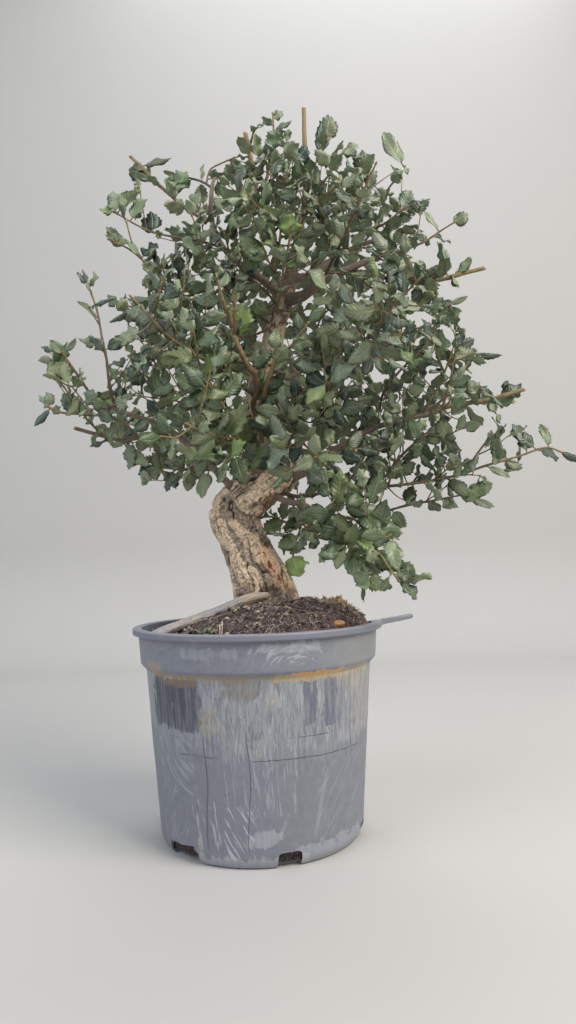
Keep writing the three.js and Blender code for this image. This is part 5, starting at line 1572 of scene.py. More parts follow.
def leaf_material(looks, upper):
    """A leathery blade: the upper side dark with a bluish sheen from its coat and a painted sheen, the
    under side pale and felted.
    """
    material, graph = new_material("leaf upper side" if upper else "leaf under side")
    veins = graph.group("Leaf veins", blade=graph.value("blade", vector=True))
    _, across, own = graph.parts(graph.value("blade", vector=True))
    tint = graph.value("tint")
    mottle = graph.group("Mottle", place=graph.place(), scale=160.0)
    if upper:
        # The lighter blades' colour is partly their own paler green and partly a painted bluish sheen.
        colour = graph.mix(graph.ramp(own, 0.1, 0.95), tuple(looks.upper), tuple(looks.upper_pale_and_sheen))
        other = graph.math("FRACT", own * 7.3)
        colour = graph.mix(graph.ramp(other, 0.45, 1.0) * 0.6, colour, srgb(104, 112, 66))
        colour = graph.mix(~graph.ramp(other, 0.0, 0.35) * 0.6, colour, srgb(48, 76, 66))
        colour = graph.mix(mottle["Patches"] * 0.25, colour, srgb(70, 90, 72))
        colour = graph.mix(graph.ramp(tint, 0.1, 1.0), colour, tuple(looks.young))
        colour = graph.mix(veins["Veins"] * 0.14, colour, srgb(128, 144, 108))
        colour = graph.mix(veins["Midrib"] * 0.34, colour, srgb(152, 164, 118))
        edge = graph.ramp(graph.math("ABSOLUTE", across), 0.9, 1.0)
        colour = graph.mix(edge * 0.2, colour, srgb(132, 138, 92))
        rough = 0.34 + mottle["Grains"] * 0.2
        height = veins["Puff"] * 1.1 - veins["Midrib"] * 1.0 + mottle["Grains"] * 0.3
    else:
        colour = graph.mix(own, tuple(looks.under), srgb(112, 134, 104))
        colour = graph.mix(graph.ramp(tint, 0.3, 1.0), colour, srgb(138, 162, 92))
        colour = graph.mix(veins["Veins"] * 0.35, colour, srgb(160, 172, 134))
        colour = graph.mix(veins["Midrib"] * 0.7, colour, srgb(176, 180, 132))
        rough = 0.72
        height = veins["Midrib"] * 1.0 + veins["Veins"] * 0.6 - veins["Puff"] * 0.3
    spots = mottle["Specks"] * graph.ramp(own, 0.6, 0.9)
    colour = graph.mix(spots * 0.4, colour, srgb(124, 104, 62))
    graph.finish(
        base_color=colour,
        roughness=rough,
        normal=graph.bump(height, 0.0005, 0.55),
        coat_weight=0.35 if upper else 0.0,
        coat_roughness=0.35,
    )
    return material


def stone_material():
    """An orange-tan pebble with darker flecks."""
    material, graph = new_material("orange pebble")
    mottle = graph.group("Mottle", place=graph.place(), scale=240.0)
    colour = graph.mix(mottle["Patches"], srgb(206, 156, 106), srgb(176, 122, 80))
    colour = graph.mix(mottle["Specks"] * 0.6, colour, srgb(112, 84, 64))
    graph.finish(base_color=colour, roughness=0.75, normal=graph.bump(mottle["Grains"], 0.0005, 0.7))
    return material


def floor_material(looks):
    """Plain pale floor and wall."""
    material, graph = new_material("pale floor")
    mottle = graph.group("Mottle", place=graph.place(), scale=9.0)
    colour = graph.mix(mottle["Patches"] * 0.06, tuple(looks.floor), srgb(200, 199, 196))
    graph.finish(base_color=colour, roughness=0.9)
    return material


# Pot


def tear_top(angle):
    """Height of the ragged wall where the lip has torn away, at an angle in degrees."""
    place = (angle - TEAR_START) / (TEAR_END - TEAR_START) * TEAR_STEPS
    low = int(np.clip(math.floor(place), 0, TEAR_STEPS - 1))
    teeth = [0.5 + abs(math.sin(i * 2.1)) for i in (low, low + 1)]
    tooth = teeth[0] + (teeth[1] - teeth[0]) * (place - low)
    share = place / TEAR_STEPS
    fine = 0.35 * math.sin(angle * 5.3) + 0.25 * math.sin(angle * 11.7)
    return POT_HEIGHT - TEAR_DIP * math.sin(math.pi * share) - TEAR_RAG * tooth - abs(fine)


def resampled(corners, count):
    """Points spread evenly along a line through corners, its ends kept."""
    corners = np.array(corners, float)
    reach = reach_along(corners)
    goals = np.linspace(0, reach[-1], count)
    return np.stack([np.interp(goals, reach, corners[:, axis]) for axis in range(corners.shape[1])], axis=1)


def pot_column(angle):
    """The wall's outline at an angle: (radius, height) from under the pot, over the lip and down inside."""
    lip_foot = POT_HEIGHT - LIP_HEIGHT
    outer = [
        (0, 0), (BASE_RADIUS - 1.5, 0), (BASE_RADIUS - 0.3, 0.5), (BASE_RADIUS + 0.7, 1.6),
        (HEEL_RADIUS - 0.6, HEEL - 1.4), (HEEL_RADIUS + 0.1, HEEL + 1),
    ]
    wall = resampled([(HEEL_RADIUS + 0.1, HEEL + 1), (SHOULDER_RADIUS, SHOULDER - 1)], 46)[1:]
    ledge = [
        (SHOULDER_RADIUS + 0.1, SHOULDER - 0.2), (SHOULDER_RADIUS + 0.8, SHOULDER + 0.6),
        (COLLAR_FOOT_RADIUS - 0.9, COLLAR_FOOT - 1.1), (COLLAR_FOOT_RADIUS - 0.1, COLLAR_FOOT),
        (COLLAR_FOOT_RADIUS + 0.05, COLLAR_FOOT + 1),
    ]
    collar = resampled([ledge[-1], (COLLAR_TOP_RADIUS, lip_foot - 1)], 9)[1:]
    inner_top = COLLAR_TOP_RADIUS - WALL
    if TEAR_START < angle < TEAR_END:
        top = tear_top(angle)
        edge = [
            (COLLAR_TOP_RADIUS, lip_foot - 1), (COLLAR_TOP_RADIUS, top - 0.3),
            (COLLAR_TOP_RADIUS - 0.4, top), (inner_top + 0.3, top + 0.3), (inner_top, top - 0.2),
            (inner_top - 0.05, 158.2),
        ]
    else:
        edge = [
            (COLLAR_TOP_RADIUS, lip_foot - 1), (COLLAR_TOP_RADIUS + 0.2, lip_foot - 0.2),
            (COLLAR_TOP_RADIUS + 0.9, lip_foot + 0.1), (RIM_RADIUS - 0.7, lip_foot + 0.1),
            (RIM_RADIUS - 0.15, lip_foot + 0.35), (RIM_RADIUS, lip_foot + 1),
            (RIM_RADIUS, POT_HEIGHT - 1.1), (RIM_RADIUS - 0.3, POT_HEIGHT - 0.35),
            (RIM_RADIUS - 1, POT_HEIGHT), (inner_top + 0.8, POT_HEIGHT),
            (inner_top + 0.15, POT_HEIGHT - 0.3), (inner_top, POT_HEIGHT - 1), (inner_top - 0.05, 158.2),
        ]
    lip = resampled(edge, 30)[1:]
    inside = [
        (COLLAR_FOOT_RADIUS - WALL, COLLAR_FOOT + WALL / 2), (SHOULDER_RADIUS - WALL, SHOULDER + WALL / 2),
        (HEEL_RADIUS - WALL, FLOOR), (0, FLOOR),
    ]
    return np.vstack([outer, wall, ledge, collar, lip, inside])


def pot_mesh():
    """The pot's wall with its lip, torn stretch and base, before the notches are cut."""
    shape = Shape()
    angles = list(np.arange(0, 360, 1.0))
    for edge in (TEAR_START % 360, TEAR_END):
        angles.extend([edge - 0.04, edge + 0.04])
    angles = sorted(a for a in angles if a not in (TEAR_START % 360, TEAR_END))
    columns = []
    for angle in angles:
        signed = angle - 360 if angle > 180 else angle
        outline = pot_column(signed)
        turn = math.radians(angle)
        columns.append([(r * math.cos(turn), r * math.sin(turn), z) for r, z in outline])
    columns = np.array(columns)
    rows = columns.shape[1]
    points = columns[:, 1:-1].reshape(-1, 3)
    faces = []
    inner_rows = rows - 2
    for i in range(len(angles)):
        after = (i + 1) % len(angles)
        for k in range(inner_rows - 1):
            a, b = i * inner_rows + k, after * inner_rows + k
            faces.append((a, b, b + 1, a + 1))
    under = len(points)
    points = np.vstack([points, [0, 0, 0], [0, 0, FLOOR]])
    for i in range(len(angles)):
        after = (i + 1) % len(angles)
        faces.append((under, after * inner_rows, i * inner_rows))
        faces.append((under + 1, i * inner_rows + inner_rows - 1, after * inner_rows + inner_rows - 1))
    radius = np.hypot(points[:, 0], points[:, 1])
    lift = (points[:, 2] > 8) & (radius > 70)
    dents = cloud(points, 38.0, 3, 2) * 0.28 + cloud(points, 9.0, 4, 2) * 0.07
    points[:, :2] *= (1 + (dents * lift) / np.maximum(radius, 1))[:, None]
    nicks = np.clip(cloud(points, 5.0, 9, 2) - 0.75, 0, 1) * (points[:, 2] > POT_HEIGHT - 1.2)
    points[:, 2] -= nicks * 1.6
    shape.add(points, faces)
    return shape.mesh("pot wall")


def rounded(angle, power):
    """A point of a square with rounded corners, one from its middle to a side; a low power squares it."""
    x, y = math.cos(angle), math.sin(angle)
    return math.copysign(abs(x) ** power, x), math.copysign(abs(y) ** power, y)


def notch_cutters():
    """Rounded blocks that cut the drain notches; the one at the front left is broken wider."""
    shape = Shape()
    for index in range(NOTCHES):
        turn = math.radians(FIRST_NOTCH + index * 360 / NOTCHES)
        broken, width = (2.2, BROKEN_NOTCH_WIDTH) if index == 0 else (0.3, NOTCH_WIDTH)
        outline = []
        for k in range(36):
            corner = k / 36 * TAU
            round_x, round_z = rounded(corner, 0.28)
            rough = broken * (0.6 * math.sin(5 * corner + 1) + 0.5 * math.sin(11 * corner)) * (round_z > 0)
            outline.append((round_x * (width / 2 + 0.3 * rough), round_z * NOTCH_HEIGHT + rough * 0.7))
        rings = []
        for depth in (HEEL_RADIUS + 1 - NOTCH_DEPTH, HEEL_RADIUS + 6):
            for across, up in outline:
                x = depth * math.cos(turn) - across * math.sin(turn)
                y = depth * math.sin(turn) + across * math.cos(turn)
                rings.append((x, y, up))
        faces = ring_faces(2, 36)
        faces.append(tuple(reversed(range(36))))
        faces.append(tuple(range(36, 72)))
        shape.add(rings, [tuple(reversed(face)) for face in faces])
    return shape.mesh("notch cutters")


def strip_mesh():
    """The freed strip of lip: a ribbon on edge with round corners, springing out from the lip's end."""
    rows = [(*place, tall) for place, tall in zip(STRIP_ROUTE, STRIP_HEIGHTS)]
    line = smooth_line(rows, 1.2)
    centres, tall = line[:, :3], line[:, 3]
    ways, _, _ = frames_along(centres)
    points = []
    sides = 16
    for i, centre in enumerate(centres):
        out = unit(np.array([ways[i][1], -ways[i][0], 0.0]))
        wear = 1 + 0.06 * math.sin(i * 1.9) + 0.05 * math.sin(i * 0.7)
        for k in range(sides):
            across, up = rounded(k / sides * TAU, 0.45)
            rise = np.array([0, 0, up * tall[i] / 2 * wear])
            points.append(centre + out * across * STRIP_THICKNESS / 2 + rise)
    faces = [tuple(reversed(face)) for face in ring_faces(len(centres), sides)]
    faces.append(tuple(range(sides)))
    last = (len(centres) - 1) * sides
    faces.append(tuple(reversed(range(last, last + sides))))
    shape = Shape()
    shape.add(points, faces)
    return shape.mesh("torn strip")


def facing_out(mesh):
    """The mesh with its faces turned outwards."""
    bm = bmesh.new()
    bm.from_mesh(mesh)
    bmesh.ops.recalc_face_normals(bm, faces=bm.faces)
    bm.to_mesh(mesh)
    bm.free()
    return mesh


def build_pot(looks):
    """The pot and its torn strip of lip."""
    plastic = pot_material(looks)
    cutter = bpy.data.objects.new("cutter", facing_out(notch_cutters()))
    bpy.context.scene.collection.objects.link(cutter)
    wall = settled(facing_out(pot_mesh()), ("BOOLEAN", {"object": cutter, "operation": "DIFFERENCE"}))
    bpy.data.objects.remove(cutter)
    wall.materials.clear()
    join_scene(wall, "pot_wall", [plastic], node="pot", sharp=38)
    join_scene(facing_out(strip_mesh()), "torn_lip_strip", [plastic], sharp=50)


# Soil and what lies on it


def soil_height(x, y):
    """Height of the root ball's top: a mound, steep to the right and easy to the left."""
    reach = np.hypot((x - MOUND_CENTRE) / MOUND_LENGTH, y / MOUND_WIDTH)
    steepness = MOUND_STEEPNESS + MOUND_LEAN * np.tanh((x - MOUND_CENTRE) / 25)
    lumps = np.sin(x / 7 + 1) * np.sin(y / 8) + 0.6 * np.sin(x / 3.7 + y / 5)
    return SOIL_EDGE + SOIL_RISE * np.maximum(0, 1 - reach**steepness) + SOIL_LUMPS * lumps


def soil_points(x, y):
    """Heights of the crumbly surface, and how high each place stands among its neighbours, 0 to 1."""
    flat = np.stack([x, y, np.zeros(len(x))], axis=1)
    coarse = cloud(flat, 9.0, 21, 3)
    nearest, second, number = cells(flat / 3.4, 31)
    crumbs = ramp(second - nearest, 0.0, 0.5) * (0.4 + 0.8 * number)
    fine = cloud(flat, 1.7, 25, 2)
    height = soil_height(x, y) + 1.1 * coarse + 1.3 * (crumbs - 0.5) + 0.45 * fine
    edge = ramp(np.hypot(x, y), 84, 91.5)
    height = height - edge * 1.5
    crest = np.clip(0.5 + 0.28 * coarse + 0.55 * (crumbs - 0.4) + 0.2 * fine, 0, 1)
    return height, crest


def soil_mesh():
    """The fine surface of the root ball, closed by its side and underside inside the pot."""
    rings, sides = SOIL_RINGS, SOIL_SIDES
    edge = COLLAR_TOP_RADIUS - WALL - 0.35
    radii = edge * (np.arange(1, rings + 1) / rings) ** 0.82
    angles = np.arange(sides) / sides * TAU
    x = (radii[:, None] * np.cos(angles)).ravel()
    y = (radii[:, None] * np.sin(angles)).ravel()
    height, crest = soil_points(x, y)
    points = np.stack([x, y, height], axis=1)
    faces = ring_faces(rings, sides)
    middle_height, _ = soil_points(np.zeros(1), np.zeros(1))
    lower = []
    for radius, level in SOIL_SIDE:
        for angle in angles:
            lower.append((radius * math.cos(angle), radius * math.sin(angle), level))
    faces += ring_faces(4, sides, (rings - 1) * sides)
    points = np.vstack([points, lower, [0, 0, middle_height[0]], [0, 0, SOIL_UNDERSIDE]])
    top, under = len(points) - 2, len(points) - 1
    base = (rings + 2) * sides
    for k in range(sides):
        after = (k + 1) % sides
        faces.append((top, k, after))
        faces.append((under, base + after, base + k))
    crest = np.concatenate([crest, np.full(3 * sides + 2, 0.3)])
    shape = Shape(crest=1)
    shape.add(points, faces, crest=crest)
    return facing_out(shape.mesh("root ball"))


# The grid of surface heights, kept by soil_top once it is made.
SURFACE = []


def crumb(centre, size, draw):
    """A small angular lump: a squashed octahedron with its corners pushed about."""
    corners = np.array([(1, 0, 0), (-1, 0, 0), (0, 1, 0), (0, -1, 0), (0, 0, 1), (0, 0, -1)], float)
    corners *= [0.6 + 0.7 * draw(), 0.5 + 0.6 * draw(), 0.4 + 0.4 * draw()]
    corners += [[(draw() - 0.5) * 0.5 for _ in range(3)] for _ in range(6)]
    turn = draw() * TAU
    spin = np.array([[math.cos(turn), -math.sin(turn), 0], [math.sin(turn), math.cos(turn), 0], [0, 0, 1]])
    tip = (draw() - 0.5) * 1.2
    lean = np.array([[1, 0, 0], [0, math.cos(tip), -math.sin(tip)], [0, math.sin(tip), math.cos(tip)]])
    faces = [(0, 2, 4), (2, 1, 4), (1, 3, 4), (3, 0, 4), (2, 0, 5), (1, 2, 5), (3, 1, 5), (0, 3, 5)]
    return centre + corners @ (spin @ lean).T * size, faces


def on_soil(draw, reach=90.0):
    """A spot on the soil drawn at random, clear of the trunk."""
    while True:
        radius, angle = reach * math.sqrt(draw()), draw() * TAU
        x, y = radius * math.cos(angle), radius * math.sin(angle)
        if math.hypot(x - TRUNK_FOOT[0], y - TRUNK_FOOT[1]) > CLEAR_OF_TRUNK:
            return x, y


def soil_top(x, y):
    """The crumbly surface's height at one spot, from a grid of heights that is made once."""
    if not SURFACE:
        side = np.arange(-100, 100.1, 0.5)
        across, along = np.meshgrid(side, side, indexing="ij")
        SURFACE.append(soil_points(across.ravel(), along.ravel())[0].reshape(across.shape))
    return float(SURFACE[0][round((x + 100) * 2), round((y + 100) * 2)])


def build_crumbs(count):
    """Grit, bark bits and pale splinters scattered over the root ball, more of them by the trunk."""
    draw = seeded(901)
    shape = Shape(own=1)
    for i in range(count):
        x, y = on_soil(draw)
        if i % 4 == 0:
            angle = draw() * TAU
            out = 24 + 14 * draw() ** 2
            x, y = TRUNK_FOOT[0] + out * math.cos(angle), TRUNK_FOOT[1] + out * math.sin(angle)
        size = 0.6 + 2.3 * draw() ** 3
        centre = np.array([x, y, soil_top(x, y) + 0.3 * size])
        points, faces = crumb(centre, size, draw)
        shape.add(points, faces, own=draw() ** 2)
    stuff = litter_material("grit and bark bits", srgb(222, 202, 172), srgb(58, 46, 46))
    join_scene(facing_out(shape.mesh("grit")), "grit_and_bark_bits", [stuff], sharp=30)


def hair_line(draw, x, y, length):
    """A curly run over the soil from a spot."""
    line = []
    heading = draw() * TAU
    lift = 0.3 + 2.4 * draw() ** 2
    for i in range(HAIR_POINTS):
        share = i / (HAIR_POINTS - 1)
        line.append((x, y, soil_top(x, y) + 0.1 + lift * math.sin(math.pi * share)))
        heading += (draw() - 0.5) * HAIR_CURL
        x += math.cos(heading) * length / HAIR_POINTS
        y += math.sin(heading) * length / HAIR_POINTS
        reach = math.hypot(x, y)
        if reach > 90:
            x, y = x * 90 / reach, y * 90 / reach
    return np.array(line)


def build_root_hairs(count):
    """Fine roots that felt the surface of the root ball, brown to cream, some of them curling up."""
    draw = seeded(77)
    shape = Shape(own=1)
    for i in range(count):
        x, y = on_soil(draw, 86)
        thick = 0.17 + 0.24 * draw() ** 2
        line = hair_line(draw, x, y, 7 + 15 * draw())
        points, faces, _ = tube(line, np.linspace(thick, thick * 0.5, len(line)), 3)
        shape.add(points, faces, own=draw() ** 1.2)
    for x, y in HANGING_ROOTS:
        low = soil_top(x, y)
        end = soil_top(x, y - 9)
        line = smooth_line([(x, y, low + 5), (x + 0.5, y - 4, low + 2), (x + 0.4, y - 9, end + 0.4)], 1.5)
        points, faces, _ = tube(line, np.linspace(0.55, 0.3, len(line)), 5)
        shape.add(points, faces, own=0.95)
    stuff = litter_material("root hairs", srgb(218, 200, 190), srgb(100, 82, 78), 500.0)
    join_scene(shape.mesh("root hairs"), "fine_root_hairs", [stuff])


def build_moss(count):
    """A yellow-tan tuft of dry moss on the mound, thinner round its edge."""
    draw = seeded(55)
    shape = Shape(own=1)
    for i in range(count):
        spread = 7.5 if i % 5 else 14
        x = MOSS_PLACE[0] + (draw() - 0.5) * 2 * spread
        y = MOSS_PLACE[1] + (draw() - 0.5) * 2 * spread
        base = soil_top(x, y) - 0.5
        off = math.hypot(x - MOSS_PLACE[0], y - MOSS_PLACE[1])
        tall = (3.4 + 6.0 * draw()) * (1.15 - 0.6 * off / spread)
        lean = draw() * TAU
        bow = 1.5 + 1.8 * draw()
        s = np.array([0, 0.35, 0.7, 1])
        bent = bow * s * s
        steps = np.stack([x + math.cos(lean) * bent, y + math.sin(lean) * bent, base + tall * s], axis=1)
        width = 0.35 + 0.3 * draw()
        points, faces, _ = tube(steps, np.array([0.7, 1.1, 1.4, 0.5]) * width, 4)
        shape.add(points, faces, own=draw())
    stuff = litter_material("dry moss", srgb(196, 172, 118), srgb(126, 96, 58), 900.0)
    join_scene(facing_out(shape.mesh("moss")), "moss_tuft", [stuff])


def build_pebble():
    """The orange-tan pebble, rounded and pitted."""
    shape = Shape()
    rings, sides = 14, 20
    points = []
    for i in range(1, rings):
        tilt = math.pi * i / rings
        for k in range(sides):
            turn = k / sides * TAU
            out = math.sin(tilt)
            points.append((out * math.cos(turn), out * math.sin(turn), -math.cos(tilt)))
    points = np.array(points + [(0, 0, -1), (0, 0, 1)], float)
    faces = ring_faces(rings - 1, sides) + end_faces(len(points), sides)
    points *= (0.94 + 0.07 * cloud(points, 0.7, 41, 3))[:, None]
    x, y = PEBBLE_PLACE
    low = float(soil_height(np.array([x]), np.array([y]))[0])
    points = points * PEBBLE_RADII + [x, y - 1, low - PEBBLE_SUNK]
    shape.add(points, faces)
    stone = facing_out(shape.mesh("pebble"))
    join_scene(stone, "orange_pebble", [stone_material()], node="pebble")


def build_soil(looks):
    """The root ball."""
    join_scene(soil_mesh(), "root_ball", [soil_material(looks)], node="soil")


# Trunk, limbs and surface root


def remeshed(shape, size):
    """The shape's overlapping closed tubes fused into one skin with faces of about that size."""
    mesh = facing_out(shape.mesh("wood"))
    return settled(mesh, ("REMESH", {"mode": "VOXEL", "voxel_size": size * MM, "adaptivity": 0.0}))


def nearest_axis(places, lines):
    """For each place, that place as if the nearest line were straight, and the line's radius there.

    The distance to each line is counted in its own radii.
    """
    rows = []
    for number, line in enumerate(lines):
        smooth = smooth_line(line, 2.0)
        ways, side, other = frames_along(smooth[:, :3])
        reach = reach_along(smooth[:, :3]) + 400.0 * number
        rows.append(np.column_stack([smooth, side, other, reach]))
    rows = np.vstack(rows)
    found = np.empty(len(places), int)
    for start in range(0, len(places), 4000):
        block = places[start : start + 4000]
        distance = np.linalg.norm(block[:, None, :] - rows[None, :, :3], axis=2) / rows[:, 3]
        found[start : start + 4000] = np.argmin(distance, axis=1)
    near = rows[found]
    off = places - near[:, :3]
    across = np.einsum("ij,ij->i", off, near[:, 4:7])
    up = np.einsum("ij,ij->i", off, near[:, 7:10])
    along = np.cross(near[:, 4:7], near[:, 7:10])
    reach = near[:, 10] + np.einsum("ij,ij->i", off, along)
    return np.stack([across, up, reach], axis=1), near[:, 3]


def cork_relief(straight, seed, coarse=1.0):
    """Cork along straightened wood: height, groove and own tone for each place, about 0 to 1.

    Long winding ridges of thick cork stand over calmer bark, split across and into flakes.
    """
    warp = np.stack([cloud(straight, 12.0, seed + 50 + axis, 3) for axis in range(3)], axis=1)
    bent = (straight + warp * [2.2, 2.2, 3.2]) / coarse
    flow = cloud(bent * [1, 1, 0.24], 8.5, seed, 3)
    raised = ramp(flow, -0.12, 0.34)
    seam = 1 - ramp(np.abs(flow + 0.1), 0.03, 0.11)
    seam = seam * ramp(cloud(bent, 10.0, seed + 33, 3), -0.35, 0.15)
    furrow = 1 - ramp(np.abs(cloud(bent * [1, 1, 0.3], 5.0, seed + 41, 2)), 0.02, 0.14)
    furrow = furrow * ramp(cloud(bent, 11.0, seed + 43, 3), -0.2, 0.3)
    split = 1 - ramp(np.abs(cloud(bent * [0.5, 0.5, 1.5], 6.5, seed + 9, 3)), 0.01, 0.09)
    split = split * ramp(cloud(bent, 7.0, seed + 12, 3), -0.15, 0.25) * (0.3 + 0.7 * raised)
    block = cloud(bent * [0.8, 0.8, 1.3], 4.2, seed + 16, 2)
    layer = cloud(bent * [1, 1, 0.6], 6.0, seed + 20, 4) * 2.0
    flake = (np.floor(layer) + ramp(layer - np.floor(layer), 0.0, 0.22)) / 4
    rough = cloud(bent * [1, 1, 0.6], 1.8, seed + 27, 2)
    height = 0.26 + 0.42 * raised + 0.1 * block + 0.14 * flake + 0.07 * rough
    height = height - 0.42 * seam - 0.22 * furrow - 0.26 * split
    groove = 1 - np.clip(np.maximum(seam, 0.75 * furrow) + 0.6 * split, 0, 1)
    return np.clip(height, 0, 1.1), groove, np.clip(0.5 + 0.5 * block + 0.35 * flow, 0, 1)


def build_trunk(looks):
    """The leaning lower trunk and the upper trunk, in deep cork."""
    base = Shape()
    for table in (LOWER_TRUNK, UPPER_TRUNK):
        line = smooth_line(table, 3.0)
        points, faces, _ = tube(line[:, :3], line[:, 3] - 0.4, 40)
        base.add(points, faces)
    for place in smooth_line(KNEE, 2.0):
        ball = np.array([place[:3] + [0, 0, level] for level in KNEE_LEVELS])
        points, faces, _ = tube(ball, KNEE_RADII, 24)
        base.add(points, faces)
    mesh = remeshed(base, TRUNK_GRAIN)
    places, normals = places_of(mesh), normals_of(mesh)
    straight, _ = nearest_axis(places, [LOWER_TRUNK, UPPER_TRUNK])
    height, groove, own = cork_relief(straight, 3)
    from_streak = near_line(places, INNER_STREAK) + 1.2 * cloud(places, 3.2, 6, 3)
    streak = 1 - ramp(from_streak, 0.4, 1.8)
    peach = 1 - ramp(from_streak, 1.5, 8.0)
    plate = 1 - ramp(near_line(places, FLAT_PLATE), 5.0, 10.0)
    hollow = 1 - ramp(near_line(places, HOLLOW) + 2.2 * cloud(places, 3.0, 8, 3), 2.5, 6.0)
    crotch = 1 - ramp(near_line(places, CROTCH) + 1.6 * cloud(places, 3.0, 12, 3), 2.0, 5.5)
    pale = np.zeros(len(places))
    for ridge in PALE_RIDGES:
        wobble = 0.9 * cloud(places, 9.0, 14, 2)
        pale = np.maximum(pale, 1 - ramp(near_line(places, ridge) + wobble, 2.6, 5.4))
    calm = plate * 0.35
    relief = height * (1 - calm) + 0.72 * calm
    relief = relief + 0.42 * pale * (1 - calm) - 0.6 * streak - 0.8 * hollow - 0.5 * crotch
    rise = ramp(places[:, 2], 170, 184)
    depth = TRUNK_RELIEF * (relief - 0.5) * (0.5 + 0.5 * rise)
    places = places + normals * depth[:, None]
    move_points(mesh, places)
    store_values(mesh, "straight", straight)
    store_values(mesh, "crest", np.clip(height + 0.2 * pale, 0, 1))
    store_values(mesh, "groove", groove)
    store_values(mesh, "own", own)
    store_values(mesh, "pale", np.clip(np.maximum(pale, plate), 0, 1))
    store_values(mesh, "inner", np.clip(streak + crotch * 0.5, 0, 1))
    store_values(mesh, "peach", np.clip(peach + crotch * 0.6, 0, 1))
    # Painted shade: the hollow at the foot, the crotch and the wood just above the soil line are darkened.
    soil_line_shade = 1 - ramp(places[:, 2] + 2 * cloud(places, 6.0, 17, 2), 176, 186)
    store_values(mesh, "shade", np.clip(hollow + crotch * 0.3 + soil_line_shade * 0.4, 0, 1))
    join_scene(mesh, "cork_trunk", [cork_material(looks)], node="trunk")


def limb_table(limb):
    """A limb's points with the radius at each, from its foot to its end."""
    last = len(limb["route"]) - 1
    rows = []
    for i, point in enumerate(limb["route"]):
        radius = limb["foot"] + (limb["end"] - limb["foot"]) * i / last
        rows.append((*point, radius))
    return rows


def build_limbs(looks):
    """The leader and the limbs that carry the shoots, fused into one skin."""
    lines = [LEADER] + [limb_table(limb) for limb in LIMBS]
    base = Shape()
    for number, table in enumerate(lines):
        line = smooth_line(table, 3.0)
        radii = line[:, 3].copy()
        if number:
            reach = reach_along(line[:, :3])
            radii *= 1 + 0.4 * np.exp(-reach / 6.0)
            knots = 0.07 * np.maximum(0, np.sin(reach / 6.5 + number)) ** 4
            radii *= 1 + knots
        line[:, :3] += np.stack([cloud(line[:, :3], 22.0, 60 + axis, 2) for axis in range(3)], axis=1) * 0.5
        points, faces, _ = tube(line[:, :3], radii - 0.1, 14)
        base.add(points, faces)
    mesh = remeshed(base, LIMB_GRAIN)
    places, normals = places_of(mesh), normals_of(mesh)
    straight, radius = nearest_axis(places, lines)
    stout = ramp(radius, 4.6, 9.5)
    height, groove, own = cork_relief(straight, 5, 0.6)
    wrinkle = cloud(straight * [1, 1, 0.3], 1.5, 71, 2)
    depth = stout * LIMB_RELIEF * (height - 0.5) + (1 - stout) * TWIG_RELIEF * wrinkle
    move_points(mesh, places + normals * depth[:, None])
    store_values(mesh, "straight", straight)
    store_values(mesh, "crest", height)
    store_values(mesh, "groove", np.clip(groove + (1 - stout), 0, 1))
    store_values(mesh, "stout", stout)
    join_scene(mesh, "leader_and_limbs", [limb_material(looks)])
    build_apex_cut(line[:, :3], lines[-1][-1][3])


def build_apex_cut(line, radius):
    """The pale pruned end of the tree's top, a thin disc on the end of its line."""
    line = np.array([line[-1], line[-1] + unit(line[-1] - line[-2]) * 0.9])
    points, faces, _ = tube(line, [radius * 1.02, radius * 0.98], 16)
    shape = Shape()
    shape.add(points, faces)
    join_scene(facing_out(shape.mesh("cut ends")), "apex_cut_end", [cut_material()], sharp=40)


def build_root():
    """The grey root that runs from the trunk's foot over the soil to the rim."""
    rows = smooth_line(ROOT, 0.9)
    centres = rows[:, :3]
    ways, _, _ = frames_along(centres)
    reach = reach_along(centres)
    sides = 56
    angles = np.arange(sides) / sides * TAU
    side = np.stack([-ways[:, 1], ways[:, 0], np.zeros(len(ways))], axis=1)
    side /= np.linalg.norm(side, axis=1)[:, None]
    rise = np.cross(ways, side)
    across = rows[:, 3:4] * np.cos(angles)
    up = rows[:, 4:5] * np.sin(angles)
    straight = straightened(across, up, reach)
    grain = cloud(straight[:-2] * [1, 1, 0.12], 2.2, 81, 3)
    ripple = cloud(straight[:-2] * [1, 1, 0.5], 6.0, 84, 2)
    relief = (1 + (0.13 * grain + 0.13 * ripple)).reshape(across.shape)
    points = centres[:, None, :] + (across * relief)[..., None] * side[:, None, :]
    points = (points + (up * relief)[..., None] * rise[:, None, :]).reshape(-1, 3)
    points = np.vstack([points, centres[0] - ways[0] * 2, centres[-1] + ways[-1] * 2.5])
    faces = ring_faces(len(centres), sides) + end_faces(len(points), sides)
    low = soil_height(points[:, 0], points[:, 1])
    dirt = 1 - ramp(points[:, 2] - low + cloud(points, 5.0, 87, 2), -0.5, 2.2)
    shape = Shape(straight=3, dirt=1)
    shape.add(points, faces, straight=straight, dirt=dirt)
    join_scene(facing_out(shape.mesh("surface root")), "surface_root", [root_material()])


# Shoots and leaves: the same rule and the same draws as the part's own source


class Route:
    """A line through points, read by the share of its length."""

    def __init__(self, points):
        self.points = [np.array(point, float) for point in points]
        self.reach = [0.0]
        for start, end in zip(self.points[:-1], self.points[1:]):
            self.reach.append(self.reach[-1] + float(np.linalg.norm(end - start)))
        self.length = self.reach[-1]

    def at(self, share):
        """The place at a share of the length and the way the line runs there."""
        goal = min(max(share, 0), 1) * self.length
        i = 0
        while i < len(self.points) - 2 and self.reach[i + 1] <= goal:
            i += 1
        part = (goal - self.reach[i]) / (self.reach[i + 1] - self.reach[i])
        start, end = self.points[i], self.points[i + 1]
        return start + (end - start) * part, unit(end - start)


def cross_axes(way):
    """Two ways square to a line."""
    up = np.array([0.0, 1.0, 0.0]) if abs(way[2]) > 0.95 else np.array([0.0, 0.0, 1.0])
    a = unit(np.cross(way, up))
    return a, np.cross(way, a)


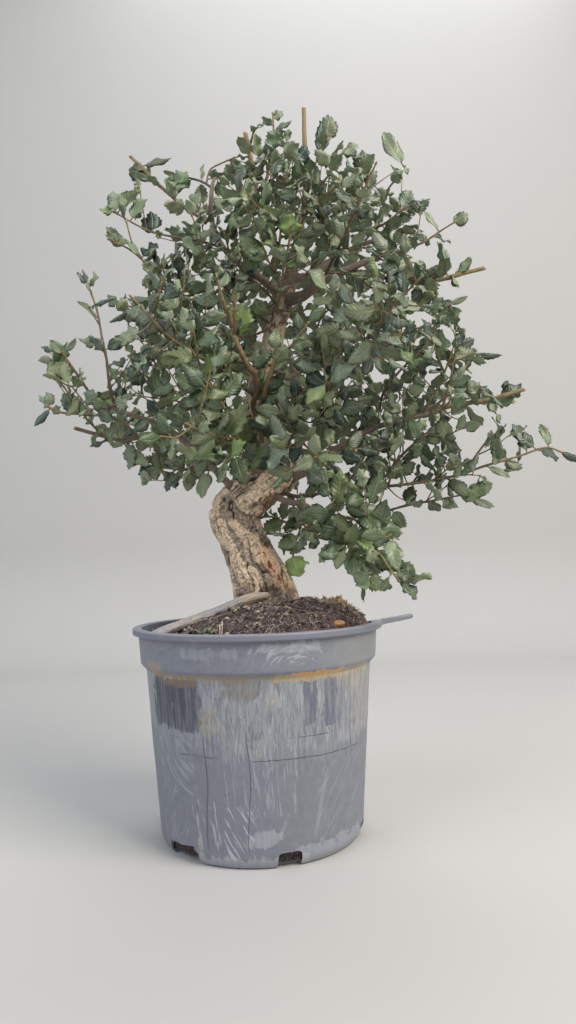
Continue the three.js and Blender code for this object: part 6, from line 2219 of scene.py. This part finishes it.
def leaned(along, turn, opening):
    """A way that opens from a line by one angle, at the place round it that the other gives."""
    a, b = cross_axes(along)
    way = along * math.cos(opening)
    return way + a * math.cos(turn) * math.sin(opening) + b * math.sin(turn) * math.sin(opening)


def leaf_at(foot, along, turn, opening, leaf_length, draw):
    """A leaf of the rule: turn is its place round the twig, opening its angle from it."""
    way = leaned(along, turn, opening)
    way[2] += 0.35 * draw() - 0.1
    way = unit(way)
    outward = foot - CROWN_CENTRE
    outward[2] *= 0.6
    face = unit(outward)
    face[2] += 0.5
    face[0] += (draw() - 0.5) * 1.3
    face[1] += (draw() - 0.5) * 1.3
    face[2] += (draw() - 0.5) * 1.3
    face = unit(face - way * (face @ way))
    length = leaf_length * (0.72 + 0.5 * draw())
    width = length * (0.5 + 0.14 * draw())
    bend = 0.1 + 0.25 * draw()
    own = draw()
    return dict(foot=foot, way=way, face=face, length=length, width=width, bend=bend, own=own)


def leaves_along(route, bare, spacing, leaf_length, top, draw):
    """Leaves by turns up a shoot, the first at its tip."""
    count = max(2, math.floor(route.length * (1 - bare) / spacing + 0.5))
    phase = draw() * TAU
    leaves = []
    for i in range(count):
        point, way = route.at(top - (top - bare) * i / count)
        opening = 0.25 + 0.3 * draw() if i == 0 else 0.75 + 0.5 * draw()
        turn = phase + i * LEAF_TURN + (draw() - 0.5) * 0.7
        size = (0.72, 0.88)[i] if i < 2 else 1
        leaves.append(leaf_at(point, way, turn, opening, leaf_length * size, draw))
    return leaves


def leafy_twig(point, out, length, spray, draw):
    """A twig from a point, rising or sinking a little at its end, and its leaves."""
    middle = point + out * length * 0.5
    end = point + out * length
    end[2] += length * (0.3 * draw() - 0.05)
    route = Route([point, middle, end])
    return route, leaves_along(route, TWIG_BARE, TWIG_SPACING, spray["leaf"] * TWIG_LEAF, 1, draw)


def side_twig(main, spray, index, phase, draw):
    """A side twig of the rule and its leaves."""
    bare = min(spray["bare"], 0.6)
    share = bare + (0.9 - bare) * (index + 0.3 + 0.4 * draw()) / spray["twigs"]
    point, way = main.at(share)
    out = unit(leaned(way, phase + index * LEAF_TURN, 0.75 + 0.35 * draw()))
    return leafy_twig(point, out, TWIG_LENGTH * (0.75 + 0.5 * draw()), spray, draw)


def hand_leaf(routes, row, own):
    """A listed leaf: the shoot, the share along it, the leaf's tip, its width and its roll."""
    shoot, share, x, y, z, breadth, roll = row
    foot, _ = routes[shoot].at(share)
    reach = np.array([x, y, z], float) - foot
    length = float(np.linalg.norm(reach))
    way = reach / length
    face = np.array([0.0, -1.0, 0.25])
    face = unit(face - way * (face @ way))
    turn = math.radians(roll)
    face = face * math.cos(turn) + np.cross(way, face) * math.sin(turn)
    width = min(length, LONGEST_BLADE) * breadth
    return dict(foot=foot, way=way, face=face, length=length, width=width, bend=0.06, own=own)


def inside_box(leaf):
    """Whether the leaf's tip stays in the part's box with its margin."""
    tip = leaf["foot"] + leaf["way"] * leaf["length"] - leaf["face"] * leaf["bend"] * leaf["length"]
    return bool(np.all(tip > BOX_LOW - BOX_MARGIN) and np.all(tip < BOX_HIGH + BOX_MARGIN))


def extra_twig(shoots, spray, seed):
    """One more side twig and its leaves, from a seed of its own."""
    draw = seeded(seed + 400)
    route = shoots[min(int(draw() * len(shoots)), len(shoots) - 1)]
    point, way = route.at(0.05 + 0.93 * draw())
    turn = draw() * TAU
    out = unit(leaned(way, turn, 0.5 + 0.9 * draw()))
    return leafy_twig(point, out, TWIG_LENGTH * (0.45 + 0.85 * draw()), spray, draw)


def trimmed(route, leaves, reach):
    """The twig up to the foot of its outermost leaf, or to that share of it where it goes further."""
    start = route.points[0]
    far = max([0.0, *[float(np.linalg.norm(leaf["foot"] - start)) for leaf in leaves]])
    share = min(max(reach, far / route.length), 1.0)
    return Route([start, route.at(share / 2)[0], route.at(share)[0]])


def grow_spray(spray, seed):
    """All shoots, twigs and leaves of a spray, without those its drop row numbers and with its fill."""
    draw = seeded(seed)
    main = Route(spray["route"])
    sides = [Route([main.at(row[0])[0], *row[1:]]) for row in spray.get("sides", [])]
    shoots = [main, *sides]
    leaves = []
    for i, route in enumerate(shoots):
        bare = spray["bare"] if i == 0 else 0.15
        top = 0.8 if spray.get("cut") and i == 0 else 1
        if bare < 1:
            leaves += leaves_along(route, bare, LEAF_SPACING, spray["leaf"], top, draw)
    dropped = spray.get("drop", ())
    kept = [leaf for number, leaf in enumerate(leaves) if number not in dropped]
    phase = draw() * TAU
    routes = [*shoots]
    twigs = []
    count = len(leaves)
    for i in range(spray["twigs"]):
        route, grown = side_twig(main, spray, i, phase, draw)
        left = [leaf for number, leaf in enumerate(grown) if count + number not in dropped]
        count += len(grown)
        kept += left
        reach = max([0.0, *[row[1] for row in spray.get("leaves", []) if row[0] == len(routes)]])
        if left or reach > 0.05:
            twigs.append(trimmed(route, left, reach))
        routes.append(route)
    for number in spray.get("fill", ()):
        route, grown = extra_twig(shoots, spray, number)
        if all(inside_box(leaf) for leaf in grown):
            twigs.append(route)
            kept += grown
    for number, row in enumerate(spray.get("leaves", [])):
        leaf = hand_leaf(routes, row, (number * 0.37 + seed * 0.21) % 1)
        leaf["young"] = (spray["name"], number) in YOUNG_LEAVES
        kept.append(leaf)
    return shoots, twigs, kept


BLADE_STATIONS = np.array(
    [0, 0.05, 0.12, 0.2, 0.27, 0.35, 0.43, 0.51, 0.59, 0.67, 0.75, 0.83, 0.91, 0.97, 1]
)
BLADE_COLUMNS = np.array([-1, -0.55, 0, 0.55, 1])


def blade_points(leaf, looks):
    """The middle surface of a blade, the ways it faces and the share of the leaf's length of each row.

    Its margin is toothed, waved and curled, and no two blades are the same.
    """
    own = leaf["own"]
    draw = seeded(int(own * 99991) + 3)
    for _ in range(2):
        draw()
    t = BLADE_STATIONS
    breadth = t**0.58 * (1 - t) ** 0.8 / (0.42**0.58 * 0.58**0.8)
    tooth = np.where(np.arange(len(t)) % 2 == 1, 1.0, -1.0) * (t > 0.15) * (t < 0.95)
    phase = draw()
    depth = looks.tooth * (0.2 + 2.2 * draw() ** 2)
    wave = 0.1 + 0.19 * draw()
    curl = 0.46 * draw() - 0.26
    twist = (draw() - 0.5) * 0.9
    waves = 1.0 + 0.9 * draw()
    sway = (draw() - 0.5) * 0.16
    uneven = np.array([0.3 + 1.2 * draw() for _ in t])
    tooth = tooth * uneven
    if leaf.get("young"):
        breadth = breadth * (1 + 0.2 * np.sin(TAU * 2.4 * t + 0.4) * (t > 0.2))
    side = np.cross(leaf["way"], leaf["face"])
    points = np.empty((len(t), len(BLADE_COLUMNS), 3))
    length, width = leaf["length"], leaf["width"]
    along = STALK + (1 - STALK) * t
    hook = leaf["bend"] * along**2 * length
    for column, c in enumerate(BLADE_COLUMNS):
        margin = abs(c) >= 1
        half = 0.5 * width * breadth * (1 + depth * tooth * (1 if margin else 0.0))
        lean = np.sign(c) * 0.8
        ripple = wave * np.sin(TAU * (waves * t + phase) + lean) * abs(c) ** 1.6
        dome = curl * abs(c) ** 1.7 - 0.05 * abs(c)
        lift = (ripple + dome) * width * np.sqrt(np.clip(breadth, 0, 1))
        turn = twist * t
        out = c * half
        forward = along * length + (0.05 * length * tooth * 0.5 if margin else 0.0)
        bow = sway * length * np.sin(math.pi * t)
        points[:, column] = (
            leaf["foot"]
            + leaf["way"] * forward[:, None]
            + side * (out * np.cos(turn) + bow - lift * np.sin(turn))[:, None]
            + leaf["face"] * (out * np.sin(turn) + lift * np.cos(turn) - hook)[:, None]
        )
    tangent = np.gradient(points, axis=0)
    across = np.gradient(points, axis=1)
    normals = np.cross(tangent, across)
    lengths = np.linalg.norm(normals, axis=2)[..., None]
    normals = np.where(lengths > 1e-9, normals / np.maximum(lengths, 1e-9), -leaf["face"])
    normals = np.where((normals @ leaf["face"])[..., None] < 0, -normals, normals)
    return points, normals, along


def add_leaf(shape, leaf, looks, bright):
    """One leaf: a stalk and a thin closed blade with an upper and an under side."""
    points, normals, along = blade_points(leaf, looks)
    half = looks.thickness / MM / 2
    rows, columns = points.shape[:2]
    upper = (points + normals * half)[1:-1]
    under = (points - normals * half)[1:-1]
    upper[:, [0, -1]] = points[1:-1][:, [0, -1]]
    inner = under[:, 1:-1]
    body = rows - 2
    flat = np.vstack([upper.reshape(-1, 3), inner.reshape(-1, 3), points[0, 2], points[-1, 2]])
    first_under = body * columns
    base, tip = len(flat) - 2, len(flat) - 1

    def below(row, column):
        if column in (0, columns - 1):
            return row * columns + column
        return first_under + row * (columns - 2) + column - 1

    faces, slots = [], []
    for row in range(body - 1):
        for column in range(columns - 1):
            a = row * columns + column
            faces.append((a, a + 1, a + columns + 1, a + columns))
            slots.append(1)
            faces.append((
                below(row, column), below(row + 1, column),
                below(row + 1, column + 1), below(row, column + 1),
            ))
            slots.append(2)
    for column in range(columns - 1):
        last = (body - 1) * columns + column
        faces.append((base, column + 1, column))
        faces.append((base, below(0, column), below(0, column + 1)))
        faces.append((tip, last, last + 1))
        faces.append((tip, below(body - 1, column + 1), below(body - 1, column)))
        slots += [1, 2, 1, 2]
    shares = np.repeat(BLADE_STATIONS[1:-1], columns)
    sides = np.tile(BLADE_COLUMNS, body)
    shares = np.concatenate([shares, np.repeat(BLADE_STATIONS[1:-1], columns - 2), [0, 1]])
    sides = np.concatenate([sides, np.tile(BLADE_COLUMNS[1:-1], body), [0, 0]])
    own = leaf["own"]
    blade = np.stack([shares, sides, np.full(len(shares), own)], axis=1)
    fresh = max(0, own - 0.93) * 8
    tint = 0.9 if leaf.get("young") else (0.34 if bright else 0.12) + fresh
    shape.add(flat, faces, slots, blade=blade, tint=tint)
    stalk_end = points[0, 2] + (points[2, 2] - points[0, 2]) * 0.9 - normals[1, 2] * 0.25
    stalk = np.array([leaf["foot"], leaf["foot"] + (stalk_end - leaf["foot"]) * 0.6, stalk_end])
    thick = 0.26 + 0.01 * leaf["length"]
    ring, sides_of, _ = tube(stalk, [thick * 1.25, thick, thick * 0.5], 4)
    shape.add(ring, sides_of, 0, blade=np.array([0.0, 0.0, 1.0]), tint=0.8)


def shoot_radii(line, foot, end, leaves):
    """Radii along a shoot: a taper with a small swelling at each leaf."""
    reach = reach_along(line)
    radii = foot + (end - foot) * reach / reach[-1]
    for leaf in leaves:
        distance = np.linalg.norm(line - leaf["foot"], axis=1)
        radii = radii * (1 + 0.22 * np.exp(-((distance / 1.6) ** 2)))
    return radii * (1 + 0.12 * np.exp(-((reach / 3) ** 2)))


def wood_age(spray_name, share):
    """How young the bark looks, 0 to 1, along a shoot."""
    if spray_name in DARK_WOOD:
        return 0.25 * share
    if spray_name in OLIVE_WOOD or spray_name in TAN_WOOD:
        return 0.3 + 0.6 * share
    return np.clip(0.1 + 0.8 * share**2, 0, 1)


def add_shoot(shape, route, foot, end, leaves, name, sides, cut=False, age=0.0):
    """One shoot of wood, with a pale face where it has been cut and a bud where it has not."""
    line = smooth_line(route.points, 2.2)
    radii = shoot_radii(line, foot, end, leaves)
    points, faces, straight = tube(line, radii, sides)
    share = straight[:, 2] / max(straight[:, 2].max(), 1e-6)
    own = 0.9 if name in OLIVE_WOOD else 0.1
    blade = np.stack([share, np.zeros(len(share)), np.full(len(share), own)], axis=1)
    shape.add(points, faces, 0, blade=blade, tint=np.clip(wood_age(name, share) + age, 0, 1))
    way = unit(line[-1] - line[-2])
    if cut:
        face = np.array([line[-1] - way * 0.4, line[-1] + way * (0.3 * radii[-1] + 0.35)])
        points, faces, _ = tube(face, [radii[-1] * 1.0, radii[-1] * 0.94], sides)
        shape.add(points, faces, 3)
    else:
        bud = np.array([line[-1], line[-1] + way * 1.2, line[-1] + way * 2.6])
        points, faces, _ = tube(bud, [radii[-1] * 1.1, radii[-1] * 1.35, 0.25], 6)
        shape.add(points, faces, 0, blade=np.array([1.0, 0.0, 0.4]), tint=0.8)


def build_spray(spray, seed, looks, materials):
    """One leafy spray as a piece of its own."""
    name = spray["name"]
    shoots, twigs, leaves = grow_spray(spray, seed)
    leaves = [leaf for leaf in leaves if inside_box(leaf)]
    shape = Shape(blade=3, tint=1)
    foot, end = spray.get("radii", SHOOT_RADII)
    for i, route in enumerate(shoots):
        cut = i == 0 and (spray.get("cut", False) or spray["bare"] > 1)
        thick = foot * MAIN_FOOT if i == 0 else end
        thin = end if cut else end * SHOOT_END
        add_shoot(shape, route, thick, thin, leaves, name, 8, cut, 0.1 * (i > 0))
    for route in twigs:
        add_shoot(shape, route, end * TWIG_FOOT, end * TWIG_END, leaves, name, 5, False, 0.1)
    for leaf in leaves:
        add_leaf(shape, leaf, looks, name in BRIGHT_SPRAYS)
    join_scene(shape.mesh(name + " spray"), name + "_spray", materials, node=name)


def build_seedling(looks, materials):
    """The seedling by the front rim: a thin stem with small green leaves."""
    shape = Shape(blade=3, tint=1)
    foot = np.array(SEEDLING_FOOT, float)
    top = foot + [0, 0, SEEDLING_HEIGHT]
    points, faces, _ = tube(smooth_line([foot, (foot + top) / 2 + [0.4, 0.2, 0], top], 1.5), 0.8, 7)
    shape.add(points, faces, 0, blade=np.array([1.0, 0.0, 0.9]), tint=1.0)
    for number, (x, y, z, breadth) in enumerate(SEEDLING_LEAVES):
        reach = np.array([x, y, z], float) - top
        length = float(np.linalg.norm(reach))
        way = reach / length
        face = unit(np.array([0, 0, 1.0]) - way * way[2])
        leaf = dict(foot=top, way=way, face=face, length=length, width=length * breadth)
        leaf.update(bend=0.1, own=0.3 + 0.1 * number)
        add_leaf(shape, leaf, looks, True)
    join_scene(shape.mesh("seedling"), "green_seedling", materials, node="seedling")


# Stage


def build_stage(looks):
    """A pale floor that sweeps up into a wall, soft lights and the camera."""
    shape = Shape()
    outline = [(FLOOR_FRONT, -FLOOR_GAP), (FLOOR_BACK, -FLOOR_GAP)]
    for angle in np.linspace(0.1, math.pi / 2, 12):
        y = FLOOR_BACK + SWEEP * math.sin(angle)
        outline.append((y, SWEEP - SWEEP * math.cos(angle) - FLOOR_GAP))
    outline.append((FLOOR_BACK + SWEEP, WALL_TOP))
    points = [(x, y, z) for y, z in outline for x in (-FLOOR_SIDE, FLOOR_SIDE)]
    faces = [(2 * i, 2 * i + 1, 2 * i + 3, 2 * i + 2) for i in range(len(outline) - 1)]
    shape.add(points, faces)
    floor = bpy.data.objects.new("floor", shape.mesh("floor"))
    floor.data.materials.append(floor_material(looks))
    floor.data.polygons.foreach_set("use_smooth", np.ones(len(floor.data.polygons), bool))
    bpy.context.scene.collection.objects.link(floor)
    floor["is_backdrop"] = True
    for name, place, size, share, tone in LIGHTS:
        add_light(name, place, size, looks.key * share, srgb(*tone))
    world = bpy.data.worlds.new("soft room")
    world.use_nodes = True
    background = world.node_tree.nodes["Background"]
    background.inputs["Color"].default_value = (*srgb(236, 240, 248), 1)
    background.inputs["Strength"].default_value = looks.room
    bpy.context.scene.world = world
    bpy.context.scene.view_settings.view_transform = "Standard"
    add_camera()


def add_light(name, place, size, power, colour):
    """A square soft light aimed at the tree."""
    data = bpy.data.lights.new(name, "AREA")
    data.size = size
    data.energy = power
    data.color = colour
    light = bpy.data.objects.new(name, data)
    light.location = place
    aim = Vector(LIGHTS_AIM) - Vector(place)
    light.rotation_euler = aim.to_track_quat("-Z", "Y").to_euler()
    bpy.context.scene.collection.objects.link(light)


def add_camera():
    """The camera where the photograph was taken from, fitted to the pot's three ellipses."""
    data = bpy.data.cameras.new("photo camera")
    data.sensor_width = SENSOR_WIDTH
    data.lens = LENS
    data.clip_start = NEAREST_SEEN
    camera = bpy.data.objects.new("photo camera", data)
    turn = Matrix.Rotation(math.pi / 2 + CAMERA_TILT, 4, "X") @ Matrix.Rotation(CAMERA_ROLL, 4, "Z")
    camera.matrix_world = Matrix.Translation(CAMERA_PLACE) @ turn
    bpy.context.scene.collection.objects.link(camera)
    bpy.context.scene.camera = camera


# Settings, operators and panel


def colour_property(name, description, default):
    """A colour that a user may change."""
    return bpy.props.FloatVectorProperty(
        name=name, description=description, default=default, size=3, min=0, max=1, subtype="COLOR"
    )


def count_property(name, description, default):
    """A whole number that a user may change."""
    return bpy.props.IntProperty(name=name, description=description, default=default, min=0)


def amount_property(name, description, default, least=0.0, **settings):
    """An amount that a user may change."""
    return bpy.props.FloatProperty(
        name=name, description=description, default=default, min=least, **settings
    )


class PotLooks(bpy.types.PropertyGroup):
    """Colours of the pot."""

    plastic: colour_property("Plastic", "Grey-blue plastic under the wear", srgb(119, 122, 131))
    chalk: colour_property("Chalk", "Limescale on the upper wall", srgb(145, 148, 152))
    stain: colour_property("Stain", "Slate blotch and dark bars", srgb(76, 79, 90))
    rust: colour_property("Rust", "Orange deposit under the collar", srgb(206, 154, 88))


class SoilLooks(bpy.types.PropertyGroup):
    """Colours and amounts of the root ball."""

    dark: colour_property("Dark peat", "Darkest peat", srgb(46, 38, 42))
    brown: colour_property("Brown peat", "Lighter peat and fibre", srgb(140, 121, 117))
    crumbs: count_property("Grit", "Loose bits on the soil", 2600)
    hairs: count_property("Root hairs", "Fine roots on the soil", 950)
    fronds: count_property("Moss fronds", "Fronds in the tuft", 460)


class WoodLooks(bpy.types.PropertyGroup):
    """Colours of the bark."""

    cork: colour_property("Cork", "Cream cork on the crests", srgb(250, 228, 198))
    crust: colour_property("Crust", "Weathered grey bark", srgb(184, 166, 146))
    fissure: colour_property("Fissure", "Deep cracks", srgb(60, 47, 39))
    inner: colour_property("Inner bark", "Rusty inner bark", srgb(208, 134, 80))
    limb: colour_property("Limb", "Older limbs", srgb(136, 118, 106))
    twig: colour_property("Twig", "Young twigs", srgb(152, 126, 84))


class LeafLooks(bpy.types.PropertyGroup):
    """Colours and sizes of the leaves."""

    upper: colour_property("Upper side", "Dark upper side", srgb(27, 46, 33))
    # The lighter upper colour holds a painted bluish sheen as well as a paler green.
    upper_pale_and_sheen: colour_property("Upper side, light", "Lighter upper side", srgb(146, 157, 126))
    under: colour_property("Under side", "Pale felted under side", srgb(148, 158, 124))
    young: colour_property("Young leaf", "Fresh green of young leaves", srgb(126, 148, 78))
    thickness: amount_property("Thickness", "Thickness of a blade", 0.0004, 0.0002, subtype="DISTANCE")
    tooth: amount_property("Teeth", "Depth of the teeth as a share of the half width", 0.07)


class StageLooks(bpy.types.PropertyGroup):
    """Floor and lights."""

    floor: colour_property("Floor", "Pale floor and wall", srgb(188, 187, 184))
    key: amount_property("Key light", "Power of the main light in watts", 41)
    room: amount_property("Room light", "Strength of the even light", 0.43)


class BONSAI_OT_pot(bpy.types.Operator):
    """Build the weathered pot and its torn strip of lip"""

    bl_idname = "bonsai.pot"
    bl_label = "Pot"

    def execute(self, context):
        build_pot(context.scene.bonsai_pot)
        return {"FINISHED"}


class BONSAI_OT_soil(bpy.types.Operator):
    """Build the root ball with its grit, fine roots, moss and pebble"""

    bl_idname = "bonsai.soil"
    bl_label = "Soil"

    def execute(self, context):
        looks = context.scene.bonsai_soil
        build_soil(looks)
        build_crumbs(looks.crumbs)
        build_root_hairs(looks.hairs)
        build_moss(looks.fronds)
        build_pebble()
        return {"FINISHED"}


class BONSAI_OT_trunk(bpy.types.Operator):
    """Build the cork trunk, the leader, the limbs and the surface root"""

    bl_idname = "bonsai.trunk"
    bl_label = "Trunk and limbs"

    def execute(self, context):
        looks = context.scene.bonsai_wood
        build_trunk(looks)
        build_limbs(looks)
        build_root()
        return {"FINISHED"}


class BONSAI_OT_sprays(bpy.types.Operator):
    """Build every leafy spray and the seedling"""

    bl_idname = "bonsai.sprays"
    bl_label = "Sprays"

    def execute(self, context):
        leaf = context.scene.bonsai_leaf
        materials = [
            twig_material(context.scene.bonsai_wood), leaf_material(leaf, True), leaf_material(leaf, False),
            cut_material(),
        ]
        for number, spray in enumerate(SPRAYS):
            build_spray(spray, number + 1, leaf, materials)
        build_seedling(leaf, materials)
        return {"FINISHED"}


class BONSAI_OT_stage(bpy.types.Operator):
    """Build the floor, the lights and the camera"""

    bl_idname = "bonsai.stage"
    bl_label = "Stage"

    def execute(self, context):
        build_stage(context.scene.bonsai_stage)
        return {"FINISHED"}


class BONSAI_PT_panel(bpy.types.Panel):
    """The pieces of the bonsai, with the settings of each"""

    bl_label = "Cork Oak Bonsai"
    bl_idname = "BONSAI_PT_panel"
    bl_space_type = "VIEW_3D"
    bl_region_type = "UI"
    bl_category = "Bonsai"

    def draw(self, context):
        for operator, settings in STEPS:
            box = self.layout.box()
            box.operator(operator.bl_idname)
            group = getattr(context.scene, settings)
            for name in group.bl_rna.properties.keys():
                if name not in ("rna_type", "name"):
                    box.prop(group, name)


SETTINGS = {
    "bonsai_pot": PotLooks,
    "bonsai_soil": SoilLooks,
    "bonsai_wood": WoodLooks,
    "bonsai_leaf": LeafLooks,
    "bonsai_stage": StageLooks,
}
STEPS = [
    (BONSAI_OT_pot, "bonsai_pot"),
    (BONSAI_OT_soil, "bonsai_soil"),
    (BONSAI_OT_trunk, "bonsai_wood"),
    (BONSAI_OT_sprays, "bonsai_leaf"),
    (BONSAI_OT_stage, "bonsai_stage"),
]


def register():
    """Registers the settings, the operators and the panel."""
    for name, group in SETTINGS.items():
        bpy.utils.register_class(group)
        setattr(bpy.types.Scene, name, bpy.props.PointerProperty(type=group))
    for operator, _ in STEPS:
        bpy.utils.register_class(operator)
    bpy.utils.register_class(BONSAI_PT_panel)


def unregister():
    """Takes back what register added."""
    bpy.utils.unregister_class(BONSAI_PT_panel)
    for operator, _ in reversed(STEPS):
        bpy.utils.unregister_class(operator)
    for name, group in reversed(SETTINGS.items()):
        delattr(bpy.types.Scene, name)
        bpy.utils.unregister_class(group)


def corners(bounds):
    """The two corners of a box as plain lists."""
    return [[float(value) for value in corner] for corner in bounds]


def main():
    """Builds every piece and the stage."""
    register()
    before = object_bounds()
    bpy.ops.bonsai.pot()
    bpy.ops.bonsai.soil()
    bpy.ops.bonsai.trunk()
    bpy.ops.bonsai.sprays()
    bpy.ops.bonsai.stage()
    {"before": corners(before), "after": corners(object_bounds())}


if __name__ == "__main__":
    main()
